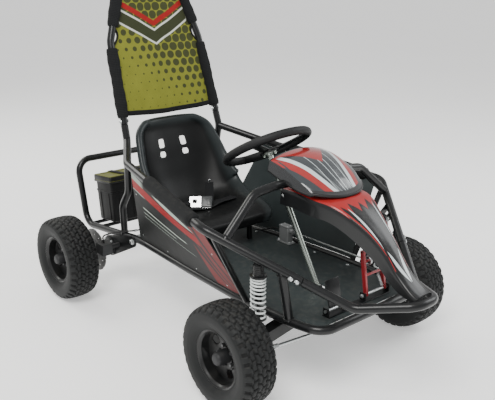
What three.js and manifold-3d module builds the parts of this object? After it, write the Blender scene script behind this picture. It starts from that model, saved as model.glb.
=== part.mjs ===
// Off road go kart for a child: tube frame, bucket seat, sprung swing arms in front, chain drive behind.
// Millimetres. X runs across to the driver's left, Y runs back, Z is up.
// The sizes below are measured from the front wheel line on the ground.
import * as THREE from "three";
import { mergeVertices } from "three/addons/utils/BufferGeometryUtils.js";
import Module from "manifold-3d";

const wasm = await Module();
wasm.setup();

// Clearances and counts
const clearance = 0.3;
const overrun = 4;
const weldDistance = 1e-4;
const bendRoomShare = 0.495;
const tubeSideCount = 8;
const roundSideCount = 8;
const largeSideCount = 20;
const bendStep = THREE.MathUtils.degToRad(31);
const braceSideCount = 6;
const squareSideCount = 4;
const gripSideCount = 8;
const gripAroundCount = 24;

// Wheels
const wheelbase = 1010;
const frontTrackHalf = 407;
const rearTrackHalf = 414.7;
const tyre = { radius: 165, halfWidth: 62.8, beadOver: 1, beadRise: 4, lugHeight: 4.5, aroundCount: 24 };
const tyreWallShares = { foot: 0.86, bulge: 0.45, shoulder: 0.84, shoulderWidth: 0.97, crownWidth: 0.5 };
const rim = {
  seatRadius: 84,
  flangeRadius: 92.8,
  halfWidth: 48,
  wall: 4,
  discOffset: 6,
  hubRadius: 24,
  hubHalfLength: 34,
  capRadius: 21,
  capLength: 52,
  holeRadius: 10,
  holeRing: 56,
  holeCount: 5,
  aroundCount: 12,
};

// Tube frame: places on the left side, mirrored for the right
const tube = { radius: 14, braceRadius: 10, bendRadius: 60, spigotRadius: 11.4, spigotLength: 44 };
const rail = {
  z: 250,
  rear: { x: 200, y: 842, z: 240 },
  seat: { x: 215, y: 730 },
  middle: { x: 236, y: 420 },
  door: { x: 247, y: 160 },
  front: { x: 240, y: -85 },
  nose: { x: 216, y: -200 },
};
const crossTube = { z: 240, seatFrontY: 520, seatRearY: 690, motorRearY: 750 };
const seatHoop = { half: 124 };
const stub = { x: 221, y: 828, z: 644 };
const armRear = { x: 312, y: 684, z: 597 };
const armFront = { x: 408, y: 112, z: 530 };
const railEnd = { x: 143, y: -250, z: 323 };
const clampShare = 0.66;
const clampBoltShares = [0.3, 0.75];
const panelTubeShare = 0.06;
const noseTip = { y: -398, z: 352 };
const tipBend = { x: 42 };
const postShare = 0.525;
const postFoot = { x: 240, y: -85 };
const panelFoot = { x: 248, y: 100 };
const stay = { footY: 920, bendY: 914, bendZ: 360, topY: 863, topZ: 430, x: 206 };
const rollBar = {
  sleeve: { x: 205, y: 938, z: 1000 },
  top: { x: 74, y: 1008, z: 1392 },
  socketShare: 0.16,
  bendRadius: 90,
};
const kneeHoop = { footShare: 0.145, bendX: 241, bendY: 76, bendZ: 613, topX: 165, topY: 68, topZ: 625 };
const rack = { x: 200, lowY: 1233, lowZ: 197, backY: 1290, topZ: 472 };
const bolt = { radius: 6, headRadius: 9, headHeight: 6, sideCount: 6 };

// Front suspension and steering
const arm = {
  pivotX: 75,
  pivotZ: 208,
  width: 40,
  wall: 40,
  pinRadius: 7,
  bossRadius: 16,
  bossHalf: 30,
  plate: 5,
};
const kingpin = {
  x: 318,
  radius: 6,
  sleeveRadius: 13,
  sleeveHalf: 30,
  sleeveRoom: 2,
  stubRadius: 9,
  earThick: 7,
  plateX: 16.5,
  plateThick: 6,
  neckLength: 26,
  neckWidth: 25,
  neckStep: 18.2,
};
const steerArm = { x: 18, forward: 70, z: 5.5, radius: 11, rootRadius: 6.6, thick: 7, pinRadius: 4, pinLength: 19 };
const shock = {
  x: 290,
  topZ: 439,
  lowZ: 222,
  eyeRadius: 13,
  eyeHalf: 14,
  bodyRadius: 16,
  neckRadius: 12.8,
  shoulder: 4,
  collarRadius: 27,
  collarThick: 4,
  springTop: 54,
  springLow: 190,
  innerRadius: 11,
  innerLength: 84,
  rodRadius: 5,
  rodTop: 102,
  footRadius: 8,
  boltRadius: 6,
  openClearance: 2.2,
  bracketThick: 4,
};
const spring = { wireRadius: 3.2, meanRadius: 21.5, curlCount: 10, stepCount: 8, sideCount: 5 };
const springCloseShare = 0.25;
const springTopShare = 0.2;
const column = {
  hubY: 284,
  hubZ: 684,
  leanDeg: 30.5,
  footZ: 150.6,
  radius: 10,
  pitman: 45,
  pitmanThick: 6,
  pitmanRadius: 11.2,
  pitmanSpread: 21,
  eyeRadius: 9.6,
  studRadius: 4,
  studLength: 34,
  lowerBearing: 16,
  lowerBearingHalf: 16,
  upperBearing: 84,
};
const tieRod = { radius: 6, ringRadius: 16.8, ringBore: 13.4, ringThick: 8, outerRadius: 10, outerHeight: 13.4 };
const steering = {
  ringRadius: 145,
  gripRadius: 15,
  hubRadius: 34,
  flangeRadius: 27,
  spokeStart: 29,
  spokeWidth: 26,
  spokeThick: 5,
  spokeCount: 3,
  dish: 18,
};

// Seat, panels, covers
const seat = {
  frontY: 452,
  depth: 430,
  baseZ: 345,
  height: 345,
  halfWidth: 200,
  lift: 110,
  wall: 5,
  slotWidth: 30,
  slotX: 56,
  slotZ: [602, 560],
  slotHeight: [34, 22],
};
const seatAcrossCount = 10;
const seatAlongCount = 14;
const beltStepCount = 6;
const floorPan = { thick: 3, frontY: -176, rearLap: 7, columnHole: 24 };
const sidePanel = { thick: 3, rearLowY: 800 };
const sidePanelTopShares = { rear: 0.04, front: 0.985 };
const pad = { radius: 23, startShare: 0.31, endShare: 0.9 };
const hood = { backY: 140, frontY: -95, cornerBack: 60, halfWidth: 126, lowZ: 604, rise: 99, wall: 3.5 };
const hoodWidthShares = [0.98, 1.0, 1.0, 0.99, 0.9];
const hoodAcrossShares = [-1, -0.94, -0.7, -0.36, 0, 0.36, 0.7, 0.94, 1];
const hoodCrownShares = [0.98, 0.95, 0.74, 0.37, 0];
const hoodEdgeShares = [0.8, 0.73, 0.58, 0.37, 0.1];
const hoodRimShares = [0.5, 0.38, 0.26, 0.15, 0.06];
const hoodStepCount = 8;
const hoodCornerShape = 2.5;
const nose = { backY: 105, tipY: -384, backZ: 608.6, tipZ: 369, backHalf: 99, tipHalf: 34, skirt: 70, wall: 3.5 };
const noseStepCount = 14;
const noseDropShares = [0, 0, 0.03, 0.07, 0.23, 0.47, 0.8, 1];
const noseTaperShares = [0.03, 0, 0, 0.2, 0.63, 0.94, 1.05, 1];
const noseSkirtShares = [0.94, 0.94, 0.92, 0.9, 1, 1, 0.72, 0.2];
const noseAcrossShares = [-1.06, -1, -0.62, 0, 0.62, 1, 1.06];
const noseFallShares = [1, 0.16, 0.05, 0, 0.05, 0.16, 1];
const cloth = {
  wall: 2.4,
  sleeveRadius: 18.5,
  lowZ: 736,
  sleeveTopZ: 975,
  upperLowZ: 1055,
  topZ: 1300,
  cutDepth: 24,
  wave: 5,
  sag: 10,
};
const clothAcrossCount = 6;
const clothUpCount = 11;
const clothWaveShare = 0.4;
const clothSagShare = 0.35;
const belt = { width: 38, thick: 3, lift: 2.4 };
const beltShares = { row: 0.34, start: 0.03, end: 0.34 };
const buckle = { width: 46, length: 56, height: 18, x: -26, lift: 13 };
const tongue = { width: 34, length: 30, thick: 2.5, x: 18, lift: 4 };

// Drive, brake and battery
const axle = { z: 165, radius: 12.5, flangeRadius: 20 };
const hanger = { x: 214.4, thick: 6, boltY: 830, boltZ: 232, boltRadius: 22, axleRadius: 44 };
const housing = { radius: 34, endRadius: 29, length: 22, flange: 40, flangeThick: 6 };
const sprocket = { x: 165, radius: 74, thick: 6, toothCount: 24, toothHeight: 5, hubRadius: 24, hubLength: 30 };
const motor = {
  y: 743,
  sink: 3,
  radius: 55,
  endRadius: 49.5,
  bevel: 6,
  xLow: -62,
  xHigh: 100,
  footInset: 10,
  footLip: 5,
  footThick: 5.5,
  shaftRadius: 7,
};
const motorZ = crossTube.z + tube.braceRadius + clearance + motor.footThick + motor.radius - motor.sink;
const pinion = { radius: 19, toothCount: 9, toothHeight: 4.5, hubRadius: 13.5 };
const chain = { width: 9, thick: 8 };
const chainTurnShare = 1.2;
const disc = { x: 290, radius: 88, thick: 4, hubRadius: 26, hubLength: 24 };
const caliper = { width: 44, height: 46, length: 58, slot: 7, behind: 11.6, rise: 27.6, armLength: 19, armHeight: 15 };
const battery = { halfWidth: 138, length: 136, height: 196, frontY: 1104, lid: 30, lip: 5, barRadius: 8, barInset: 24 };
const master = {
  x: 203,
  y: 395,
  width: 34,
  length: 70,
  foot: 5,
  bodyWidth: 29,
  bodyHalf: 24.5,
  bodyHeight: 66,
  bodyTop: 71,
  nozzleZ: 52,
  nozzle: 24,
  nozzleRadius: 9,
};
const brakePedal = { x: 88, halfSpan: 44, y: -140, z: 272, height: 136, lean: 22, bar: 9, rung: 7.2, pinRadius: 5 };
const rungShares = [0.45, 0.78];
const throttlePedal = { x: -96, y: -140, z: 272, height: 86, width: 58, thick: 5, lean: 22 };
const pedalMount = { gap: 14, thick: 4, width: 24, above: 10, baseWidth: 30, baseThick: 3, shaftReach: 20 };
const hose = { radius: 3.2, startZ: 296, endZ: 244, stepCount: 30 };
const hoseRoute = [
  { x: 203, y: 470, z: 292 },
  { x: 196, y: 540, z: 266 },
  { x: 194, y: 640, z: 259 },
  { x: 176, y: 706, z: 259 },
  { x: 120, y: 717, z: 262 },
  { x: 112, y: 760, z: 262 },
  { x: 60, y: 846, z: 262 },
  { x: -60, y: 856, z: 262 },
  { x: -170, y: 862, z: 262 },
  { x: -222, y: 878, z: 264 },
  { x: -268, y: 900, z: 262 },
];
const brakeRod = { radius: 3, inset: 22, eyeRadius: 16, eyeBore: 12, eyeThick: 7 };

// Vectors and shared shapes
const vector = (x, y, z) => new THREE.Vector3(x, y, z);
const onSide = (side, place) => vector(side * place.x, place.y, place.z);
const between = (from, to, share) => from.clone().lerp(to, share);
const mixed = (from, to, share) => from + (to - from) * share;
const colour = (hex, roughness, metalness) =>
  new THREE.MeshStandardMaterial({ color: hex, roughness, metalness, flatShading: true });
const paintBlack = () => colour(0x15171a, 0.38, 0.35);
const rubberBlack = () => colour(0x17181a, 0.86, 0.0);
const plasticBlack = () => colour(0x1b1d20, 0.55, 0.0);
const foamBlack = () => colour(0x1d1e20, 0.95, 0.0);
const zincSteel = () => colour(0xa9adb0, 0.32, 0.95);
const springWhite = () => colour(0xe4e6e6, 0.35, 0.2);
const paintRed = () => colour(0xa4161c, 0.4, 0.25);
const mouldedRed = () => colour(0x9c2a25, 0.32, 0.0);
const clothYellow = () => colour(0xb7ad2a, 0.9, 0.0);
const darkSteel = () => colour(0x3a3c3e, 0.5, 0.85);
const webbing = () => colour(0x1a1a1c, 0.92, 0.0);

// A path of straight runs joined by round bends, with stations only where the tube turns
class BentPath extends THREE.Curve {
  constructor(corners, bendRadius) {
    super();
    this.stations = [];
    corners.forEach((corner, index) => this.addCorner(corners, index, bendRadius));
  }

  addCorner(corners, index, bendRadius) {
    const corner = corners[index];
    if (index === 0 || index === corners.length - 1) {
      const first = index === 0 ? corner : corners[index - 1];
      const second = index === 0 ? corners[index + 1] : corner;
      this.stations.push({ place: corner.clone(), heading: second.clone().sub(first).normalize() });
      return;
    }
    const arriving = corner.clone().sub(corners[index - 1]);
    const leaving = corners[index + 1].clone().sub(corner);
    const room = Math.min(arriving.length(), leaving.length()) * bendRoomShare;
    const turn = arriving.angleTo(leaving);
    const setback = Math.min(bendRadius * Math.tan(turn / 2), room);
    const radius = setback / Math.tan(turn / 2);
    arriving.normalize();
    leaving.normalize();
    const axis = arriving.clone().cross(leaving).normalize();
    const centre = corner.clone().addScaledVector(arriving, -setback);
    centre.addScaledVector(axis.clone().cross(arriving), radius);
    const arm = corner.clone().addScaledVector(arriving, -setback).sub(centre);
    const count = Math.max(1, Math.ceil(turn / bendStep));
    for (let step = 0; step <= count; step += 1) {
      const angle = (turn * step) / count;
      this.stations.push({
        place: centre.clone().add(arm.clone().applyAxisAngle(axis, angle)),
        heading: arriving.clone().applyAxisAngle(axis, angle),
      });
    }
  }

  get steps() {
    return this.stations.length - 1;
  }

  getPointAt(share) {
    return this.stations[Math.round(share * this.steps)].place.clone();
  }

  getTangentAt(share) {
    return this.stations[Math.round(share * this.steps)].heading.clone();
  }
}

// The corners of a regular outline about the origin
function roundOutline(radius, sides) {
  return Array.from({ length: sides }, (_, index) => {
    const angle = ((index + 0.5) / sides) * 2 * Math.PI;
    return new THREE.Vector2(radius * Math.cos(angle), radius * Math.sin(angle));
  });
}

// A bent tube through the corners, closed at its ends
function bentTube(corners, radius, bendRadius = tube.bendRadius, sides = tubeSideCount) {
  const path = new BentPath(corners, bendRadius);
  return new THREE.ExtrudeGeometry(new THREE.Shape(roundOutline(radius, sides)), {
    steps: path.steps,
    extrudePath: path,
    bevelEnabled: false,
  });
}

// A straight round bar between two places
const bar = (from, to, radius, sides = tubeSideCount) => bentTube([from, to], radius, 0, sides);

// The radius of a round hole whose flats clear a round bar
const holeRadius = (radius, sideCount = roundSideCount) => (radius + clearance) / Math.cos(Math.PI / sideCount);

// A block about its centre
const block = (width, length, height, centre) =>
  new THREE.BoxGeometry(width, length, height).translate(centre.x, centre.y, centre.z);

// A flat plate: its outline lies in the plane square to the named axis, and it fills start to start + thick
function plate(outline, axis, start, thick) {
  const geometry = new THREE.ExtrudeGeometry(new THREE.Shape(outline), { depth: thick, bevelEnabled: false });
  const turn = new THREE.Matrix4();
  if (axis === "x") turn.makeBasis(vector(0, 1, 0), vector(0, 0, 1), vector(1, 0, 0));
  if (axis === "y") turn.makeBasis(vector(1, 0, 0), vector(0, 0, 1), vector(0, -1, 0));
  geometry.applyMatrix4(turn);
  if (axis === "x") return geometry.translate(start, 0, 0);
  if (axis === "y") return geometry.translate(0, start + thick, 0);
  return geometry.translate(0, 0, start);
}

// The outline of a link: two circles joined by their outer tangents
function linkOutline(first, firstRadius, second, secondRadius, sides = roundSideCount) {
  const across = second.clone().sub(first);
  const facing = Math.atan2(across.y, across.x);
  const spread = Math.acos((firstRadius - secondRadius) / across.length());
  const arc = (centre, radius, from, to) =>
    Array.from({ length: sides / 2 + 1 }, (_, index) => {
      const angle = mixed(from, to, index / (sides / 2));
      return new THREE.Vector2(centre.x + radius * Math.cos(angle), centre.y + radius * Math.sin(angle));
    });
  return [
    ...arc(first, firstRadius, facing + spread, facing + 2 * Math.PI - spread),
    ...arc(second, secondRadius, facing - spread, facing + spread),
  ];
}

// A turned piece about the X axis: the profile lists radius and place along X, and closes on itself
function turned(profile, sides = roundSideCount) {
  const points = profile.map(([radius, along]) => new THREE.Vector2(radius, along));
  const area = points.reduce((sum, point, index) => {
    const next = points[(index + 1) % points.length];
    return sum + point.x * next.y - next.x * point.y;
  }, 0);
  if (area < 0) points.reverse();
  points.push(points[0].clone());
  return new THREE.LatheGeometry(points, sides).rotateZ(-Math.PI / 2);
}

// The same piece about the Z axis
const turnedUp = (profile, sides) => turned(profile, sides).rotateY(-Math.PI / 2);

// A closed skin of even wall under a surface of two shares, both from 0 to 1
function skin(surface, acrossCount, alongCount, wall) {
  const places = [];
  const step = 1e-3;
  for (const depth of [0, wall]) {
    for (let row = 0; row <= alongCount; row += 1) {
      for (let column = 0; column <= acrossCount; column += 1) {
        const u = column / acrossCount;
        const v = row / alongCount;
        const du = surface(Math.min(u + step, 1), v).sub(surface(Math.max(u - step, 0), v));
        const dv = surface(u, Math.min(v + step, 1)).sub(surface(u, Math.max(v - step, 0)));
        const inward = dv.cross(du).normalize();
        places.push(surface(u, v).addScaledVector(inward, depth));
      }
    }
  }
  const width = acrossCount + 1;
  const layer = width * (alongCount + 1);
  const faces = [];
  const quad = (a, b, c, d) => faces.push(a, b, c, a, c, d);
  for (let row = 0; row < alongCount; row += 1) {
    for (let column = 0; column < acrossCount; column += 1) {
      const a = row * width + column;
      quad(a, a + 1, a + 1 + width, a + width);
      quad(layer + a, layer + a + width, layer + a + width + 1, layer + a + 1);
    }
  }
  for (let column = 0; column < acrossCount; column += 1) {
    const low = column;
    const high = alongCount * width + column;
    quad(low, layer + low, layer + low + 1, low + 1);
    quad(high, high + 1, layer + high + 1, layer + high);
  }
  for (let row = 0; row < alongCount; row += 1) {
    const near = row * width;
    const far = near + acrossCount;
    quad(near, near + width, layer + near + width, layer + near);
    quad(far, layer + far, layer + far + width, far + width);
  }
  const geometry = new THREE.BufferGeometry();
  geometry.setAttribute("position", new THREE.Float32BufferAttribute(places.flatMap((p) => p.toArray()), 3));
  geometry.setIndex(faces);
  return geometry;
}

// A smooth reading of a table of numbers by a share of its length
function readTable(table, share) {
  const position = Math.min(Math.max(share, 0), 1) * (table.length - 1);
  const index = Math.min(Math.floor(position), table.length - 2);
  const t = position - index;
  const pick = (offset) => table[Math.min(Math.max(index + offset, 0), table.length - 1)];
  const [before, start, end, after] = [pick(-1), pick(0), pick(1), pick(2)];
  const slopeIn = (end - before) / 2;
  const slopeOut = (after - start) / 2;
  const rise = t * t * (3 - 2 * t);
  return mixed(start, end, rise) + slopeIn * t * (1 - t) * (1 - t) - slopeOut * t * t * (1 - t);
}

// Solids for joining and cutting
function solidOf(shape) {
  if (!shape.isBufferGeometry) return shape;
  const bare = new THREE.BufferGeometry();
  const source = shape.index ? shape.toNonIndexed() : shape;
  bare.setAttribute("position", source.getAttribute("position").clone());
  const merged = mergeVertices(bare, weldDistance);
  return new wasm.Manifold(
    new wasm.Mesh({
      numProp: 3,
      vertProperties: merged.attributes.position.array,
      triVerts: new Uint32Array(merged.index.array),
    }),
  );
}

const join = (...shapes) => shapes.map(solidOf).reduce((sum, next) => sum.add(next));
const cut = (shape, ...tools) => tools.map(solidOf).reduce((left, tool) => left.subtract(tool), solidOf(shape));

function geometryOf(shape) {
  if (shape.isBufferGeometry) return shape;
  const mesh = shape.getMesh();
  const places = [];
  for (let index = 0; index < mesh.numVert; index += 1) {
    places.push(...mesh.vertProperties.subarray(index * mesh.numProp, index * mesh.numProp + 3));
  }
  const geometry = new THREE.BufferGeometry();
  geometry.setAttribute("position", new THREE.Float32BufferAttribute(places, 3));
  geometry.setIndex([...mesh.triVerts]);
  geometry.computeVertexNormals();
  return geometry;
}

function piece(name, shape, material) {
  const mesh = new THREE.Mesh(geometryOf(shape), material);
  mesh.name = name;
  return mesh;
}

const sides = [
  { side: 1, word: "left" },
  { side: -1, word: "right" },
];

// Frame paths
const railCorners = (side) =>
  [
    rail.rear,
    { ...rail.seat, z: rail.z },
    { ...rail.middle, z: rail.z },
    { ...rail.door, z: rail.z },
    { ...rail.front, z: rail.z },
    { ...rail.nose, z: rail.z },
  ].map((place) => onSide(side, place));
const lowerLoop = () => [...railCorners(1), ...railCorners(-1).reverse()];

// The rail's place across at a distance back
function railX(y) {
  const corners = railCorners(1);
  const index = corners.findIndex((corner, at) => at > 0 && corner.y <= y);
  const after = corners[index];
  const before = corners[index - 1];
  return mixed(before.x, after.x, (before.y - y) / (before.y - after.y));
}
const onRail = (side, y) => vector(side * railX(y), y, rail.z);
const onFrontRail = (side, share) => between(onSide(side, armFront), onSide(side, railEnd), share);
const frontRailShare = (y) => (armFront.y - y) / (armFront.y - railEnd.y);
const armRailCorners = (side) => [
  onSide(side, stub),
  onSide(side, armRear),
  onSide(side, armFront),
  onFrontRail(side, clampShare),
];
const legBase = (side) => onSide(side, stub);
const legStart = (side) => between(legBase(side), onSide(side, rollBar.sleeve), rollBar.socketShare);
const loopCorners = () => [
  onFrontRail(1, clampShare),
  onSide(1, railEnd),
  vector(tipBend.x, noseTip.y, noseTip.z),
  vector(-tipBend.x, noseTip.y, noseTip.z),
  onSide(-1, railEnd),
  onFrontRail(-1, clampShare),
];
const rollCorners = () => [
  legStart(1),
  onSide(1, rollBar.sleeve),
  onSide(1, rollBar.top),
  onSide(-1, rollBar.top),
  onSide(-1, rollBar.sleeve),
  legStart(-1),
];
const rackCorners = () => [
  onSide(1, rail.rear),
  vector(rack.x, rack.lowY, rack.lowZ),
  vector(rack.x, rack.backY, rack.topZ),
  vector(-rack.x, rack.backY, rack.topZ),
  vector(-rack.x, rack.lowY, rack.lowZ),
  onSide(-1, rail.rear),
];
const hoopCorners = () => [
  onFrontRail(1, kneeHoop.footShare),
  vector(kneeHoop.bendX, kneeHoop.bendY, kneeHoop.bendZ),
  vector(kneeHoop.topX, kneeHoop.topY, kneeHoop.topZ),
  vector(-kneeHoop.topX, kneeHoop.topY, kneeHoop.topZ),
  vector(-kneeHoop.bendX, kneeHoop.bendY, kneeHoop.bendZ),
  onFrontRail(-1, kneeHoop.footShare),
];
const stayCorners = (side) => [
  vector(side * railX(rail.rear.y), stay.footY, rackZ(stay.footY)),
  vector(side * stay.x, stay.bendY, stay.bendZ),
  vector(side * stay.x, stay.topY, stay.topZ),
  onSide(side, stub),
  legStart(side),
];
const rackZ = (y) => mixed(rail.rear.z, rack.lowZ, (y - rail.rear.y) / (rack.lowY - rail.rear.y));

// Enlarged tubes that cut their neighbours to a fit
const fit = (corners, radius = tube.radius, bendRadius = tube.bendRadius) =>
  bentTube(corners, radius + clearance, bendRadius);
const lowerCutter = () => fit(lowerLoop());
const rackCutter = () => fit(rackCorners());
const hoopCutter = () => fit(hoopCorners());
const armRailCutter = (side) => fit(armRailCorners(side));

// Column frame: its origin is the wheel hub and its Z axis is the column
const columnTilt = THREE.MathUtils.degToRad(-column.leanDeg);
const columnPlace = (local) =>
  local.clone().applyAxisAngle(vector(1, 0, 0), columnTilt).add(vector(0, column.hubY, column.hubZ));
const columnReach = (z) => (z - column.hubZ) / Math.cos(columnTilt);
const columnAtHeight = (z) => columnPlace(vector(0, 0, columnReach(z)));

// The outline radius of a six sided brace whose flats lie at the brace's radius
const braceOutline = () => tube.braceRadius / Math.cos(Math.PI / braceSideCount);

// Lower frame: rails in one loop, cross tubes, seat hoops, arm pivots and axle hangers
function lowerFrame() {
  const parts = [bentTube(lowerLoop(), tube.radius)];
  const crossYs = [crossTube.seatFrontY, crossTube.seatRearY, crossTube.motorRearY, 0];
  crossYs.forEach((y) => {
    const reach = railX(y);
    parts.push(bar(vector(-reach, y, crossTube.z), vector(reach, y, crossTube.z), braceOutline(), braceSideCount));
  });
  [crossTube.seatFrontY, crossTube.seatRearY].forEach((y) => {
    const under = Math.min(seatUnderside(y - tube.braceRadius), seatUnderside(y + tube.braceRadius));
    const top = under - tube.braceRadius - clearance;
    const half = seatHoop.half;
    parts.push(
      bentTube(
        [
          vector(-half, y, crossTube.z),
          vector(-half, y, top),
          vector(half, y, top),
          vector(half, y, crossTube.z),
        ],
        braceOutline(),
        tube.bendRadius / 2,
        braceSideCount,
      ),
    );
  });
  sides.forEach(({ side }) => {
    parts.push(armPivotBracket(side), axleHanger(side));
  });
  const bearing = columnAtHeight(crossTube.z);
  const down = columnPlace(vector(0, 0, -1)).sub(columnPlace(vector(0, 0, 0)));
  const from = bearing.clone().addScaledVector(down, -column.lowerBearingHalf);
  const to = bearing.clone().addScaledVector(down, column.lowerBearingHalf);
  parts.push(bar(from, to, column.lowerBearing, roundSideCount));
  const boreFrom = from.clone().addScaledVector(down, -overrun);
  const boreTo = to.clone().addScaledVector(down, overrun);
  const columnBore = bar(boreFrom, boreTo, holeRadius(column.radius), roundSideCount);
  return cut(join(...parts), columnBore, seatSkin().translate(0, 0, -clearance));
}

// Two cheeks and a pin that carry a swing arm
function armPivotBracket(side) {
  const centre = new THREE.Vector2(side * arm.pivotX, arm.pivotZ);
  const above = new THREE.Vector2(side * arm.pivotX, crossTube.z);
  const cheek = (start) => plate(linkOutline(centre, arm.bossRadius, above, tube.braceRadius), "y", start, arm.plate);
  const inner = arm.bossHalf + clearance;
  const outer = inner + arm.plate;
  return join(
    cheek(inner),
    cheek(-outer),
    bar(
      vector(side * arm.pivotX, -outer - bolt.headHeight, arm.pivotZ),
      vector(side * arm.pivotX, outer + bolt.headHeight, arm.pivotZ),
      arm.pinRadius,
    ),
    bar(
      vector(side * arm.pivotX, -outer, crossTube.z),
      vector(side * arm.pivotX, outer, crossTube.z),
      tube.braceRadius,
    ),
  );
}

// The plate outside the rack tube that carries the rear axle's bearing
function axleHanger(side) {
  const start = side > 0 ? hanger.x : -hanger.x - hanger.thick;
  const front = new THREE.Vector2(hanger.boltY, hanger.boltZ);
  const back = new THREE.Vector2(wheelbase, axle.z);
  const body = plate(linkOutline(front, hanger.boltRadius, back, hanger.axleRadius), "x", start, hanger.thick);
  const bore = bar(
    vector(start - overrun, wheelbase, axle.z),
    vector(start + hanger.thick + overrun, wheelbase, axle.z),
    axle.flangeRadius,
    roundSideCount,
  );
  const outside = side * (hanger.x + hanger.thick);
  const boltHead = bar(
    vector(side * rail.rear.x, hanger.boltY, hanger.boltZ),
    vector(outside + side * bolt.headHeight, hanger.boltY, hanger.boltZ),
    bolt.headRadius,
    bolt.sideCount,
  );
  return join(cut(body, bore), boltHead);
}

// Side frame: stay, stub, arm rail, front rail, post, panel tube and shock bracket
function sideFrame(side) {
  const front = onFrontRail(side, postShare);
  const boltAway = vector(side, 0, 0);
  const parts = [
    bentTube(stayCorners(side), tube.radius),
    bentTube(armRailCorners(side), tube.radius),
    bar(front, vector(side * postFoot.x, postFoot.y, rail.z), tube.radius),
    bar(onFrontRail(side, panelTubeShare), vector(side * panelFoot.x, panelFoot.y, rail.z), tube.braceRadius),
    shockBracket(side),
    bar(legStart(side), spigotEnd(side), tube.spigotRadius),
  ];
  const clamp = onFrontRail(side, clampShare);
  const along = onFrontRail(side, 1).sub(onFrontRail(side, 0)).normalize();
  const boreStart = clamp.clone().addScaledVector(along, -tube.spigotLength - clearance);
  const bore = bar(boreStart, clamp.clone().addScaledVector(along, overrun), tube.spigotRadius + clearance);
  const body = cut(join(...parts), bore, lowerCutter(), rackCutter());
  const bolts = clampBoltShares.map((share) => {
    const centre = clamp.clone().addScaledVector(along, -share * tube.spigotLength);
    const outward = boltAway.clone().addScaledVector(along, -boltAway.dot(along)).normalize();
    const seatPlace = centre.clone().addScaledVector(outward, tube.spigotRadius + 2 * clearance);
    return bar(seatPlace, centre.clone().addScaledVector(outward, tube.radius + bolt.headHeight), bolt.radius, bolt.sideCount);
  });
  return join(body, ...bolts);
}
const spigotEnd = (side) => {
  const along = onSide(side, rollBar.sleeve).sub(legBase(side)).normalize();
  return legStart(side).addScaledVector(along, tube.spigotLength);
};

// The two cheeks and the bolt that hold the top of a shock
function shockBracket(side) {
  const boltPlace = new THREE.Vector2(side * shock.x, shock.topZ);
  const inner = shock.eyeHalf + clearance;
  const cheek = (start) => {
    const middle = start + shock.bracketThick / 2;
    const above = onFrontRail(side, frontRailShare(middle));
    const outline = linkOutline(boltPlace, shock.eyeRadius, new THREE.Vector2(above.x, above.z), shock.eyeRadius);
    return plate(outline, "y", start, shock.bracketThick);
  };
  const reach = inner + shock.bracketThick + bolt.headHeight;
  return join(
    cheek(inner),
    cheek(-inner - shock.bracketThick),
    bar(vector(side * shock.x, -reach, shock.topZ), vector(side * shock.x, reach, shock.topZ), shock.boltRadius),
  );
}

// Front loop: the bumper tube round the nose, spigots in the front rails
function bumperLoop() {
  const corners = loopCorners();
  const along = (side) => onFrontRail(side, 1).sub(onFrontRail(side, 0)).normalize();
  const start = (side) => onFrontRail(side, clampShare).addScaledVector(along(side), clearance);
  const spigot = (side) =>
    bar(
      onFrontRail(side, clampShare).addScaledVector(along(side), -tube.spigotLength),
      onFrontRail(side, clampShare).addScaledVector(along(side), overrun),
      tube.spigotRadius,
    );
  corners[0] = start(1);
  corners[corners.length - 1] = start(-1);
  return join(bentTube(corners, tube.radius), spigot(1), spigot(-1));
}

// Roll bar: one hoop with a socket in each foot
function rollBarHoop() {
  const corners = rollCorners();
  const along = (side) => onSide(side, rollBar.sleeve).sub(legBase(side)).normalize();
  corners[0].addScaledVector(along(1), clearance);
  corners[corners.length - 1].addScaledVector(along(-1), clearance);
  const socket = (side) =>
    bar(
      legStart(side).addScaledVector(along(side), -overrun),
      legStart(side).addScaledVector(along(side), tube.spigotLength + clearance),
      tube.spigotRadius + clearance,
    );
  const hoop = cut(bentTube(corners, tube.radius, rollBar.bendRadius), socket(1), socket(-1));
  const bolts = sides.map(({ side }) => {
    const centre = legStart(side).addScaledVector(along(side), tube.spigotLength / 2);
    const from = centre.clone().addScaledVector(vector(side, 0, 0), tube.spigotRadius + 2 * clearance);
    return bar(from, centre.clone().addScaledVector(vector(side, 0, 0), tube.radius + bolt.headHeight), bolt.radius, bolt.sideCount);
  });
  return join(hoop, ...bolts);
}

function kneeHoopTube() {
  return cut(bentTube(hoopCorners(), tube.radius), armRailCutter(1), armRailCutter(-1));
}

// Rear rack: the hoop behind the axle with the bars that carry the battery box
function rearRack() {
  const corners = rackCorners();
  corners[0].y += clearance;
  corners[corners.length - 1].y += clearance;
  const bars = [battery.barInset, battery.length - battery.barInset].map((inset) => {
    const y = battery.frontY + inset;
    return bar(vector(-rack.x, y, rackZ(y)), vector(rack.x, y, rackZ(y)), battery.barRadius);
  });
  const gate = sides.map(({ side }) => hangerCutter(side));
  return cut(join(bentTube(corners, tube.radius), ...bars), ...gate, lowerEndCutter(1), lowerEndCutter(-1));
}
const hangerCutter = (side) => {
  const half = hanger.axleRadius + hanger.boltRadius;
  const length = wheelbase - hanger.boltY + 2 * half;
  const centre = vector(side * (hanger.x + length / 2 - clearance), (wheelbase + hanger.boltY) / 2, axle.z);
  return block(length, length, length, centre);
};
const lowerEndCutter = (side) => {
  const previous = vector(side * rail.seat.x, rail.seat.y, rail.z);
  const end = onSide(side, rail.rear);
  const ahead = end.clone().sub(previous).normalize();
  return bar(end.clone().addScaledVector(ahead, -tube.bendRadius), end.clone().addScaledVector(ahead, clearance), tube.radius + overrun);
};

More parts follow.
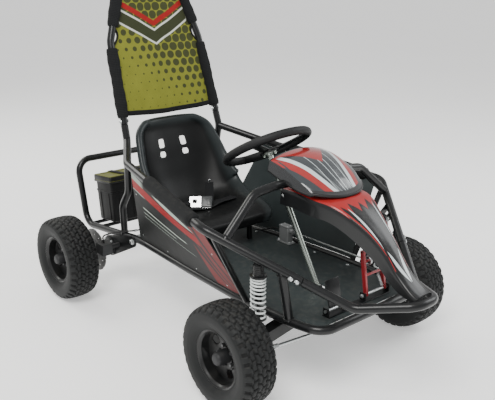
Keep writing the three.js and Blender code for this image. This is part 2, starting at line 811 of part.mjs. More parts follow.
// Floor pan: a sheet on the cross tubes, trimmed to the rails
function floorSheet() {
  const low = crossTube.z + tube.braceRadius + clearance;
  const rearY = crossTube.seatRearY - floorPan.rearLap;
  const outline = [rail.nose, rail.front, rail.door, rail.middle]
    .map((place) => new THREE.Vector2(place.x, Math.max(place.y, floorPan.frontY)))
    .concat([new THREE.Vector2(railX(rearY), rearY)]);
  const mirror = outline.map((point) => new THREE.Vector2(-point.x, point.y)).reverse();
  const sheet = plate([...outline, ...mirror], "z", low, floorPan.thick);
  const hole = bar(columnAtHeight(low - tube.radius), columnAtHeight(low + tube.radius), floorPan.columnHole);
  const seatLegs = [crossTube.seatFrontY, crossTube.seatRearY].flatMap((y) =>
    [-1, 1].map((side) => {
      const x = side * seatHoop.half;
      return bar(vector(x, y, low - overrun), vector(x, y, low + floorPan.thick + overrun), holeRadius(braceOutline(), tubeSideCount));
    }),
  );
  const fronts = sides.map(({ side }) =>
    bentTube([vector(side * postFoot.x, postFoot.y, rail.z), onFrontRail(side, postShare)], tube.radius + clearance, 0),
  );
  return cut(sheet, lowerCutter(), hole, ...seatLegs, ...fronts);
}

// Side panel: a ruled sheet from the arm rail to the lower rail
function sidePanelSheet(side) {
  const surface = (u, v) => {
    const top = between(onSide(side, armRear), onSide(side, armFront), mixed(sidePanelTopShares.rear, sidePanelTopShares.front, v));
    const lowY = mixed(sidePanel.rearLowY, panelFoot.y, v);
    const low = lowY > rail.seat.y ? onRailRear(side, lowY) : onRail(side, lowY);
    return between(top, low, side > 0 ? u : 1 - u);
  };
  const sheet = skin(surface, 1, 8, sidePanel.thick);
  const panelTop = onFrontRail(side, panelTubeShare);
  const panelTube = bar(panelTop, vector(side * panelFoot.x, panelFoot.y, rail.z), tube.braceRadius + clearance);
  return largest(
    cut(sheet, lowerCutter(), armRailCutter(side), armPadRoom(side), panelTube, rackCutter(), fit(stayCorners(side)), hangerCutter(side)),
  );
}
const onRailRear = (side, y) => {
  const share = (rail.seat.y - y) / (rail.seat.y - rail.rear.y);
  return vector(side * mixed(rail.seat.x, rail.rear.x, share), y, mixed(rail.z, rail.rear.z, share));
};

// The largest body of a solid that a cut has parted
const largest = (solid) =>
  solid.decompose().reduce((best, body) => (body.volume() > best.volume() ? body : best));

const alongArm = (side, share) => between(onSide(side, armRear), onSide(side, armFront), share);
const armPadFoam = (side) =>
  cut(bar(alongArm(side, pad.startShare), alongArm(side, pad.endShare), pad.radius, roundSideCount), armRailCutter(side));
const armPadRoom = (side) => {
  const spare = clearance / armRear.y;
  return bar(
    alongArm(side, pad.startShare - spare),
    alongArm(side, pad.endShare + spare),
    pad.radius + clearance,
    roundSideCount,
  );
};

// Seat shell: the centre line runs from the front lip to the top, and the sides lift along its normal
const seatDepthShares = [0, 0.01, 0.12, 0.34, 0.55, 0.7, 0.8, 0.865, 0.915, 0.965, 1.0];
const seatHeightShares = [0, 0.075, 0.11, 0.085, 0.07, 0.12, 0.29, 0.5, 0.7, 0.88, 1.0];
const seatWidthShares = [0.78, 0.84, 0.9, 0.96, 1.0, 1.0, 0.98, 0.96, 0.9, 0.8, 0.56];
const seatLiftShares = [0.0, 0.04, 0.1, 0.26, 0.66, 0.95, 0.86, 0.62, 0.46, 0.34, 0.2];
const seatSkin = () => skin(seatSurface, seatAcrossCount, seatAlongCount, seat.wall);
const seatCentre = (v) =>
  vector(
    0,
    seat.frontY + seat.depth * readTable(seatDepthShares, v),
    seat.baseZ + seat.height * readTable(seatHeightShares, v),
  );
function seatSurface(u, v) {
  const step = 0.01;
  const along = seatCentre(Math.min(v + step, 1)).sub(seatCentre(Math.max(v - step, 0))).normalize();
  const facing = vector(0, -along.z, along.y);
  const across = 2 * u - 1;
  const lift = seat.lift * readTable(seatLiftShares, v) * Math.abs(across) ** 3;
  const half = seat.halfWidth * readTable(seatWidthShares, v);
  return seatCentre(v)
    .addScaledVector(facing, lift)
    .add(vector(half * across, 0, 0));
}
function seatUnderside(y) {
  let low = 0;
  let high = 0.5;
  for (let round = 0; round < 30; round += 1) {
    const middle = (low + high) / 2;
    if (seatCentre(middle).y < y) low = middle;
    else high = middle;
  }
  return seatCentre(low).z - seat.wall;
}
function seatShell() {
  const slots = seat.slotZ.flatMap((z, row) =>
    sides.map(({ side }) =>
      block(seat.slotWidth, seat.depth / 2, seat.slotHeight[row], vector(side * seat.slotX, seat.frontY + seat.depth, z)),
    ),
  );
  return cut(seatSkin(), ...slots);
}

// Lap belt: a band that lies on the pan from the side of the seat, with its half of the buckle
function lapBelt(side) {
  const surface = (u, v) => {
    const row = beltShares.row + (belt.width / seat.depth) * (side > 0 ? 0.5 - u : u - 0.5);
    const place = seatSurface(mixed(0.5 + side * beltShares.start, 0.5 + side * beltShares.end, v), row);
    return place.add(vector(0, 0, belt.thick + belt.lift));
  };
  const pan = seatSkin().translate(0, 0, clearance);
  const base = seatCentre(beltShares.row);
  const fastener = side > 0 ? tongue : buckle;
  const height = side > 0 ? tongue.thick : buckle.height;
  const end = block(fastener.width, fastener.length, height, base.add(vector(fastener.x, 0, fastener.lift)));
  return join(largest(cut(skin(surface, 1, beltStepCount, belt.thick), pan)), end);
}

// Hood over the steering column: a flat shield with a rounded front lip and a turned down rim
function hoodShell() {
  const surface = (u, v) => {
    const across = readLinear(hoodAcrossShares, u);
    const bow = Math.abs(across) ** hoodCornerShape;
    const y = mixed(hood.backY, hood.frontY + hood.cornerBack * bow, v);
    const crown = readTable(hoodCrownShares, v);
    const edge = readTable(hoodEdgeShares, v);
    const rim = readTable(hoodRimShares, v);
    const edgeAt = hoodAcrossShares[hoodAcrossShares.length - 2];
    const inner = Math.min(Math.abs(across) / edgeAt, 1);
    const outer = Math.max(Math.abs(across) - edgeAt, 0) / (1 - edgeAt);
    const share = mixed(mixed(crown, edge, inner * inner), rim, outer);
    return vector(hood.halfWidth * readTable(hoodWidthShares, v) * across, y, hood.lowZ + hood.rise * share);
  };
  return cut(skin(surface, hoodAcrossShares.length - 1, hoodStepCount, hood.wall), hoopCutter());
}

// Nose cone: a painted spine with side skirts, running down to the bumper tube
function noseCone() {
  const surface = (u, v) => {
    const y = mixed(nose.backY, nose.tipY, v);
    const crown = mixed(nose.backZ, nose.tipZ, readTable(noseDropShares, v));
    const half = mixed(nose.backHalf, nose.tipHalf, readTable(noseTaperShares, v));
    const skirt = nose.skirt * readTable(noseSkirtShares, v);
    const across = readLinear(noseAcrossShares, u);
    return vector(half * across, y, crown - skirt * readLinear(noseFallShares, u));
  };
  return cut(skin(surface, noseAcrossShares.length - 1, noseStepCount, nose.wall), fit(loopCorners()), hoopCutter());
}
function readLinear(table, share) {
  const position = Math.min(Math.max(share, 0), 1) * (table.length - 1);
  const index = Math.min(Math.floor(position), table.length - 2);
  return mixed(table[index], table[index + 1], position - index);
}

// Flag cloth: a panel between the roll bar's legs with a sleeve round each leg, low and high
const legAt = (side, z) => {
  const sleeve = onSide(side, rollBar.sleeve);
  const [from, to] = z < rollBar.sleeve.z ? [legBase(side), sleeve] : [sleeve, onSide(side, rollBar.top)];
  return between(from, to, (z - from.z) / (to.z - from.z));
};
function flagCloth() {
  const surface = (u, v) => {
    const z = mixed(cloth.lowZ, cloth.topZ, v);
    const leg = legAt(1, z);
    const inCut = z > cloth.sleeveTopZ && z < cloth.upperLowZ;
    const cutShare = (z - cloth.sleeveTopZ) / (cloth.upperLowZ - cloth.sleeveTopZ);
    const half = leg.x - (inCut ? cloth.cutDepth * Math.sin(Math.PI * cutShare) : 0);
    const across = 2 * u - 1;
    const slack = 1 - across * across;
    const fold = cloth.wave * Math.sin(2 * Math.PI * (across + clothWaveShare * v)) * slack;
    const sag = cloth.sag * slack * Math.max(1 - v / clothSagShare, 0);
    return vector(half * across, leg.y + fold, z - sag);
  };
  const panel = skin(surface, clothAcrossCount, clothUpCount, cloth.wall);
  const sleeve = (side, low, high) => bar(legAt(side, low), legAt(side, high), cloth.sleeveRadius, tubeSideCount);
  const sleeves = sides.flatMap(({ side }) => [
    sleeve(side, cloth.lowZ, cloth.sleeveTopZ),
    sleeve(side, cloth.upperLowZ, cloth.topZ),
  ]);
  return cut(join(panel, ...sleeves), fit(rollCorners(), tube.radius, rollBar.bendRadius));
}

// Steering wheel
const gripRing = (radius) =>
  new THREE.TorusGeometry(steering.ringRadius, radius, gripSideCount, gripAroundCount);
function steeringSpokes() {
  const reach = steering.ringRadius;
  const parts = [
    turnedUp([
      [0, -steering.dish - steering.spokeThick],
      [steering.hubRadius, -steering.dish - steering.spokeThick],
      [steering.hubRadius, -steering.dish],
      [0, -steering.dish],
    ], roundSideCount),
  ];
  for (let index = 0; index < steering.spokeCount; index += 1) {
    const angle = Math.PI / 2 + (index * 2 * Math.PI) / steering.spokeCount;
    const inner = steering.spokeStart;
    const from = vector(inner * Math.cos(angle), inner * Math.sin(angle), -steering.dish - steering.spokeThick / 2);
    const to = vector(reach * Math.cos(angle), reach * Math.sin(angle), 0);
    const spoke = new THREE.BoxGeometry(from.distanceTo(to), steering.spokeWidth, steering.spokeThick);
    spoke.translate(from.distanceTo(to) / 2, 0, 0);
    spoke.rotateY(-Math.asin((to.z - from.z) / from.distanceTo(to)));
    spoke.rotateZ(angle).translate(from.x, from.y, from.z);
    parts.push(spoke);
  }
  return cut(join(...parts), gripRing(steering.gripRadius + clearance));
}

// Steering column with its wheel flange above and its forward pitman arm below, in the column's own frame
function steeringColumn() {
  const top = -steering.dish - steering.spokeThick - clearance;
  const low = columnReach(column.footZ);
  const pitman = plate(
    linkOutline(
      new THREE.Vector2(0, 0),
      column.lowerBearing,
      new THREE.Vector2(0, -column.pitman),
      column.pitmanRadius,
    ),
    "z",
    low,
    column.pitmanThick,
  );
  const spread = plate(
    linkOutline(
      new THREE.Vector2(-column.pitmanSpread, -column.pitman),
      column.eyeRadius,
      new THREE.Vector2(column.pitmanSpread, -column.pitman),
      column.eyeRadius,
    ),
    "z",
    low,
    column.pitmanThick,
  );
  const studs = [-1, 1].map((side) => {
    const x = side * column.pitmanSpread;
    const end = vector(x, -column.pitman, low - column.studLength);
    return bar(vector(x, -column.pitman, low + clearance), end, column.studRadius);
  });
  const shaft = turnedUp(
    [
      [0, low],
      [column.radius, low],
      [column.radius, top - steering.spokeThick],
      [steering.flangeRadius, top - steering.spokeThick],
      [steering.flangeRadius, top],
      [0, top],
    ],
    roundSideCount,
  );
  return join(shaft, pitman, spread, ...studs);
}

// Upper column bearing on a bracket from the knee hoop
function columnBushing() {
  const centre = columnPlace(vector(0, 0, -column.upperBearing));
  const from = columnPlace(vector(0, 0, -column.upperBearing - column.lowerBearingHalf));
  const to = columnPlace(vector(0, 0, -column.upperBearing + column.lowerBearingHalf));
  const outer = bar(from, to, column.lowerBearing, roundSideCount);
  const hoopTop = vector(0, kneeHoop.topY, kneeHoop.topZ);
  const bracket = bar(hoopTop, centre, tube.braceRadius);
  const bore = bar(
    columnPlace(vector(0, 0, -column.upperBearing - 2 * column.lowerBearing)),
    columnPlace(vector(0, 0, -column.upperBearing + 2 * column.lowerBearing)),
    holeRadius(column.radius),
    roundSideCount,
  );
  return cut(join(outer, bracket), bore, hoopCutter());
}

// Swing arm: square beam, pivot boss, kingpin sleeve and shock clevis
function swingArm(side) {
  const pivot = vector(side * arm.pivotX, 0, arm.pivotZ);
  const outer = vector(side * kingpin.x, 0, axle.z);
  const length = pivot.distanceTo(outer);
  const beam = new THREE.BoxGeometry(length, arm.width, arm.wall);
  beam.translate(length / 2, 0, 0);
  beam.rotateY(Math.atan2(arm.pivotZ - axle.z, kingpin.x - arm.pivotX));
  if (side < 0) beam.rotateZ(Math.PI);
  beam.translate(pivot.x, 0, pivot.z);
  const boss = bar(vector(pivot.x, -arm.bossHalf, pivot.z), vector(pivot.x, arm.bossHalf, pivot.z), arm.bossRadius, roundSideCount);
  const sleeveTop = vector(outer.x, 0, axle.z + kingpin.sleeveHalf);
  const sleeveLow = vector(outer.x, 0, axle.z - kingpin.sleeveHalf);
  const sleeve = bar(sleeveLow, sleeveTop, kingpin.sleeveRadius, roundSideCount);
  const clevis = [1, -1].map((way) => {
    const start = way > 0 ? shock.eyeHalf + clearance : -shock.eyeHalf - clearance - shock.bracketThick;
    const outline = linkOutline(
      new THREE.Vector2(side * shock.x, shock.lowZ),
      shock.eyeRadius,
      new THREE.Vector2(side * shock.x, axle.z),
      shock.eyeRadius,
    );
    return plate(outline, "y", start, shock.bracketThick);
  });
  const reach = shock.eyeHalf + shock.bracketThick + clearance + bolt.headHeight / 2;
  const pin = bar(vector(side * shock.x, -reach, shock.lowZ), vector(side * shock.x, reach, shock.lowZ), shock.boltRadius);
  const pinBore = bar(
    vector(pivot.x, -arm.bossHalf - overrun, pivot.z),
    vector(pivot.x, arm.bossHalf + overrun, pivot.z),
    holeRadius(arm.pinRadius, tubeSideCount),
  );
  const overSleeve = vector(0, 0, overrun);
  const kingBore = bar(sleeveLow.clone().sub(overSleeve), sleeveTop.clone().add(overSleeve), holeRadius(kingpin.radius, tubeSideCount));
  const endX = kingpin.x - kingpin.neckStep + length / 2;
  const end = block(length, length, length, vector(side * endX, 0, axle.z));
  const neckX = kingpin.x - kingpin.neckLength / 2;
  const neckHeight = 2 * kingpin.sleeveHalf - kingpin.neckStep;
  const neck = block(kingpin.neckLength, kingpin.neckWidth, neckHeight, vector(side * neckX, 0, axle.z));
  return cut(join(cut(beam, end), neck, boss, sleeve, ...clevis, pin), pinBore, kingBore);
}

// Knuckle in its own frame at the kingpin's centre: ears, back plate, stub axle and steering arm
function knuckle(side) {
  const ear = (low) =>
    plate(
      linkOutline(
        new THREE.Vector2(0, 0),
        kingpin.sleeveRadius,
        new THREE.Vector2(side * kingpin.plateX, 0),
        kingpin.sleeveRadius,
      ),
      "z",
      low,
      kingpin.earThick,
    );
  const inner = kingpin.sleeveHalf + clearance;
  const outer = inner + kingpin.earThick;
  const back = block(
    kingpin.plateThick,
    2 * kingpin.sleeveRadius,
    2 * outer,
    vector(side * (kingpin.plateX + kingpin.plateThick / 2), 0, 0),
  );
  const pin = bar(vector(0, 0, -outer - bolt.headHeight), vector(0, 0, outer + bolt.headHeight), kingpin.radius);
  const stubEnd = frontTrackHalf - kingpin.x + rim.hubHalfLength + bolt.headHeight;
  const stubAxle = bar(vector(side * kingpin.plateX, 0, 0), vector(side * stubEnd, 0, 0), kingpin.stubRadius, roundSideCount);
  const washerX = frontTrackHalf - kingpin.x - rim.hubHalfLength - clearance;
  const shoulder = bar(vector(side * kingpin.plateX, 0, 0), vector(side * washerX, 0, 0), axle.radius, roundSideCount);
  const armPlate = plate(
    linkOutline(
      new THREE.Vector2(side * kingpin.plateX, -kingpin.sleeveRadius / 2),
      steerArm.rootRadius,
      new THREE.Vector2(-side * steerArm.x, -steerArm.forward),
      steerArm.radius,
    ),
    "z",
    steerArm.z - steerArm.thick,
    steerArm.thick,
  );
  const armPin = bar(
    vector(-side * steerArm.x, -steerArm.forward, steerArm.z - steerArm.thick),
    vector(-side * steerArm.x, -steerArm.forward, steerArm.z + steerArm.pinLength),
    steerArm.pinRadius,
  );
  const room = bar(vector(0, 0, -inner), vector(0, 0, inner), kingpin.sleeveRadius + kingpin.sleeveRoom);
  const cleared = cut(join(ear(inner), ear(-outer), back, stubAxle, shoulder, armPlate), room);
  return join(cleared, pin, armPin);
}

// Tie rod from the steering arm to the pitman stud, in the kart's frame
function tieRodBar(side) {
  const outerEnd = vector(side * (kingpin.x - steerArm.x), -steerArm.forward, axle.z + steerArm.z);
  const outerRing = bar(
    outerEnd.clone().add(vector(0, 0, clearance)),
    outerEnd.clone().add(vector(0, 0, clearance + tieRod.outerHeight)),
    tieRod.outerRadius,
    roundSideCount,
  );
  const studMiddle = columnReach(column.footZ) - column.studLength / 2;
  const innerEnd = columnPlace(vector(side * column.pitmanSpread, -column.pitman, studMiddle));
  const axis = columnPlace(vector(0, 0, 1)).sub(columnPlace(vector(0, 0, 0)));
  const half = tieRod.ringThick / 2;
  const ringAt = (reach, radius) =>
    bar(
      innerEnd.clone().addScaledVector(axis, -reach),
      innerEnd.clone().addScaledVector(axis, reach),
      radius,
      roundSideCount,
    );
  const rodFrom = outerEnd.clone().add(vector(0, 0, clearance + tieRod.outerHeight / 2));
  const rodBody = bar(rodFrom, innerEnd, tieRod.radius);
  const bore = bar(
    outerEnd.clone().add(vector(0, 0, -overrun)),
    outerEnd.clone().add(vector(0, 0, steerArm.pinLength + overrun)),
    holeRadius(steerArm.pinRadius, tubeSideCount),
  );
  return cut(join(rodBody, outerRing, ringAt(half, tieRod.ringRadius)), bore, ringAt(half + overrun * 2, tieRod.ringBore));
}

// Shock body in its own frame at the top bolt, Z down along the damper
function shockBody() {
  const eye = bar(vector(0, -shock.eyeHalf, 0), vector(0, shock.eyeHalf, 0), shock.eyeRadius, roundSideCount);
  const body = turnedUp(
    [
      [0, 0],
      [shock.neckRadius, -shock.eyeRadius],
      [shock.bodyRadius, -shock.eyeRadius - shock.shoulder],
      [shock.bodyRadius, -shock.springTop + shock.collarThick],
      [shock.collarRadius, -shock.springTop + shock.collarThick],
      [shock.collarRadius, -shock.springTop],
      [shock.innerRadius, -shock.springTop],
      [shock.innerRadius, -shock.springTop - shock.innerLength],
      [holeRadius(shock.rodRadius), -shock.springTop - shock.innerLength],
      [holeRadius(shock.rodRadius), -shock.springTop],
      [0, -shock.springTop],
    ],
    roundSideCount,
  );
  const bore = bar(vector(0, -shock.eyeHalf - overrun, 0), vector(0, shock.eyeHalf + overrun, 0), holeRadius(shock.boltRadius, tubeSideCount));
  return cut(join(body, eye), bore);
}

// Shock rod with the lower spring perch and the open lower eye, in the same frame
function shockRod() {
  const low = -(shock.topZ - shock.lowZ);
  const rod = turnedUp(
    [
      [0, -shock.rodTop],
      [shock.rodRadius, -shock.rodTop],
      [shock.rodRadius, -shock.springLow],
      [shock.collarRadius, -shock.springLow],
      [shock.collarRadius, -shock.springLow - shock.collarThick],
      [shock.footRadius, -shock.springLow - shock.collarThick],
      [shock.footRadius, low],
      [0, low],
    ],
    roundSideCount,
  );
  const eye = bar(vector(0, -shock.eyeHalf, low), vector(0, shock.eyeHalf, low), shock.eyeRadius, roundSideCount);
  const bore = bar(
    vector(0, -shock.eyeHalf - overrun, low),
    vector(0, shock.eyeHalf + overrun, low),
    shock.boltRadius + shock.openClearance,
    roundSideCount,
  );
  return cut(join(rod, eye), bore);
}

// Coil spring: one unbroken wire whose curls close up towards both ends and most at the top
const springRise = (share) =>
  share - (springCloseShare * Math.sin(2 * Math.PI * share)) / (2 * Math.PI) - springTopShare * share * (1 - share);
function coilSpring() {
  const count = spring.curlCount * spring.stepCount;
  const high = -shock.springTop - clearance - spring.wireRadius;
  const low = -shock.springLow + clearance + spring.wireRadius;
  const centre = (step) => {
    const angle = (step / spring.stepCount) * 2 * Math.PI;
    return vector(
      spring.meanRadius * Math.cos(angle),
      spring.meanRadius * Math.sin(angle),
      mixed(high, low, springRise(step / count)),
    );
  };
  const places = [];
  for (let step = 0; step <= count; step += 1) {
    const here = centre(step);
    const outward = vector(here.x, here.y, 0).normalize();
    for (let side = 0; side < spring.sideCount; side += 1) {
      const angle = (side / spring.sideCount) * 2 * Math.PI;
      places.push(
        here
          .clone()
          .addScaledVector(outward, spring.wireRadius * Math.cos(angle))
          .add(vector(0, 0, spring.wireRadius * Math.sin(angle))),
      );
    }
  }
  const faces = [];
  const ring = spring.sideCount;
  for (let step = 0; step < count; step += 1) {
    for (let side = 0; side < ring; side += 1) {
      const a = step * ring + side;
      const b = step * ring + ((side + 1) % ring);
      faces.push(a, b + ring, b, a, a + ring, b + ring);
    }
  }
  for (let side = 1; side < ring - 1; side += 1) {
    faces.push(0, side, side + 1);
    faces.push(count * ring, count * ring + side + 1, count * ring + side);
  }
  const geometry = new THREE.BufferGeometry();
  geometry.setAttribute("position", new THREE.Float32BufferAttribute(places.flatMap((p) => p.toArray()), 3));
  geometry.setIndex(faces);
  reportSpringGap(centre, count);
  return geometry;
}
function reportSpringGap(centre, count) {
  let least = Infinity;
  for (let step = 0; step <= count; step += 1) {
    for (let other = step + spring.stepCount / 2; other <= count; other += 1) {
      least = Math.min(least, centre(step).distanceTo(centre(other)) - 2 * spring.wireRadius);
    }
  }
  console.log("coil spring: least gap to itself " + least.toFixed(2) + " mm");
}

// Tyre about X: a closed ring whose tread rows rise and fall in turn
function tyreRing() {
  const inner = (rim.seatRadius + clearance) / Math.cos(Math.PI / tyre.aroundCount);
  const bead = rim.halfWidth - rim.wall - clearance;
  const slant = rim.wall;
  const flange = rim.flangeRadius + clearance + tyre.beadOver;
  const sidewall = [
    [inner, bead],
    [flange, bead + slant - clearance],
    [flange + tyre.beadRise, tyre.halfWidth * tyreWallShares.foot],
    [mixed(flange, tyre.radius, tyreWallShares.bulge), tyre.halfWidth],
    [mixed(flange, tyre.radius, tyreWallShares.shoulder), tyre.halfWidth * tyreWallShares.shoulderWidth],
    [tyre.radius, tyre.halfWidth * tyreWallShares.crownWidth],
  ];
  const profile = [...sidewall, ...sidewall.map(([radius, along]) => [radius, -along]).reverse()];
  const lugRows = [4, 5, 6, 7];
  const places = [];
  for (let turn = 0; turn < tyre.aroundCount; turn += 1) {
    profile.forEach(([radius, along], row) => {
      const raised = lugRows.includes(row) && (turn + (row % 2)) % 2 === 0;
      const full = radius - (lugRows.includes(row) && !raised ? tyre.lugHeight : 0);
      const angle = (turn / tyre.aroundCount) * 2 * Math.PI;
      places.push(along, full * Math.cos(angle), full * Math.sin(angle));
    });
  }
  const rows = profile.length;
  const faces = [];
  for (let turn = 0; turn < tyre.aroundCount; turn += 1) {
    for (let row = 0; row < rows; row += 1) {
      const a = turn * rows + row;
      const b = turn * rows + ((row + 1) % rows);
      const c = ((turn + 1) % tyre.aroundCount) * rows + ((row + 1) % rows);
      const d = ((turn + 1) % tyre.aroundCount) * rows + row;
      faces.push(a, b, c, a, c, d);
    }
  }
  const geometry = new THREE.BufferGeometry();
  geometry.setAttribute("position", new THREE.Float32BufferAttribute(places, 3));
  geometry.setIndex(faces);
  return geometry;
}

// Rim about X: barrel, flanges, pierced disc, hub and cap; its outer face looks to +X
function wheelRim(boreRadius) {
  const inside = rim.seatRadius - rim.wall;
  const disc = rim.discOffset;
  const profile = [
    [boreRadius, -rim.hubHalfLength],
    [rim.hubRadius, -rim.hubHalfLength],
    [rim.hubRadius, disc - rim.wall],
    [inside, disc - rim.wall],
    [inside, -rim.halfWidth],
    [rim.flangeRadius, -rim.halfWidth],
    [rim.seatRadius, -rim.halfWidth + rim.wall],
    [rim.seatRadius, rim.halfWidth - rim.wall],
    [rim.flangeRadius, rim.halfWidth],
    [inside, rim.halfWidth],
    [inside, disc],
    [rim.hubRadius, disc],
    [rim.capRadius, rim.capLength],
    [boreRadius, rim.capLength],
  ];
  const holes = Array.from({ length: rim.holeCount }, (_, index) => {
    const angle = (index / rim.holeCount) * 2 * Math.PI;
    const y = rim.holeRing * Math.cos(angle);
    const z = rim.holeRing * Math.sin(angle);
    return bar(vector(disc - rim.wall - overrun, y, z), vector(disc + overrun, y, z), rim.holeRadius, braceSideCount);
  });
  return cut(turned(profile, rim.aroundCount), ...holes);
}

// Toothed wheel about X, with a bore and a hub to one side
function toothedWheel(radius, toothCount, toothHeight, thick, boreRadius, hubRadius, hubLength) {
  const outline = [];
  const toothShares = [
    [-0.25, 0],
    [-0.12, 1],
    [0.12, 1],
    [0.25, 0],
  ];
  for (let tooth = 0; tooth < toothCount; tooth += 1) {
    toothShares.forEach(([turnShare, heightShare]) => {
      const angle = ((tooth + turnShare) / toothCount) * 2 * Math.PI;
      const reach = radius - toothHeight + toothHeight * heightShare;
      outline.push(new THREE.Vector2(reach * Math.cos(angle), reach * Math.sin(angle)));
    });
  }
  const wheel = plate(outline, "x", -thick / 2, thick);
  const hub = bar(vector(0, 0, 0), vector(hubLength, 0, 0), hubRadius, roundSideCount);
  const length = Math.abs(hubLength) + thick + overrun;
  return cut(join(wheel, hub), bar(vector(-length, 0, 0), vector(length, 0, 0), boreRadius, roundSideCount));
}

// Chain as a band round both toothed wheels
function chainBand() {
  const axlePlace = new THREE.Vector2(wheelbase, axle.z);
  const motorPlace = new THREE.Vector2(motor.y, motorZ);
  const start = sprocket.x - chain.width / 2;
  const loopRadius = (radius) => (radius + clearance) / Math.cos((chainTurnShare * Math.PI) / largeSideCount);
  const grown = (extra) =>
    linkOutline(
      axlePlace,
      loopRadius(sprocket.radius) + extra,
      motorPlace,
      loopRadius(pinion.radius) + extra,
      largeSideCount,
    );
  const outer = plate(grown(chain.thick), "x", start, chain.width);
  const inner = plate(grown(0), "x", start - overrun, chain.width + 2 * overrun);
  return cut(outer, inner);
}

function rearAxle() {
  const half = rearTrackHalf + rim.hubHalfLength + bolt.headHeight;
  return turned(
    [
      [0, -half],
      [axle.radius, -half],
      [axle.radius, half],
      [0, half],
    ],
    largeSideCount,
  );
}

function bearingHousing(side) {
  const inner = hanger.x + hanger.thick + clearance;
  const profile = [
    [holeRadius(axle.radius), inner],
    [housing.flange, inner],
    [housing.flange, inner + housing.flangeThick],
    [housing.radius, inner + housing.flangeThick],
    [housing.endRadius, inner + housing.length],
    [holeRadius(axle.radius), inner + housing.length],
  ];
  const shape = turned(profile, roundSideCount);
  if (side < 0) shape.rotateZ(Math.PI);
  return shape.translate(0, wheelbase, axle.z);
}

function brakeDisc() {
  const bore = holeRadius(axle.radius, largeSideCount);
  const profile = [
    [bore, -disc.thick / 2],
    [disc.radius, -disc.thick / 2],
    [disc.radius, disc.thick / 2],
    [disc.hubRadius, disc.thick / 2],
    [disc.hubRadius, disc.hubLength],
    [bore, disc.hubLength],
  ];
  return turned(profile, largeSideCount);
}

// Caliper over the front of the disc, on an arm from the axle hanger
const caliperY = wheelbase - disc.radius + caliper.behind;
function brakeCaliper() {
  const y = caliperY;
  const z = axle.z + caliper.rise;
  const body = block(caliper.width, caliper.length, caliper.height, vector(-disc.x, y, z));
  const slot = turned(
    [
      [0, -disc.x - caliper.slot / 2],
      [disc.radius + overrun, -disc.x - caliper.slot / 2],
      [disc.radius + overrun, -disc.x + caliper.slot / 2],
      [0, -disc.x + caliper.slot / 2],
    ],
    largeSideCount,
  ).translate(0, wheelbase, axle.z);
  const hangerFace = -hanger.x - hanger.thick - clearance;
  const armWidth = hangerFace - (-disc.x + caliper.width / 2 - overrun);
  const armCentre = hangerFace - armWidth / 2;
  const bracket = block(armWidth, caliper.armLength, caliper.armHeight, vector(armCentre, y, z));
  return join(cut(body, slot), bracket);
}

function motorBody() {
  const shell = turned(
    [
      [0, motor.xLow],
      [motor.endRadius, motor.xLow],
      [motor.radius, motor.xLow + motor.bevel],
      [motor.radius, motor.xHigh - motor.bevel],
      [motor.endRadius, motor.xHigh],
      [0, motor.xHigh],
    ],
    largeSideCount,
  ).translate(0, motor.y, motorZ);
  const footTop = crossTube.z + tube.braceRadius + clearance + motor.footThick;
  const foot = block(
    motor.xHigh - motor.xLow - 2 * motor.footInset,
    crossTube.motorRearY - crossTube.seatRearY + 2 * motor.footLip,
    motor.footThick,
    vector(
      (motor.xHigh + motor.xLow) / 2,
      (crossTube.motorRearY + crossTube.seatRearY) / 2,
      footTop - motor.footThick / 2,
    ),
  );
  const shaftEnd = sprocket.x + sprocket.thick;
  const shaftStart = vector(motor.xHigh - overrun, motor.y, motorZ);
  const shaft = bar(shaftStart, vector(shaftEnd, motor.y, motorZ), motor.shaftRadius, largeSideCount);
  return join(shell, foot, shaft);
}

// Battery box and lid in the rack's own frame: Y along the rack, Z square to it
const rackTilt = Math.atan2(rack.lowZ - rail.rear.z, rack.lowY - rail.rear.y);
function batteryTub() {
  const width = 2 * battery.halfWidth;
  const tub = block(width, battery.length, battery.height, vector(0, battery.length / 2, battery.height / 2));
  const hollow = block(
    width - 2 * battery.lip,
    battery.length - 2 * battery.lip,
    battery.height,
    vector(0, battery.length / 2, battery.height / 2 + battery.lip),
  );
  return cut(tub, hollow);
}
function batteryLid() {
  const width = 2 * (battery.halfWidth + battery.lip + clearance);
  const length = battery.length + 2 * (battery.lip + clearance);
  const lidTop = battery.height + clearance + battery.lip;
  const outer = block(width, length, battery.lid, vector(0, battery.length / 2, lidTop - battery.lid / 2));
  const inner = block(
    width - 2 * battery.lip,
    length - 2 * battery.lip,
    battery.lid,
    vector(0, battery.length / 2, lidTop - battery.lid / 2 - battery.lip),
  );
  return cut(outer, inner);
}

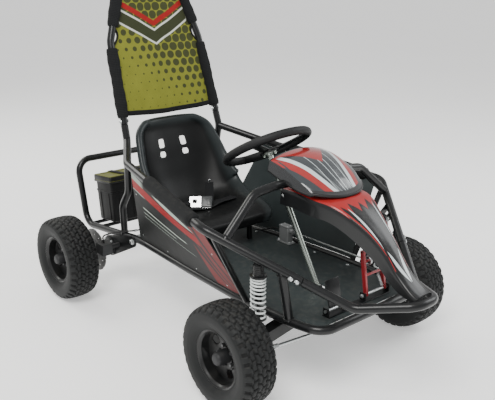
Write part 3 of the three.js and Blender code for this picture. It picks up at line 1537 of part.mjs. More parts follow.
// Pedals
const floorTop = crossTube.z + tube.braceRadius + clearance + floorPan.thick;
function brakePedalLadder() {
  const foot = (side) => vector(brakePedal.x + side * brakePedal.halfSpan, brakePedal.y, brakePedal.z);
  const head = (side) => foot(side).add(vector(0, brakePedal.lean, brakePedal.height));
  const uprights = [-1, 1].map((side) => bar(foot(side), head(side), brakePedal.bar, squareSideCount));
  const rungs = [...rungShares, 1].map((share) =>
    bar(between(foot(-1), head(-1), share), between(foot(1), head(1), share), brakePedal.rung, squareSideCount),
  );
  const reach = vector(pedalMount.shaftReach, 0, 0);
  const shaft = bar(foot(-1).sub(reach), foot(1).add(reach), brakePedal.pinRadius);
  return join(...uprights, ...rungs, shaft);
}
function throttlePedalPlate() {
  const foot = vector(throttlePedal.x, throttlePedal.y, throttlePedal.z);
  const top = foot.clone().add(vector(0, throttlePedal.lean, throttlePedal.height));
  const height = foot.distanceTo(top);
  const face = new THREE.BoxGeometry(throttlePedal.width, throttlePedal.thick, height);
  face.translate(0, 0, height / 2).rotateX(-Math.atan2(throttlePedal.lean, throttlePedal.height));
  face.translate(foot.x, foot.y, foot.z);
  const half = throttlePedal.width / 2 + pedalMount.shaftReach;
  const shaft = bar(foot.clone().add(vector(-half, 0, 0)), foot.clone().add(vector(half, 0, 0)), brakePedal.pinRadius);
  return join(face, shaft);
}

// Pedal stands on the floor, joined by a base plate under both pedals
function pedalStand() {
  const low = floorTop + clearance;
  const height = brakePedal.z + pedalMount.above - low;
  const spans = [
    { x: brakePedal.x, half: brakePedal.halfSpan + pedalMount.gap },
    { x: throttlePedal.x, half: throttlePedal.width / 2 + pedalMount.gap },
  ];
  const stands = spans.flatMap(({ x, half }) =>
    [-1, 1].map((side) =>
      block(pedalMount.thick, pedalMount.width, height, vector(x + side * half, brakePedal.y, low + height / 2)),
    ),
  );
  const first = spans[1].x - spans[1].half - pedalMount.thick / 2;
  const last = spans[0].x + spans[0].half + pedalMount.thick / 2;
  const baseCentre = vector((first + last) / 2, brakePedal.y, low + pedalMount.baseThick / 2);
  const base = block(last - first, pedalMount.baseWidth, pedalMount.baseThick, baseCentre);
  const bore = bar(
    vector(first - overrun, brakePedal.y, brakePedal.z),
    vector(last + overrun, brakePedal.y, brakePedal.z),
    holeRadius(brakePedal.pinRadius, tubeSideCount),
  );
  return cut(join(base, ...stands), bore);
}

function masterCylinder() {
  const low = floorTop + clearance;
  const foot = block(master.width, master.length, master.foot, vector(master.x, master.y, low + master.foot / 2));
  const bodyZ = low + master.bodyTop - master.bodyHeight / 2;
  const body = block(master.bodyWidth, 2 * master.bodyHalf, master.bodyHeight, vector(master.x, master.y, bodyZ));
  const along = rodLine().direction;
  const inside = rodLine().rear.clone().addScaledVector(along, -master.nozzle);
  const mouth = rodLine().rear.clone().addScaledVector(along, master.nozzle);
  const nozzle = bar(inside, mouth, master.nozzleRadius);
  const bore = bar(inside, mouth.clone().addScaledVector(along, overrun), holeRadius(brakeRod.radius, tubeSideCount));
  return cut(join(foot, body, nozzle), bore);
}

// Brake rod: from the cylinder's nozzle to an eye round the pedal's upper rung, with room for the pedal's arc
function rodLine() {
  const rear = vector(master.x, master.y - master.bodyHalf, floorTop + master.nozzleZ);
  const share = rungShares[1];
  const front = vector(
    brakePedal.x - brakePedal.halfSpan + brakeRod.inset,
    brakePedal.y + brakePedal.lean * share,
    brakePedal.z + brakePedal.height * share,
  );
  return { rear, front, direction: front.clone().sub(rear).normalize() };
}
function brakeRodBar() {
  const { rear, front, direction } = rodLine();
  const eyeHalf = vector(brakeRod.eyeThick / 2, 0, 0);
  const from = rear.clone().addScaledVector(direction, -master.nozzle + 2 * overrun);
  const eye = bar(front.clone().sub(eyeHalf), front.clone().add(eyeHalf), brakeRod.eyeRadius, roundSideCount);
  const hole = bar(
    front.clone().addScaledVector(eyeHalf, -2),
    front.clone().addScaledVector(eyeHalf, 2),
    brakeRod.eyeBore,
    roundSideCount,
  );
  return cut(join(bar(from, front, brakeRod.radius, braceSideCount), eye), hole);
}

// Brake line: one hose held along the floor and the rack, from the cylinder to the caliper
function brakeLine() {
  const caliperTop = axle.z + caliper.rise + caliper.height / 2 + clearance;
  const route = [
    vector(master.x, master.y + master.bodyHalf + 2 * clearance, hose.startZ),
    ...hoseRoute.map((place) => onSide(1, place)),
    vector(-disc.x, caliperY, hose.endZ),
    vector(-disc.x, caliperY, caliperTop),
  ];
  const path = new THREE.CatmullRomCurve3(route, false, "centripetal");
  return new THREE.ExtrudeGeometry(new THREE.Shape(roundOutline(hose.radius, braceSideCount)), {
    steps: hose.stepCount,
    extrudePath: path,
    bevelEnabled: false,
  });
}

// The kart's scene graph
const kart = new THREE.Group();
const frontMost = noseTip.y - tube.radius;
const backMost = rack.backY + tube.radius;
const body = new THREE.Group();
body.position.set(0, -(frontMost + backMost) / 2, 0);
kart.add(body);

function addFrame() {
  body.add(piece("lower_frame", lowerFrame(), paintBlack()));
  sides.forEach(({ side, word }) => {
    body.add(piece("side_frame_" + word, sideFrame(side), paintBlack()));
    body.add(piece("side_panel_" + word, sidePanelSheet(side), mouldedRed()));
    body.add(piece("arm_pad_" + word, armPadFoam(side), foamBlack()));
    body.add(piece("bearing_housing_" + word, bearingHousing(side), darkSteel()));
  });
  body.add(piece("front_bumper_loop", bumperLoop(), paintBlack()));
  body.add(piece("roll_bar", rollBarHoop(), paintBlack()));
  body.add(piece("knee_hoop", kneeHoopTube(), paintBlack()));
  body.add(piece("rear_rack", rearRack(), paintBlack()));
  body.add(piece("floor_pan", floorSheet(), paintBlack()));
  body.add(piece("flag_cloth", flagCloth(), clothYellow()));
}

function addSeatAndCovers() {
  body.add(piece("seat_shell", seatShell(), plasticBlack()));
  sides.forEach(({ side, word }) => body.add(piece("lap_belt_" + word, lapBelt(side), webbing())));
  body.add(piece("nose_hood", hoodShell(), mouldedRed()));
  body.add(piece("nose_cone", noseCone(), plasticBlack()));
  body.add(piece("column_bushing", columnBushing(), paintBlack()));
}

function addSteering() {
  const group = new THREE.Group();
  group.position.set(0, column.hubY, column.hubZ);
  group.rotation.x = columnTilt;
  group.add(piece("steering_grip", gripRing(steering.gripRadius), rubberBlack()));
  group.add(piece("steering_spokes", steeringSpokes(), paintBlack()));
  group.add(piece("steering_column", steeringColumn(), zincSteel()));
  body.add(group);
}

function addSuspension() {
  sides.forEach(({ side, word }) => {
    body.add(piece("swing_arm_" + word, swingArm(side), paintBlack()));
    body.add(piece("tie_rod_" + word, tieRodBar(side), zincSteel()));
    const king = new THREE.Group();
    king.position.set(side * kingpin.x, 0, axle.z);
    king.add(piece("knuckle_" + word, knuckle(side), darkSteel()));
    body.add(king);
    const damper = new THREE.Group();
    damper.position.set(side * shock.x, 0, shock.topZ);
    damper.add(piece("shock_body_" + word, shockBody(), paintBlack()));
    damper.add(piece("shock_rod_" + word, shockRod(), zincSteel()));
    damper.add(piece("coil_spring_" + word, coilSpring(), springWhite()));
    body.add(damper);
  });
}

function addWheels() {
  const corners = [
    { end: "front", y: 0, x: frontTrackHalf, bore: holeRadius(kingpin.stubRadius, rim.aroundCount) },
    { end: "rear", y: wheelbase, x: rearTrackHalf, bore: holeRadius(axle.radius, rim.aroundCount) },
  ];
  corners.forEach(({ end, y, x, bore }) => {
    sides.forEach(({ side, word }) => {
      const group = new THREE.Group();
      group.position.set(side * x, y, axle.z);
      if (side < 0) group.rotation.z = Math.PI;
      group.add(piece("tyre_" + end + "_" + word, tyreRing(), rubberBlack()));
      group.add(piece("rim_" + end + "_" + word, wheelRim(bore), paintBlack()));
      body.add(group);
    });
  });
}

function addDrive() {
  const axleGroup = new THREE.Group();
  axleGroup.position.set(0, wheelbase, axle.z);
  axleGroup.add(piece("rear_axle", rearAxle(), darkSteel()));
  const bigWheel = toothedWheel(
    sprocket.radius,
    sprocket.toothCount,
    sprocket.toothHeight,
    sprocket.thick,
    holeRadius(axle.radius),
    sprocket.hubRadius,
    -sprocket.hubLength,
  );
  const bigPiece = piece("axle_sprocket", bigWheel, darkSteel());
  bigPiece.position.x = sprocket.x;
  axleGroup.add(bigPiece);
  const discPiece = piece("brake_disc", brakeDisc(), zincSteel());
  discPiece.position.x = -disc.x;
  axleGroup.add(discPiece);
  body.add(axleGroup);
  body.add(piece("motor", motorBody(), darkSteel()));
  const smallWheel = toothedWheel(
    pinion.radius,
    pinion.toothCount,
    pinion.toothHeight,
    sprocket.thick,
    holeRadius(motor.shaftRadius),
    pinion.hubRadius,
    -sprocket.hubLength / 2,
  );
  const smallPiece = piece("motor_sprocket", smallWheel, darkSteel());
  smallPiece.position.set(sprocket.x, motor.y, motorZ);
  body.add(smallPiece);
  body.add(piece("drive_chain", chainBand(), darkSteel()));
  body.add(piece("brake_caliper", brakeCaliper(), darkSteel()));
}

function addBattery() {
  const group = new THREE.Group();
  const seatHeight = battery.barRadius + clearance;
  const lift = seatHeight / Math.cos(rackTilt);
  group.position.set(0, battery.frontY, rackZ(battery.frontY) + lift);
  group.rotation.x = rackTilt;
  group.add(piece("battery_box", batteryTub(), plasticBlack()));
  group.add(piece("battery_lid", batteryLid(), plasticBlack()));
  body.add(group);
}

function addPedals() {
  body.add(piece("pedal_stand", pedalStand(), paintBlack()));
  body.add(piece("brake_pedal", brakePedalLadder(), paintRed()));
  body.add(piece("throttle_pedal", throttlePedalPlate(), paintBlack()));
  body.add(piece("master_cylinder", masterCylinder(), zincSteel()));
  body.add(piece("brake_rod", brakeRodBar(), zincSteel()));
  body.add(piece("brake_line", brakeLine(), rubberBlack()));
}

addFrame();
addSeatAndCovers();
addSteering();
addSuspension();
addWheels();
addDrive();
addBattery();
addPedals();

export default kart;
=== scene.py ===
"""An off road go kart for a child in its real finishes, built round its packed model.

Lengths are millimetres from the middle of the front wheel line on the ground: x runs across to the
driver's left, y back and z up. They become metres in the model's own frame when a mesh is made.
"""

import logging
import math
from dataclasses import dataclass
from enum import Enum
from typing import Callable, Sequence

import bmesh
import bpy
import numpy as np
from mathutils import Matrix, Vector


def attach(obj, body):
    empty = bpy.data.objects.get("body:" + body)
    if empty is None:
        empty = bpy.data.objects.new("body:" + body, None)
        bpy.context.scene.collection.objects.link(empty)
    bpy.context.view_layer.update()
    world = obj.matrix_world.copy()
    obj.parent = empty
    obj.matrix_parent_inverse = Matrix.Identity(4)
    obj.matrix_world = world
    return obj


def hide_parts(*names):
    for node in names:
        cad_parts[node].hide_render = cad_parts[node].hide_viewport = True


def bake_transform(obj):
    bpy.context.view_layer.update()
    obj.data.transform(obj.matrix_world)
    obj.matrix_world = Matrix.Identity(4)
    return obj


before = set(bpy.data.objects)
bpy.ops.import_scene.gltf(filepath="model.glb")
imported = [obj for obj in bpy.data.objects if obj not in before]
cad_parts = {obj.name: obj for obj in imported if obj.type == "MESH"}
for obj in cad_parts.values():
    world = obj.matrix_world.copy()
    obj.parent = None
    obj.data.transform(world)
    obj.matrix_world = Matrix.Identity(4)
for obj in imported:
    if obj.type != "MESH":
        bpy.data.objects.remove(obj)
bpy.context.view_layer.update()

METRE = 0.001
FRONT_LINE = 446.0
OVERLAP = 1.002
BEND_STEP = 6.0
LOG = logging.getLogger("kart")

Array = np.ndarray
Place = Sequence[float]
Point = tuple[float, float, float]
Colour = tuple[float, float, float]
Surface = Callable[[Array, Array], Array]


class Side(Enum):
    """The two sides of the kart, each with the sign of its x."""

    LEFT = 1
    RIGHT = -1

    @property
    def word(self) -> str:
        """The side's word in the names of nodes and bodies."""
        return self.name.lower()


class Slot(Enum):
    """The record's material slots."""

    FRAME = "black_paint"
    RUBBER = "black_rubber"
    TYRE = "tyre_rubber"
    PLASTIC = "black_plastic"
    FOAM = "black_foam"
    PANEL = "printed_panel"
    ZINC = "zinc_steel"
    SPRING = "white_spring"
    RED = "red_paint"
    CLOTH = "printed_cloth"
    DARK = "dark_steel"
    GREY = "grey_metal"
    WEBBING = "black_webbing"


# Shader arithmetic


def operation(name: str, note: str) -> Callable[..., "Wire"]:
    """Makes a method that adds one Math node on its own value and up to two more.

    Args:
        name: the Math node's operation.
        note: the method's docstring.

    Returns:
        The method.
    """

    def method(self: "Wire", *others: "Wire | float") -> "Wire":
        """Stands in until the note takes its place."""
        return self.paint.add("ShaderNodeMath", {"operation": name}, dict(enumerate([self, *others])))

    method.__doc__ = note
    return method


class Wire:
    """One value in a material; arithmetic on it adds Math nodes."""

    __add__ = __radd__ = operation("ADD", "Sum.")
    __sub__ = operation("SUBTRACT", "Difference.")
    __mul__ = __rmul__ = operation("MULTIPLY", "Product.")
    __truediv__ = operation("DIVIDE", "Quotient.")
    __pow__ = operation("POWER", "Power.")
    size = operation("ABSOLUTE", "The value without its sign.")
    part = operation("FRACT", "The value's fraction, from 0 to 1.")
    floor = operation("FLOOR", "The whole number below the value.")
    wave = operation("SINE", "The value's sine.")
    most = operation("MAXIMUM", "The larger of two values.")
    least = operation("MINIMUM", "The smaller of two values.")

    def __init__(self, paint: "Paint", socket: bpy.types.NodeSocket) -> None:
        """Keeps the socket and the material that it belongs to."""
        self.paint = paint
        self.socket = socket

    def __rsub__(self, other: float) -> "Wire":
        """Difference from a number."""
        return (self * -1.0) + other

    def rise(self, start: float, end: float) -> "Wire":
        """0 before start, 1 after end and smooth between.

        Args:
            start: where it leaves 0.
            end: where it reaches 1.

        Returns:
            A value from 0 to 1.
        """
        sockets = {"Value": self, "From Min": start, "From Max": end}
        return self.paint.add("ShaderNodeMapRange", {"interpolation_type": "SMOOTHSTEP"}, sockets)

    def under(self, limit: "Wire | float", soft: float) -> "Wire":
        """1 where the value is under the limit, with a soft edge.

        Args:
            limit: the edge.
            soft: the width of the edge.

        Returns:
            A mask from 0 to 1.
        """
        return 1.0 - (self - limit).rise(-soft / 2, soft / 2)

    def within(self, low: float, high: float, soft: float) -> "Wire":
        """1 between two limits, with soft edges.

        Args:
            low: the lower limit.
            high: the upper limit.
            soft: the width of each edge.

        Returns:
            A mask from 0 to 1.
        """
        return (self - (low + high) / 2).size().under((high - low) / 2, soft)


class Paint:
    """One node material in the making."""

    def __init__(self, name: str) -> None:
        """Starts an empty node tree.

        Args:
            name: the material's name.
        """
        self.material = bpy.data.materials.new(name)
        self.material.use_nodes = True
        self.tree = self.material.node_tree
        self.tree.nodes.clear()

    def add(self, kind: str, settings: dict | None = None, sockets: dict | None = None, output: int | str = 0) -> Wire:
        """Adds any node.

        Args:
            kind: the node's type.
            settings: its own settings, set first; "stops" lists a ramp's places and colours.
            sockets: values or wires by socket name or number.
            output: which result to return.

        Returns:
            The chosen result.
        """
        node = self.tree.nodes.new(kind)
        for key, value in (settings or {}).items():
            if key == "stops":
                while len(node.color_ramp.elements) < len(value):
                    node.color_ramp.elements.new(1.0)
                for element, (place, colour) in zip(node.color_ramp.elements, value):
                    element.position = place
                    element.color = (*colour, 1.0)
            else:
                setattr(node, key, value)
        for key, value in (sockets or {}).items():
            if isinstance(value, Wire):
                self.tree.links.new(value.socket, node.inputs[key])
            else:
                node.inputs[key].default_value = value
        return Wire(self, node.outputs[output])

    def place(self) -> Wire:
        """The point on the piece, in metres."""
        return self.add("ShaderNodeTexCoord", output="Object")

    def axes(self, vector: Wire) -> tuple[Wire, Wire, Wire]:
        """A vector's three numbers.

        Args:
            vector: the wire of the vector.

        Returns:
            The three wires.
        """
        parts = self.add("ShaderNodeSeparateXYZ", sockets={"Vector": vector})
        outputs = parts.socket.node.outputs
        return Wire(self, outputs[0]), Wire(self, outputs[1]), Wire(self, outputs[2])

    def map(self) -> tuple[Wire, Wire]:
        """The piece's own surface coordinates."""
        across, along, _ = self.axes(self.add("ShaderNodeTexCoord", output="UV"))
        return across, along

    def attribute(self, name: str) -> Wire:
        """A number kept on the mesh."""
        return self.add("ShaderNodeAttribute", {"attribute_name": name}, output="Fac")

    def noise(self, place: Wire, scale: float, detail: float) -> Wire:
        """A cloudy value from 0 to 1.

        Args:
            place: where it is read.
            scale: patches per metre.
            detail: finer layers.

        Returns:
            The value.
        """
        return self.add("ShaderNodeTexNoise", sockets={"Vector": place, "Scale": scale, "Detail": detail})

    def mix(self, share: Wire | float, first: "Wire | Colour", second: "Wire | Colour") -> Wire:
        """A colour between two.

        Args:
            share: 0 gives the first and 1 the second.
            first: a colour.
            second: a colour.

        Returns:
            The mixed colour.
        """
        values = [value if isinstance(value, Wire) else (*value, 1.0) for value in (first, second)]
        return self.add("ShaderNodeMix", {"data_type": "RGBA"}, {0: share, 6: values[0], 7: values[1]}, output=2)

    def upward(self) -> Wire:
        """How much the surface looks up, from 0 to 1."""
        _, _, up = self.axes(self.add("ShaderNodeNewGeometry", output="Normal"))
        return up.rise(0.25, 1.0)

    def surface(self, sockets: dict, height: Wire | None, depth: float) -> bpy.types.Material:
        """Ends the material with its shader.

        Args:
            sockets: the shader's values and wires.
            height: the bump's height, or nothing.
            depth: how deep the bump is, in metres.

        Returns:
            The material.
        """
        if height is not None:
            bump = self.add("ShaderNodeBump", sockets={"Height": height, "Distance": depth, "Strength": 1.0})
            sockets = {**sockets, "Normal": bump}
        shader = self.add("ShaderNodeBsdfPrincipled", sockets=sockets)
        node = self.tree.nodes.new("ShaderNodeOutputMaterial")
        self.tree.links.new(shader.socket, node.inputs["Surface"])
        return self.material


# Finishes


def scaled(colour: Colour, factor: float) -> Colour:
    """A colour made lighter or darker."""
    return tuple(min(1.0, channel * factor) for channel in colour)


@dataclass(frozen=True)
class Finish:
    """A finish: its colour with patches, its gloss, its grain and the dust on it."""

    name: str
    colour: Colour
    roughness: float
    metallic: float = 0.0
    patches: float = 22.0
    patch_depth: float = 0.16
    gloss_spread: float = 0.14
    grain: float = 900.0
    grain_depth: float = 0.05
    dust: float = 0.12
    dust_colour: Colour = (0.16, 0.15, 0.13)
    coat: float = 0.0
    coat_roughness: float = 0.15
    shine: float = 0.5

    def pattern(self, paint: Paint, patch: Wire, grain: Wire) -> tuple[Wire, Wire, Wire]:
        """The colour, the roughness and the height over the surface.

        Args:
            paint: the material.
            patch: slow noise.
            grain: fine noise.

        Returns:
            Colour, roughness and height.
        """
        colour = paint.mix(patch, scaled(self.colour, 1 - self.patch_depth), scaled(self.colour, 1 + self.patch_depth))
        return colour, self.roughness + (patch - 0.5) * self.gloss_spread + (grain - 0.5) * 0.06, grain

    def build(self) -> bpy.types.Material:
        """The material, made once.

        Returns:
            The material.
        """
        known = bpy.data.materials.get(self.name)
        if known is not None:
            return known
        paint = Paint(self.name)
        place = paint.place()
        patch = paint.noise(place, self.patches, 4.0)
        grain = paint.noise(place, self.grain, 2.0)
        colour, roughness, height = self.pattern(paint, patch, grain)
        settled = paint.upward() * paint.noise(place, 60.0, 5.0).rise(0.42, 0.7) * self.dust
        sockets = {
            "Base Color": paint.mix(settled, colour, self.dust_colour),
            "Roughness": (roughness + settled * 0.5).most(0.03).least(1.0),
            "Metallic": self.metallic,
            "Specular IOR Level": self.shine,
            "Coat Weight": self.coat,
            "Coat Roughness": self.coat_roughness,
        }
        return paint.surface(sockets, height, self.grain_depth * METRE)


@dataclass(frozen=True)
class TyreRubber(Finish):
    """Tyre rubber: darker in the grooves, dusty on the lugs and sides."""

    def pattern(self, paint: Paint, patch: Wire, grain: Wire) -> tuple[Wire, Wire, Wire]:
        """Shades the rubber by the lug height kept on the mesh.

        Args:
            paint: the material.
            patch: slow noise.
            grain: fine noise.

        Returns:
            Colour, roughness and height.
        """
        raised = paint.attribute("mark")
        base = paint.mix(patch, scaled(self.colour, 0.75), scaled(self.colour, 1.35))
        # painted shade: where the lugs are low the colour falls to about a third of the rubber's
        colour = paint.mix(raised.rise(0.1, 0.9), scaled(self.colour, 0.35), base)
        return colour, self.roughness + (patch - 0.5) * self.gloss_spread, grain


@dataclass(frozen=True)
class RimmedPlastic(Finish):
    """Moulded plastic whose rolled rim is rubbed paler and smoother than its pan."""

    def pattern(self, paint: Paint, patch: Wire, grain: Wire) -> tuple[Wire, Wire, Wire]:
        """Shades the plastic by the share of the roll kept on the mesh.

        Args:
            paint: the material.
            patch: slow noise.
            grain: fine noise.

        Returns:
            Colour, roughness and height.
        """
        rim = paint.attribute("mark").rise(0.1, 0.9)
        colour = paint.mix(patch, scaled(self.colour, 0.8), scaled(self.colour, 1.25))
        colour = paint.mix(rim, colour, (0.021, 0.026, 0.027))
        return colour, self.roughness - rim * 0.1 + (patch - 0.5) * 0.1 + (grain - 0.5) * 0.06, grain


@dataclass(frozen=True)
class PaintedTopLight(Finish):
    """Moulded plastic whose upper face is tinted and whose sides are black."""

    # the colour of the painted light on the top
    light_tint: Colour = (0.13, 0.135, 0.012)

    def pattern(self, paint: Paint, patch: Wire, grain: Wire) -> tuple[Wire, Wire, Wire]:
        """Mixes the tint in where the surface looks up.

        Args:
            paint: the material.
            patch: slow noise.
            grain: fine noise.

        Returns:
            Colour, roughness and height.
        """
        colour = paint.mix(patch, scaled(self.colour, 0.8), scaled(self.colour, 1.25))
        light_tint = paint.mix(patch, scaled(self.light_tint, 0.7), scaled(self.light_tint, 1.2))
        # painted highlight: faces that look up take the pale yellowish colour of the light on the lid's top
        colour = paint.mix(paint.upward(), colour, light_tint)
        return colour, self.roughness + (patch - 0.5) * 0.2 + (grain - 0.5) * 0.06, grain


@dataclass(frozen=True)
class Webbing(Finish):
    """Woven webbing with ribs across it."""

    ribs: float = 330.0

    def pattern(self, paint: Paint, patch: Wire, grain: Wire) -> tuple[Wire, Wire, Wire]:
        """Ribs and threads from the strap's own coordinates.

        Args:
            paint: the material.
            patch: slow noise.
            grain: fine noise.

        Returns:
            Colour, roughness and height.
        """
        across, along = paint.map()
        rib = (along * self.ribs * 2 * math.pi).wave() * 0.5 + 0.5
        thread = (across * 26 * 2 * math.pi).wave() * 0.5 + 0.5
        height = rib * 0.6 + thread * 0.4
        colour = paint.mix(height, scaled(self.colour, 0.6), scaled(self.colour, 1.5))
        return colour, self.roughness + (grain - 0.5) * 0.1, height


@dataclass(frozen=True)
class MeshCloth(Finish):
    """Printed mesh cloth: staggered dots that grow to one side, plain bands and a fine weave."""

    dot: Colour = (0.035, 0.04, 0.02)
    pale: Colour = (0.62, 0.64, 0.58)
    accent: Colour = (0.30, 0.012, 0.014)
    dot_pitch: float = 0.036
    weave_pitch: float = 0.0036

    def pattern(self, paint: Paint, patch: Wire, grain: Wire) -> tuple[Wire, Wire, Wire]:
        """The cloth's map is in metres: across from its middle and up from its hem.

        Args:
            paint: the material.
            patch: slow noise.
            grain: fine noise.

        Returns:
            Colour, roughness and height.
        """
        across, up = paint.map()
        row = up / (self.dot_pitch * 0.86)
        shift = (row.floor() * 0.5).part()
        column = across / self.dot_pitch + shift
        near = (((column.part() - 0.5) ** 2.0) + ((row.part() - 0.5) * 0.86) ** 2.0) ** 0.5
        wander = (across * 9.0 + up * 5.0).wave() * 0.05
        growth = (up * 1.05 + across * 0.55 + wander - 0.03).rise(0.0, 0.34)
        dots = near.under(growth * 0.40 + 0.06, 0.06)
        ground = paint.mix(patch, scaled(self.colour, 0.82), scaled(self.colour, 1.16))
        colour = paint.mix(dots * 0.93, ground, self.dot)
        slope = up - across.size() * 0.55
        zone = across.size().under(0.155, 0.004)
        for low, high, shade in ((0.242, 0.302, self.pale), (0.250, 0.294, self.dot), (0.312, 0.334, self.accent)):
            colour = paint.mix(slope.within(low, high, 0.004) * zone, colour, shade)
        threads = (across * (math.pi / self.weave_pitch)).wave().size()
        threads = threads * (up * (math.pi / self.weave_pitch)).wave().size()
        holes = threads.rise(0.35, 0.8)
        colour = paint.mix(holes * 0.42, colour, scaled(self.colour, 0.12))
        return colour, self.roughness + (grain - 0.5) * 0.08, 1.0 - holes


@dataclass(frozen=True)
class PrintedHood(Finish):
    """Gloss hood in red, with a dark field between two pale bands, fine lines and a black rim."""

    dark: Colour = (0.03, 0.036, 0.04)
    pale: Colour = (0.56, 0.62, 0.63)
    rim: Colour = (0.016, 0.017, 0.018)

    def pattern(self, paint: Paint, patch: Wire, grain: Wire) -> tuple[Wire, Wire, Wire]:
        """Bands from the share across and the share from the back to the front.

        Args:
            paint: the material.
            patch: slow noise.
            grain: fine noise.

        Returns:
            Colour, roughness and height.
        """
        across, along = paint.map()
        off = (across * 2.0 - 1.0).size()
        slant = off + along * 0.52
        colour = paint.mix(patch, scaled(self.colour, 0.88), scaled(self.colour, 1.12))
        outside = slant.rise(1.10, 1.13)
        colour = paint.mix(outside, colour, self.dark)
        colour = paint.mix(slant.under(0.78, 0.012), colour, self.dark)
        inner = (slant - 0.66).size().under(along * 0.035, 0.012) * along.rise(0.5, 0.6)
        colour = paint.mix(inner * 0.6, colour, scaled(self.pale, 0.35))
        for line in (0.12, 0.34):
            stripe = (off - line + along * 0.08).size().under(0.008, 0.008) * along.within(0.2, 0.93, 0.03)
            colour = paint.mix(stripe * 0.85, colour, scaled(self.pale, 1.2))
        rear = (off + along * 1.75).under(0.84, 0.02)
        colour = paint.mix(rear, colour, self.colour)
        blade = slant.within(0.765, 0.90, 0.012) * along.rise(0.04, 0.14)
        colour = paint.mix(blade, colour, self.pale)
        dark = (off - along * 0.05).within(0.865, 0.9, 0.008) * along.rise(0.1, 0.2)
        colour = paint.mix(dark, colour, self.dark)
        edge = (off.rise(0.935, 0.945)).most((along + off * 0.02).rise(0.925, 0.935)).most(1.0 - along.rise(0.02, 0.03))
        colour = paint.mix(edge, colour, self.rim)
        return colour, self.roughness + (patch - 0.5) * 0.06, grain


@dataclass(frozen=True)
class PrintedNose(Finish):
    """Nose cone: black with a red and pale pattern on its top and a red line along each edge."""

    accent: Colour = (0.33, 0.016, 0.016)
    pale: Colour = (0.56, 0.62, 0.63)

    def pattern(self, paint: Paint, patch: Wire, grain: Wire) -> tuple[Wire, Wire, Wire]:
        """Blades from the share across the top and the share from the back to the tip.

        Args:
            paint: the material.
            patch: slow noise.
            grain: fine noise.

        Returns:
            Colour, roughness and height.
        """
        across, along = paint.map()
        off = (across * 2.0 - 1.0).size() * 1.5
        top = off.under(1.0, 0.01)
        colour = paint.mix(patch, scaled(self.colour, 0.85), scaled(self.colour, 1.2))
        jag = ((off * 2.4 + 0.1).part() - 0.5).size() * 0.16
        colour = paint.mix((along + jag).under(0.53, 0.008) * top, colour, self.accent)
        blades = ((0.48, 0.74, 0.60, 0.30, 0.12), (0.75, 0.91, 0.55, 0.60, -0.5))
        for start, end, centre, spread, lean in blades:
            share = (along - start) / (end - start)
            width = share * (1.0 - share) * spread
            blade = (off - (centre + share * lean)).size().under(width, 0.02) * along.within(start, end, 0.01)
            colour = paint.mix(blade * top, colour, self.pale)
        line = (off - 0.90 + (along - 0.55).most(0.0) * 0.35).size().under(0.03, 0.015) * along.within(0.38, 0.76, 0.02)
        colour = paint.mix(line, colour, self.accent)
        foot = (off - 0.72 - (along - 0.76) * 1.6).size().under(0.04, 0.015) * along.within(0.77, 0.83, 0.01)
        colour = paint.mix(foot * top, colour, self.accent)
        return colour, self.roughness + (patch - 0.5) * 0.08, grain


@dataclass(frozen=True)
class PrintedPanel(Finish):
    """Side panel: black with a red band along its top, a pale blade and a red front."""

    accent: Colour = (0.26, 0.006, 0.008)
    wedge: Colour = (0.155, 0.010, 0.010)
    pale: Colour = (0.42, 0.50, 0.44)

    def pattern(self, paint: Paint, patch: Wire, grain: Wire) -> tuple[Wire, Wire, Wire]:
        """Bands from the share from back to front and the share from the top down.

        Args:
            paint: the material.
            patch: slow noise.
            grain: fine noise.

        Returns:
            Colour, roughness and height.
        """
        along, down = paint.map()
        colour = paint.mix(patch, scaled(self.colour, 0.8), scaled(self.colour, 1.25))
        level = down - along * 0.22
        rear = level.within(0.02, 0.24, 0.02) * along.under(0.16, 0.06)
        colour = paint.mix(rear * 0.85, colour, scaled(self.pale, 0.8))
        for low, high, end in ((0.40, 0.415, 0.62), (0.47, 0.478, 0.5), (0.53, 0.534, 0.68)):
            colour = paint.mix(level.within(low, high, 0.006) * along.within(0.12, end, 0.03), colour, self.pale)
        front = (along - down * 0.16).rise(0.645, 0.655)
        colour = paint.mix(front, colour, self.wedge)
        for start, slope, wide in ((0.72, 0.34, 0.034), (0.80, 0.30, 0.024), (0.90, 0.26, 0.018)):
            splinter = (along - down * slope - (start - 0.12)).size().under((1.0 - down) * wide * 1.6, 0.008)
            colour = paint.mix(splinter * down.within(0.1, 0.9, 0.03), colour, self.colour)
        band = level.within(0.10, 0.225, 0.01) * along.under(0.82, 0.02)
        colour = paint.mix(band, colour, self.accent)
        share = (along - 0.30) / 0.50
        blade = (level - 0.055).size().under(share * (1.0 - share) * 0.14, 0.01) * along.within(0.30, 0.80, 0.01)
        colour = paint.mix(blade, colour, self.pale)
        border = down.rise(0.955, 0.965)
        colour = paint.mix(border, colour, scaled(self.colour, 0.7))
        return colour, self.roughness + (patch - 0.5) * 0.1, grain


BLACK_COAT = Finish("black_powder_coat", (0.0055, 0.006, 0.0065), 0.32, coat=0.12, dust=0.03, grain=700, shine=0.3)
SHEET_COAT = Finish("floor_sheet_coat", (0.019, 0.0265, 0.027), 0.5, grain=1400, grain_depth=0.03, dust=0.14, shine=0.4)
SEAT_PLASTIC = RimmedPlastic("seat_plastic", (0.0048, 0.0052, 0.0054), 0.42, grain=1500, dust=0.03, shine=0.2)
BOX_PLASTIC = Finish("box_plastic", (0.0062, 0.0064, 0.0066), 0.5, grain=1100, grain_depth=0.08, dust=0.05, shine=0.2)
# the lid: black plastic with painted light on its upward faces
LID_PLASTIC = PaintedTopLight(
    "lid_plastic", (0.0062, 0.0064, 0.0066), 0.42, grain=1100, grain_depth=0.08, dust=0.08, shine=0.35
)
FOAM = Finish(
    "closed_foam", (0.0085, 0.009, 0.0095), 0.82, grain=520, grain_depth=0.25, gloss_spread=0.1, dust=0.05, shine=0.2
)
GRIP_FOAM = Finish("wheel_foam", (0.0085, 0.009, 0.0095), 0.6, grain=620, grain_depth=0.12, dust=0.04, shine=0.3)
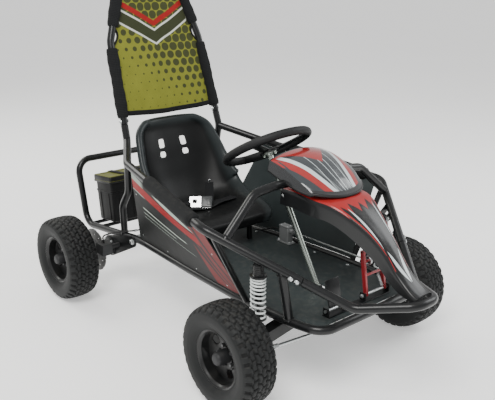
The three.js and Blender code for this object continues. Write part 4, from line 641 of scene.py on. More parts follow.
TYRE = TyreRubber(
    "tyre_rubber_moulded", (0.0090, 0.0098, 0.0100), 0.58, grain=700, grain_depth=0.12, dust=0.1, shine=0.25
)
RIM_COAT = Finish("rim_coat", (0.0075, 0.0078, 0.008), 0.34, coat=0.15, dust=0.05, shine=0.35)
BUCKLE = Finish("buckle_plastic", (0.026, 0.029, 0.030), 0.34, grain=900, dust=0.04)
CAP_PLASTIC = Finish("hub_cap_plastic", (0.018, 0.0185, 0.02), 0.55, grain=900, dust=0.08, shine=0.35)
ZINC = Finish(
    "zinc_plate", (0.56, 0.58, 0.58), 0.3, metallic=0.95, grain=260, grain_depth=0.01, dust=0.05, gloss_spread=0.2
)
BRIGHT_BAR = Finish(
    "drawn_bar", (0.50, 0.55, 0.50), 0.24, metallic=0.95, grain=90, grain_depth=0.002, dust=0.02, gloss_spread=0.08
)
CHROME = Finish("tongue_steel", (0.72, 0.73, 0.73), 0.2, metallic=1.0, grain=400, grain_depth=0.01, dust=0.02)
DARK_STEEL = Finish(
    "blackened_steel", (0.10, 0.102, 0.105), 0.42, metallic=0.85, grain=500, grain_depth=0.03, dust=0.14
)
DISC_STEEL = Finish("disc_steel", (0.17, 0.17, 0.168), 0.34, metallic=1.0, grain=500, grain_depth=0.01, dust=0.06)
CAST = Finish("cast_alloy", (0.30, 0.31, 0.31), 0.58, metallic=0.55, grain=520, grain_depth=0.12, dust=0.1)
CAST_DARK = Finish("cast_dark", (0.022, 0.023, 0.024), 0.5, metallic=0.3, grain=520, grain_depth=0.12, dust=0.1)
SPRING_WHITE = Finish("spring_white", (0.70, 0.74, 0.73), 0.32, coat=0.3, grain=600, grain_depth=0.02, dust=0.16)
RED_COAT = Finish("pedal_red", (0.29, 0.012, 0.018), 0.34, coat=0.3, grain=600, dust=0.08)
HOSE = Finish("hose_rubber", (0.008, 0.008, 0.0085), 0.5, grain=900, dust=0.04, shine=0.35)
CLOTH_BLACK = Webbing(
    "black_canvas", (0.0095, 0.010, 0.0105), 0.85, ribs=160.0, grain_depth=0.25, dust=0.03, shine=0.15
)
STRAP = Webbing("belt_webbing", (0.010, 0.0105, 0.0115), 0.7, ribs=330.0, grain_depth=0.25, dust=0.03, shine=0.2)
FLAG = MeshCloth("printed_mesh_cloth", (0.195, 0.205, 0.028), 0.85, grain_depth=0.25, dust=0.0, shine=0.15)
HOOD_PRINT = PrintedHood(
    "printed_hood", (0.31, 0.018, 0.016), 0.2, coat=0.6, coat_roughness=0.08, dust=0.04, grain_depth=0.01
)
NOSE_PRINT = PrintedNose(
    "printed_nose", (0.0085, 0.009, 0.0095), 0.3, coat=0.2, shine=0.3, coat_roughness=0.12, dust=0.05, grain_depth=0.01
)
PANEL_PRINT = PrintedPanel("panel_print", (0.0085, 0.0092, 0.009), 0.45, dust=0.03, shine=0.1, grain_depth=0.01)


# Forms


@dataclass
class Form:
    """Points and faces in the making, with a map, a mark and a finish number for each."""

    points: Array
    faces: list[Array]
    numbers: list[int]
    map: Array
    mark: Array

    def finished(self, number: int) -> "Form":
        """The same form in another of its piece's finishes."""
        return Form(self.points, self.faces, [number] * len(self.faces), self.map, self.mark)

    def moved(self, x: float, y: float, z: float) -> "Form":
        """The same form moved."""
        return Form(self.points + np.array([x, y, z]), self.faces, self.numbers, self.map, self.mark)

    def turned(self, matrix: Array) -> "Form":
        """The same form under a turning matrix."""
        return Form(self.points @ np.asarray(matrix).T, self.faces, self.numbers, self.map, self.mark)

    def mirrored(self) -> "Form":
        """The same form on the other side, still facing out."""
        faces = [block[:, ::-1] for block in self.faces]
        return Form(self.points * np.array([-1.0, 1.0, 1.0]), faces, self.numbers, self.map, self.mark)


def merged(forms: Sequence[Form]) -> Form:
    """Several forms as one.

    Args:
        forms: the forms to join.

    Returns:
        The form that holds them all.
    """
    starts = np.cumsum([0] + [len(form.points) for form in forms])
    faces = [block + start for form, start in zip(forms, starts) for block in form.faces]
    numbers = [number for form in forms for number in form.numbers]
    return Form(
        np.concatenate([form.points for form in forms]),
        faces,
        numbers,
        np.concatenate([form.map for form in forms]),
        np.concatenate([form.mark for form in forms]),
    )


def finished(forms: Sequence[Form], number: int) -> list[Form]:
    """Several forms in another of their piece's finishes."""
    return [form.finished(number) for form in forms]


def unit(vectors: Array) -> Array:
    """Vectors of length one."""
    return vectors / np.maximum(np.linalg.norm(vectors, axis=-1, keepdims=True), 1e-12)


def basis(axis: Place) -> Array:
    """Two directions square to an axis and the axis, as rows, right-handed.

    Args:
        axis: the direction of the axis.

    Returns:
        The three directions.
    """
    lift = unit(np.asarray(axis, float))
    least = np.eye(3)[np.argmin(np.abs(lift))]
    first = unit(np.cross(least, lift))
    return np.array([first, np.cross(lift, first), lift])


def circle(sides: int) -> Array:
    """The corners of a regular outline of radius one, half a step on from the first direction."""
    angle = (np.arange(sides) + 0.5) / sides * 2 * np.pi
    return np.stack([np.cos(angle), np.sin(angle)], axis=1)


def rings(points: Array, wrap: bool = False, caps: bool = True, mark: Array | None = None) -> Form:
    """Rows of rings closed into a skin: each ring turns rightwards about the way from row to row.

    Args:
        points: rows by ring by 3.
        wrap: whether the last row joins the first.
        caps: whether the end rings are closed by flat faces.
        mark: a number for each point.

    Returns:
        The form; its map is the share round and the share along.
    """
    rows, count = points.shape[:2]
    row, column = np.meshgrid(np.arange(rows if wrap else rows - 1), np.arange(count), indexing="ij")
    after, beside = (row + 1) % rows, (column + 1) % count
    quads = np.stack([row * count + column, row * count + beside, after * count + beside, after * count + column], -1)
    faces = [quads.reshape(-1, 4)]
    if caps and not wrap:
        faces += [np.arange(count)[::-1][None], (np.arange(count) + (rows - 1) * count)[None]]
    share = np.stack(np.meshgrid(np.arange(count) / count, np.arange(rows) / max(rows - 1, 1)), -1).reshape(-1, 2)
    marks = np.ones(rows * count) if mark is None else mark.reshape(-1)
    return Form(points.reshape(-1, 3), faces, [0] * len(faces), share, marks)


def sweep(path: Array, section: Array, scale: Array | float = 1.0, wrap: bool = False) -> Form:
    """A section carried along a path: each point is the path plus the section on two square directions.

    Args:
        path: points along the way.
        section: the outline, as two numbers a corner.
        scale: the outline's size at each point of the path.
        wrap: whether the path is a loop.

    Returns:
        The form.
    """
    path = np.asarray(path, float)
    steps = unit(np.diff(path, axis=0))
    if wrap:
        last = unit(path[:1] - path[-1:])
        ahead, behind = np.concatenate([steps, last]), np.concatenate([last, steps])
    else:
        ahead, behind = np.concatenate([steps, steps[-1:]]), np.concatenate([steps[:1], steps])
    tangent = unit(ahead + behind)
    least = np.linalg.svd(tangent)[2][-1]
    side = unit(np.cross(tangent, least))
    lift = np.cross(tangent, side)
    size = np.broadcast_to(np.asarray(scale, float).reshape(-1, 1, 1), (len(path), 1, 1))
    spread = section[None, :, :1] * side[:, None, :] + section[None, :, 1:] * lift[:, None, :]
    form = rings(path[:, None, :] + size * spread, wrap)
    reach = np.concatenate([[0.0], np.cumsum(np.linalg.norm(np.diff(path, axis=0), axis=1))]) * METRE
    form.map = np.stack([form.map[:, 0], np.repeat(reach, len(section))], axis=1)
    return form


def route(corners: Sequence[Place], bend: float) -> Array:
    """Straight runs joined by round bends.

    Args:
        corners: the places where the runs would meet.
        bend: the bends' radius.

    Returns:
        The path's points.
    """
    places = [np.asarray(corner, float) for corner in corners]
    path = [places[0][None]]
    for before, corner, after in zip(places, places[1:], places[2:]):
        arriving, leaving = corner - before, after - corner
        room = min(np.linalg.norm(arriving), np.linalg.norm(leaving)) / 2.02
        arriving, leaving = unit(arriving), unit(leaving)
        turn = math.acos(float(np.clip(arriving @ leaving, -1, 1)))
        setback = min(bend * math.tan(turn / 2), room)
        radius = setback / math.tan(turn / 2)
        inward = unit(leaving - arriving * (arriving @ leaving))
        angle = np.linspace(0, turn, max(2, math.ceil(math.degrees(turn) / BEND_STEP) + 1))[:, None]
        start = corner - arriving * setback
        path.append(start + radius * (np.sin(angle) * arriving + (1 - np.cos(angle)) * inward))
    path.append(places[-1][None])
    return np.concatenate(path)


def tube(corners: Sequence[Place], radius: float, bend: float = 60.0, sides: int = 20) -> Form:
    """A bent round tube with its ends slightly rounded over.

    Args:
        corners: the points that its middle line turns at.
        radius: the tube's radius.
        bend: the radius of the turns.
        sides: how many sides the section has.

    Returns:
        The tube.
    """
    path = route(corners, bend)
    edge = min(radius * 0.25, 1.5)
    first, last = unit(path[1] - path[0]) * edge, unit(path[-1] - path[-2]) * edge
    path = np.concatenate([path[:1], path[:1] + first, path[1:-1], path[-1:] - last, path[-1:]])
    scale = np.full(len(path), radius)
    scale[[0, -1]] = radius - edge
    return sweep(path, circle(sides), scale)


def lathe(profile: Sequence[Place], centre: Place, axis: Place, sides: int, wrap: bool = False) -> Form:
    """A profile of radius and place along an axis, turned about it.

    Args:
        profile: radius and place along, in the axis's own sense on the outside.
        centre: a point on the axis.
        axis: its direction.
        sides: how many steps round.
        wrap: whether the profile is a loop.

    Returns:
        The form.
    """
    frame_axes = basis(axis)
    table = np.asarray(profile, float)
    outline = circle(sides) @ frame_axes[:2]
    heights = (table[:, 1:] * frame_axes[2])[:, None, :]
    return rings(np.asarray(centre, float) + table[:, :1, None] * outline[None] + heights, wrap)


def spin(angle: float) -> Array:
    """The matrix that turns a flat place leftwards by an angle."""
    return np.array([[math.cos(angle), -math.sin(angle)], [math.sin(angle), math.cos(angle)]])


def laid(outline: Array, z: float) -> Array:
    """A flat outline laid at a height."""
    return np.column_stack([outline, np.full(len(outline), z)])


def arc(centre: Array, radius: float, angle: Array) -> Array:
    """Points of a circle at the given angles."""
    return centre + radius * np.stack([np.cos(angle), np.sin(angle)], 1)


def bolt_circle(count: int, radius: float, first: float) -> Array:
    """Places spread evenly round a circle, the first at the given angle."""
    return arc(np.zeros(2), radius, np.arange(count) * 2 * np.pi / count + first)


def rounded_outline(width: float, length: float, corner: float, steps: int = 4) -> Array:
    """A rectangle with round corners about the origin, turning leftwards.

    Args:
        width: its size to the left.
        length: its size along.
        corner: the corners' radius.
        steps: how many steps a corner takes.

    Returns:
        The outline's points.
    """
    bow = arc(np.zeros(2), corner, np.linspace(0, np.pi / 2, steps + 1))
    half = np.array([width / 2 - corner, length / 2 - corner])
    signs = np.array([[1, 1], [-1, 1], [-1, -1], [1, -1]])
    turns = [spin(quarter * np.pi / 2) for quarter in range(4)]
    return np.concatenate([bow @ turn.T + half * sign for turn, sign in zip(turns, signs)])


def soft_box(size: Place, centre: Place, corner: float, axes: Array | None = None) -> Form:
    """A block with all edges rounded: round-cornered outlines that shrink by the corner at both ends.

    Args:
        size: width, length and height.
        centre: its middle.
        corner: the radius of its edges.
        axes: its own directions as rows.

    Returns:
        The form.
    """
    width, length, height = size
    angle = np.linspace(0, np.pi / 2, 4)
    shrink = corner * (1 - np.sin(angle))
    level = -height / 2 + corner * (1 - np.cos(angle))
    shrink, level = np.concatenate([shrink, shrink[::-1]]), np.concatenate([level, -level[::-1]])
    outlines = [rounded_outline(width - 2 * s, length - 2 * s, max(corner - s, 0.05)) for s in shrink]
    points = np.stack([laid(outline, z) for outline, z in zip(outlines, level)])
    own = np.eye(3) if axes is None else np.asarray(axes)
    return rings(points @ own + np.asarray(centre, float))


def prism(outline: Array, axis: str, start: float, thick: float) -> Form:
    """A flat plate: its outline lies square to the named axis and it fills start to start + thick.

    Args:
        outline: the plate's outline.
        axis: the name of the axis across the plate.
        start: where the plate starts on that axis.
        thick: how thick it is.

    Returns:
        The plate.
    """
    order = {"x": [1, 2, 0], "y": [2, 0, 1], "z": [0, 1, 2]}[axis]
    pairs = outline if axis != "y" else outline[:, ::-1]
    area = np.sum(pairs[:, 0] * np.roll(pairs[:, 1], -1) - np.roll(pairs[:, 0], -1) * pairs[:, 1])
    pairs = pairs if area > 0 else pairs[::-1]
    edge = min(thick * 0.2, 0.8)
    middle = pairs.mean(axis=0)
    reach = np.linalg.norm(pairs - middle, axis=1, keepdims=True)
    inner = middle + (pairs - middle) * (1 - edge / np.maximum(reach, edge * 2))
    stack = [(inner, 0.0), (pairs, edge), (pairs, thick - edge), (inner, thick)]
    points = np.zeros((len(stack), len(pairs), 3))
    for row, (shape, level) in enumerate(stack):
        points[row][:, order] = laid(shape, start + level)
    return rings(points)


def link(first: Place, first_radius: float, second: Place, second_radius: float) -> Array:
    """The outline of a link: two circles joined by their outer tangents.

    Args:
        first: the first circle's middle.
        first_radius: its radius.
        second: the second circle's middle.
        second_radius: its radius.

    Returns:
        The outline's points.
    """
    one, two = np.asarray(first, float), np.asarray(second, float)
    facing = math.atan2(*(two - one)[::-1])
    spread = math.acos((first_radius - second_radius) / np.linalg.norm(two - one))
    wide = np.linspace(facing + spread, facing + 2 * np.pi - spread, 19)
    near = np.linspace(facing - spread, facing + spread, 19)
    return np.concatenate([arc(one, first_radius, wide), arc(two, second_radius, near)])


def skin(surface: Surface, across: Array, along: Array, wall: float, keep: Array | None = None) -> Form:
    """A closed wall under a surface of two numbers: the surface, and the same moved in along its normal.

    Args:
        surface: gives points for arrays of the two numbers.
        across: values of the first number.
        along: values of the second.
        wall: the thickness.
        keep: which cells are kept, along by across; the others are holes.

    Returns:
        The form; its map is the two numbers.
    """
    u, v = np.meshgrid(across, along)
    step = 1e-3
    low_u, high_u = np.maximum(u - step, across[0]), np.minimum(u + step, across[-1])
    low_v, high_v = np.maximum(v - step, along[0]), np.minimum(v + step, along[-1])
    normal = unit(np.cross(surface(high_u, v) - surface(low_u, v), surface(u, high_v) - surface(u, low_v)))
    outer = surface(u, v)
    points = np.stack([outer, outer - normal * wall])
    rows, columns = len(along) - 1, len(across) - 1
    cells = np.ones((rows, columns), bool) if keep is None else keep
    width, layer = columns + 1, (rows + 1) * (columns + 1)
    row, column = np.nonzero(cells)
    a = row * width + column
    b, c, d = a + 1, a + 1 + width, a + width
    faces = [np.stack([a, b, c, d], 1), np.stack([a, d, c, b], 1) + layer]
    ringed = np.pad(cells, 1)
    for start, end, shift in ((a, b, (0, 1)), (b, c, (1, 2)), (c, d, (2, 1)), (d, a, (1, 0))):
        open_side = ~ringed[row + shift[0], column + shift[1]]
        first, second = start[open_side], end[open_side]
        faces.append(np.stack([second, first, first + layer, second + layer], 1))
    used = np.unique(np.concatenate([block.ravel() for block in faces]))
    number = np.full(2 * layer, -1)
    number[used] = np.arange(len(used))
    share = np.tile(np.stack([u, v], -1).reshape(-1, 2), (2, 1))[used]
    faces = [number[block] for block in faces if len(block)]
    return Form(points.reshape(-1, 3)[used], faces, [0] * len(faces), share, np.ones(len(used)))


def table_value(table: Place, share: Array) -> Array:
    """A smooth reading of a table by a share of its length: a cubic between entries with their mean slopes.

    Args:
        table: the entries, evenly spread.
        share: where to read it, from 0 to 1.

    Returns:
        The values read.
    """
    values = np.asarray(table, float)
    position = np.clip(share, 0, 1) * (len(values) - 1)
    index = np.minimum(np.floor(position).astype(int), len(values) - 2)
    t = position - index
    before, start = values[np.maximum(index - 1, 0)], values[index]
    end, after = values[index + 1], values[np.minimum(index + 2, len(values) - 1)]
    curve = start + (end - start) * t * t * (3 - 2 * t)
    return curve + (end - before) / 2 * t * (1 - t) ** 2 - (after - start) / 2 * t * t * (1 - t)


def hex_bolt(centre: Place, way: Place, across: float, height: float) -> Form:
    """A hexagon head with a chamfered top on a washer.

    Args:
        centre: where it sits.
        way: the direction out of the surface.
        across: the size over its flats.
        height: how far it stands out.

    Returns:
        The bolt.
    """
    radius = across / math.sqrt(3)
    head = [(radius, 0), (radius, height * 0.75), (radius * 0.82, height), (radius * 0.3, height)]
    washer = [(radius * 1.3, 0), (radius * 1.3, 1.2), (radius * 0.4, 1.3)]
    above = np.asarray(centre) + unit(np.asarray(way, float))
    return merged([lathe(head, above, way, 6), lathe(washer, centre, way, 20)])


def dome_bolt(centre: Place, way: Place, radius: float, height: float) -> Form:
    """A round head: radius by the cosine and height by the sine of the same angle.

    Args:
        centre: where it sits.
        way: the direction out of the surface.
        radius: its radius.
        height: how far it stands out.

    Returns:
        The bolt.
    """
    angle = np.linspace(0, np.pi / 2 * 0.94, 6)
    profile = np.stack([radius * np.cos(angle), height * np.sin(angle)], 1)
    return lathe(profile, centre, way, 16)


def weld(centre: Place, way: Place, radius: float, bead: float = 2.6) -> Form:
    """A weld bead round the foot of a tube: a small ring whose thickness ripples round.

    Args:
        centre: the middle of the tube's foot.
        way: the tube's direction.
        radius: the tube's radius.
        bead: the bead's mean thickness.

    Returns:
        The bead.
    """
    own = basis(way)
    turn = np.arange(72) / 72 * 2 * np.pi
    ripple = bead * (1 + 0.12 * np.sin(turn * 18))
    angle = np.arange(8) / 8 * 2 * np.pi
    reach = radius + ripple[:, None] * np.cos(angle)[None]
    ring = reach[..., None] * (np.cos(turn)[:, None, None] * own[0] + np.sin(turn)[:, None, None] * own[1])
    points = np.asarray(centre, float) + ring - (ripple[:, None] * np.sin(angle)[None])[..., None] * own[2]
    return rings(points, wrap=True)


# Making pieces


def make(
    name: str,
    form: Form,
    finishes: Sequence[Finish],
    body: str,
    replaces: Sequence[str] = (),
    angle: float = 38.0,
    bevel: float = 0.0,
) -> bpy.types.Object:
    """Turns a form into a piece that rides on a body.

    Args:
        name: the piece's name.
        form: its points and faces in millimetres.
        finishes: the finishes that its faces number.
        body: the body that it moves with.
        slot: the record's slot of its finish.
        replaces: the packed nodes that it stands for.
        angle: edges sharper than this stay sharp.
        bevel: the width of a bevel on sharp edges, in millimetres.

    Returns:
        The object.
    """
    mesh = bpy.data.meshes.new(name)
    points = (form.points - np.array([0.0, FRONT_LINE, 0.0])) * METRE
    faces = [face for block in form.faces for face in block.tolist()]
    mesh.from_pydata(points.tolist(), [], faces)
    numbers = np.repeat(np.array(form.numbers, np.int32), [len(block) for block in form.faces])
    mesh.polygons.foreach_set("material_index", numbers)
    mesh.polygons.foreach_set("use_smooth", np.ones(len(faces), bool))
    corner = np.empty(len(mesh.loops), np.int32)
    mesh.loops.foreach_get("vertex_index", corner)
    mesh.uv_layers.new(name="map").data.foreach_set("uv", form.map[corner].astype(np.float32).ravel())
    mesh.attributes.new("mark", "FLOAT", "POINT").data.foreach_set("value", form.mark.astype(np.float32))
    mesh.set_sharp_from_angle(angle=math.radians(angle))
    for finish in finishes:
        mesh.materials.append(finish.build())
    mesh.update()
    piece = bpy.data.objects.new(name, mesh)
    bpy.context.scene.collection.objects.link(piece)
    if bevel:
        round_edges(piece, bevel)
    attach(piece, body)
    if replaces:
        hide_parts(*replaces)
    LOG.info("%s: %d faces", name, len(faces))
    return piece


def round_edges(piece: bpy.types.Object, width: float) -> None:
    """Adds a narrow bevel to the sharp edges of a piece.

    Args:
        piece: the piece.
        width: how wide the bevel is, in millimetres.
    """
    modifier = piece.modifiers.new("edges", "BEVEL")
    modifier.width = width * METRE
    modifier.segments = 2
    modifier.limit_method = "ANGLE"
    modifier.angle_limit = math.radians(40)
    modifier.harden_normals = False


def refine(node: str, name: str, finish: Finish, body: str, bevel: float) -> None:
    """A packed node's own shape with its edges rounded over.

    Args:
        node: the packed node.
        name: the new piece's name.
        finish: its finish.
        slot: the record's slot.
        body: the body it moves with.
        bevel: the width of its edges, in millimetres.
    """
    work = bmesh.new()
    work.from_mesh(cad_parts[node].data)
    bmesh.ops.remove_doubles(work, verts=work.verts, dist=2e-5)
    bmesh.ops.dissolve_limit(
        work, angle_limit=math.radians(1.0), use_dissolve_boundaries=False, verts=work.verts, edges=work.edges
    )
    mesh = bpy.data.meshes.new(name)
    work.to_mesh(mesh)
    work.free()
    mesh.materials.clear()
    mesh.materials.append(finish.build())
    mesh.polygons.foreach_set("material_index", np.zeros(len(mesh.polygons), np.int32))
    mesh.polygons.foreach_set("use_smooth", np.ones(len(mesh.polygons), bool))
    mesh.set_sharp_from_angle(angle=math.radians(30))
    piece = bpy.data.objects.new(name, mesh)
    bpy.context.scene.collection.objects.link(piece)
    round_edges(piece, bevel)
    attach(piece, body)
    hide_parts(node)
    LOG.info("%s: refined from %s", name, node)


def dress(node: str, finish: Finish) -> None:
    """Gives a packed node that stays in view its finish.

    Args:
        node: the packed node's name.
        finish: what it gets.
    """
    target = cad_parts[node]
    material = finish.build()
    if not target.material_slots:
        target.data.materials.append(material)
    for place in target.material_slots:
        place.material = material


# Sub-assemblies


@dataclass
class Studio:
    """The camera at the photograph's angle, soft lights and a pale floor."""

    place: Point = (-1570.75, -1444.35, 1241.35)
    aim: Point = (82.68, 483.19, 427.87)
    lens: float = 51.23
    floor_half: float = 60000.0
    sky: float = 0.7
    glow: float = 0.45

    def build(self) -> None:
        """Makes the camera, the lights, the sky and the floor."""
        self.camera()
        self.lights()
        self.floor()

    def camera(self) -> None:
        """Sets the camera up."""
        data = bpy.data.cameras.new("camera")
        data.lens = self.lens
        data.sensor_width = 36.0
        camera = bpy.data.objects.new("camera", data)
        shift = Vector((0.0, FRONT_LINE, 0.0))
        start, end = Vector(self.place), Vector(self.aim)
        camera.location = (start - shift) * METRE
        camera.rotation_mode = "QUATERNION"
        camera.rotation_quaternion = (end - start).to_track_quat("-Z", "Y")
        bpy.context.scene.collection.objects.link(camera)
        bpy.context.scene.camera = camera

    def lights(self) -> None:
        """Adds a white sky and three large soft lamps."""
        world = bpy.data.worlds.new("sky")
        world.use_nodes = True
        background = world.node_tree.nodes["Background"]
        background.inputs["Color"].default_value = (1.0, 1.0, 1.0, 1.0)
        background.inputs["Strength"].default_value = self.sky
        bpy.context.scene.world = world
        lamps = (
            ("key_lamp", (-2.2, -1.6, 3.8), 2.0, 170.0, (1.0, 0.99, 0.97)),
            ("side_lamp", (3.2, -1.6, 2.6), 2.2, 70.0, (0.97, 0.99, 1.0)),
            ("back_lamp", (-1.0, 3.6, 3.2), 2.6, 110.0, (1.0, 1.0, 0.95)),
        )
        for name, place, width, power, light_tint in lamps:
            data = bpy.data.lights.new(name, "AREA")
            data.size = width
            data.energy = power
            data.color = light_tint
            lamp = bpy.data.objects.new(name, data)
            lamp.location = place
            lamp.rotation_mode = "QUATERNION"
            lamp.rotation_quaternion = (Vector((0.0, 0.0, 0.4)) - Vector(place)).to_track_quat("-Z", "Y")
            bpy.context.scene.collection.objects.link(lamp)

    def floor(self) -> None:
        """Lays a wide pale floor."""
        half = self.floor_half * METRE
        mesh = bpy.data.meshes.new("studio_floor")
        corners = [(-half, -half, 0.0), (half, -half, 0.0), (half, half, 0.0), (-half, half, 0.0)]
        mesh.from_pydata(corners, [], [(0, 1, 2, 3)])
        paint = Paint("studio_floor")
        cloud = paint.noise(paint.place(), 0.6, 2.0)
        colour = paint.mix(cloud, (0.93, 0.93, 0.92), (0.97, 0.97, 0.965))
        glow = {"Base Color": colour, "Roughness": 0.9, "Emission Color": colour, "Emission Strength": self.glow}
        mesh.materials.append(paint.surface(glow, None, 0.0))
        floor = bpy.data.objects.new("studio_floor", mesh)
        bpy.context.scene.collection.objects.link(floor)


@dataclass
class KartPlan:
    """The kart's main places, shared by the sub-assemblies."""

    radius: float = 14.0
    brace: float = 10.0
    bend: float = 60.0
    wheelbase: float = 1010.0
    axle_z: float = 165.0
    front_track: float = 407.0
    rear_track: float = 414.7
    rails: tuple[tuple[float, float, float], ...] = (
        (200.0, 842.0, 240.0),
        (215.0, 730.0, 250.0),
        (236.0, 420.0, 250.0),
        (247.0, 160.0, 250.0),
        (240.0, -85.0, 250.0),
        (216.0, -200.0, 250.0),
    )
    stub: Point = (221.0, 828.0, 644.0)
    arm_rear: Point = (312.0, 684.0, 597.0)
    arm_front: Point = (408.0, 112.0, 530.0)
    rail_end: Point = (143.0, -250.0, 323.0)
    sleeve: Point = (205.0, 938.0, 1000.0)
    top: Point = (74.0, 1008.0, 1392.0)
    clamp_share: float = 0.66
    cross_z: float = 240.0
    rack_front: tuple[float, float] = (842.0, 240.0)
    rack_rear: tuple[float, float] = (1233.0, 197.0)
    rack_bar: int = 8
    shock_x: float = 290.0
    shock_z: float = 439.0
    hanger_x: float = 214.4
    hanger: float = 6.0
    knee: Point = (165.0, 68.0, 625.0)
    hub: Point = (0.0, 284.0, 684.0)
    lean: float = 30.5
    floor_top: float = 253.2
    gap: float = 0.3

    @staticmethod
    def on(side: Side, place: Place) -> Array:
        """A left-hand place on the given side."""
        return np.array([side.value * place[0], place[1], place[2]])

    @staticmethod
    def between(first: Place, second: Place, share: float) -> Array:
        """A place part of the way between two."""
        return np.asarray(first, float) * (1 - share) + np.asarray(second, float) * share

    def front_rail(self, side: Side, share: float) -> Array:
        """A place on the front rail."""
        return self.between(self.on(side, self.arm_front), self.on(side, self.rail_end), share)

    def along_arm(self, side: Side, share: float) -> Array:
        """A place on the arm rail."""
        return self.between(self.on(side, self.arm_rear), self.on(side, self.arm_front), share)

    def rail_x(self, y: float) -> float:
        """How far out the lower rail is at a distance back."""
        table = np.array(self.rails)[::-1]
        return float(np.interp(y, table[:, 1], table[:, 0]))

    def leg_start(self, side: Side) -> Array:
        """Where the roll bar's foot meets its stub."""
        return self.between(self.on(side, self.stub), self.on(side, self.sleeve), 0.16)

    def rack_z(self, y: float) -> float:
        """The height of the rack's lower tubes."""
        (front, high), (rear, low) = self.rack_front, self.rack_rear
        return high + (low - high) * (y - front) / (rear - front)

    @property
    def rack_tilt(self) -> float:
        """The angle by which the rack falls to the rear, in radians."""
        (front, high), (rear, low) = self.rack_front, self.rack_rear
        return math.atan2(low - high, rear - front)

    @property
    def column(self) -> Array:
        """The column's own directions as rows: across, away from the driver and up the column."""
        angle = math.radians(self.lean)
        return np.array([[1, 0, 0], [0, math.cos(angle), -math.sin(angle)], [0, math.sin(angle), math.cos(angle)]])

    def leg(self, side: Side, z: Array) -> Array:
        """Places on the roll bar's leg at given heights.

        Args:
            side: the side of the kart.
            z: the heights.

        Returns:
            The places.
        """
        heights = [self.stub[2], self.sleeve[2], self.top[2]]
        x = np.interp(z, heights, [self.stub[0], self.sleeve[0], self.top[0]])
        y = np.interp(z, heights, [self.stub[1], self.sleeve[1], self.top[1]])
        return np.stack([side.value * x, y, z * np.ones_like(x)], -1)


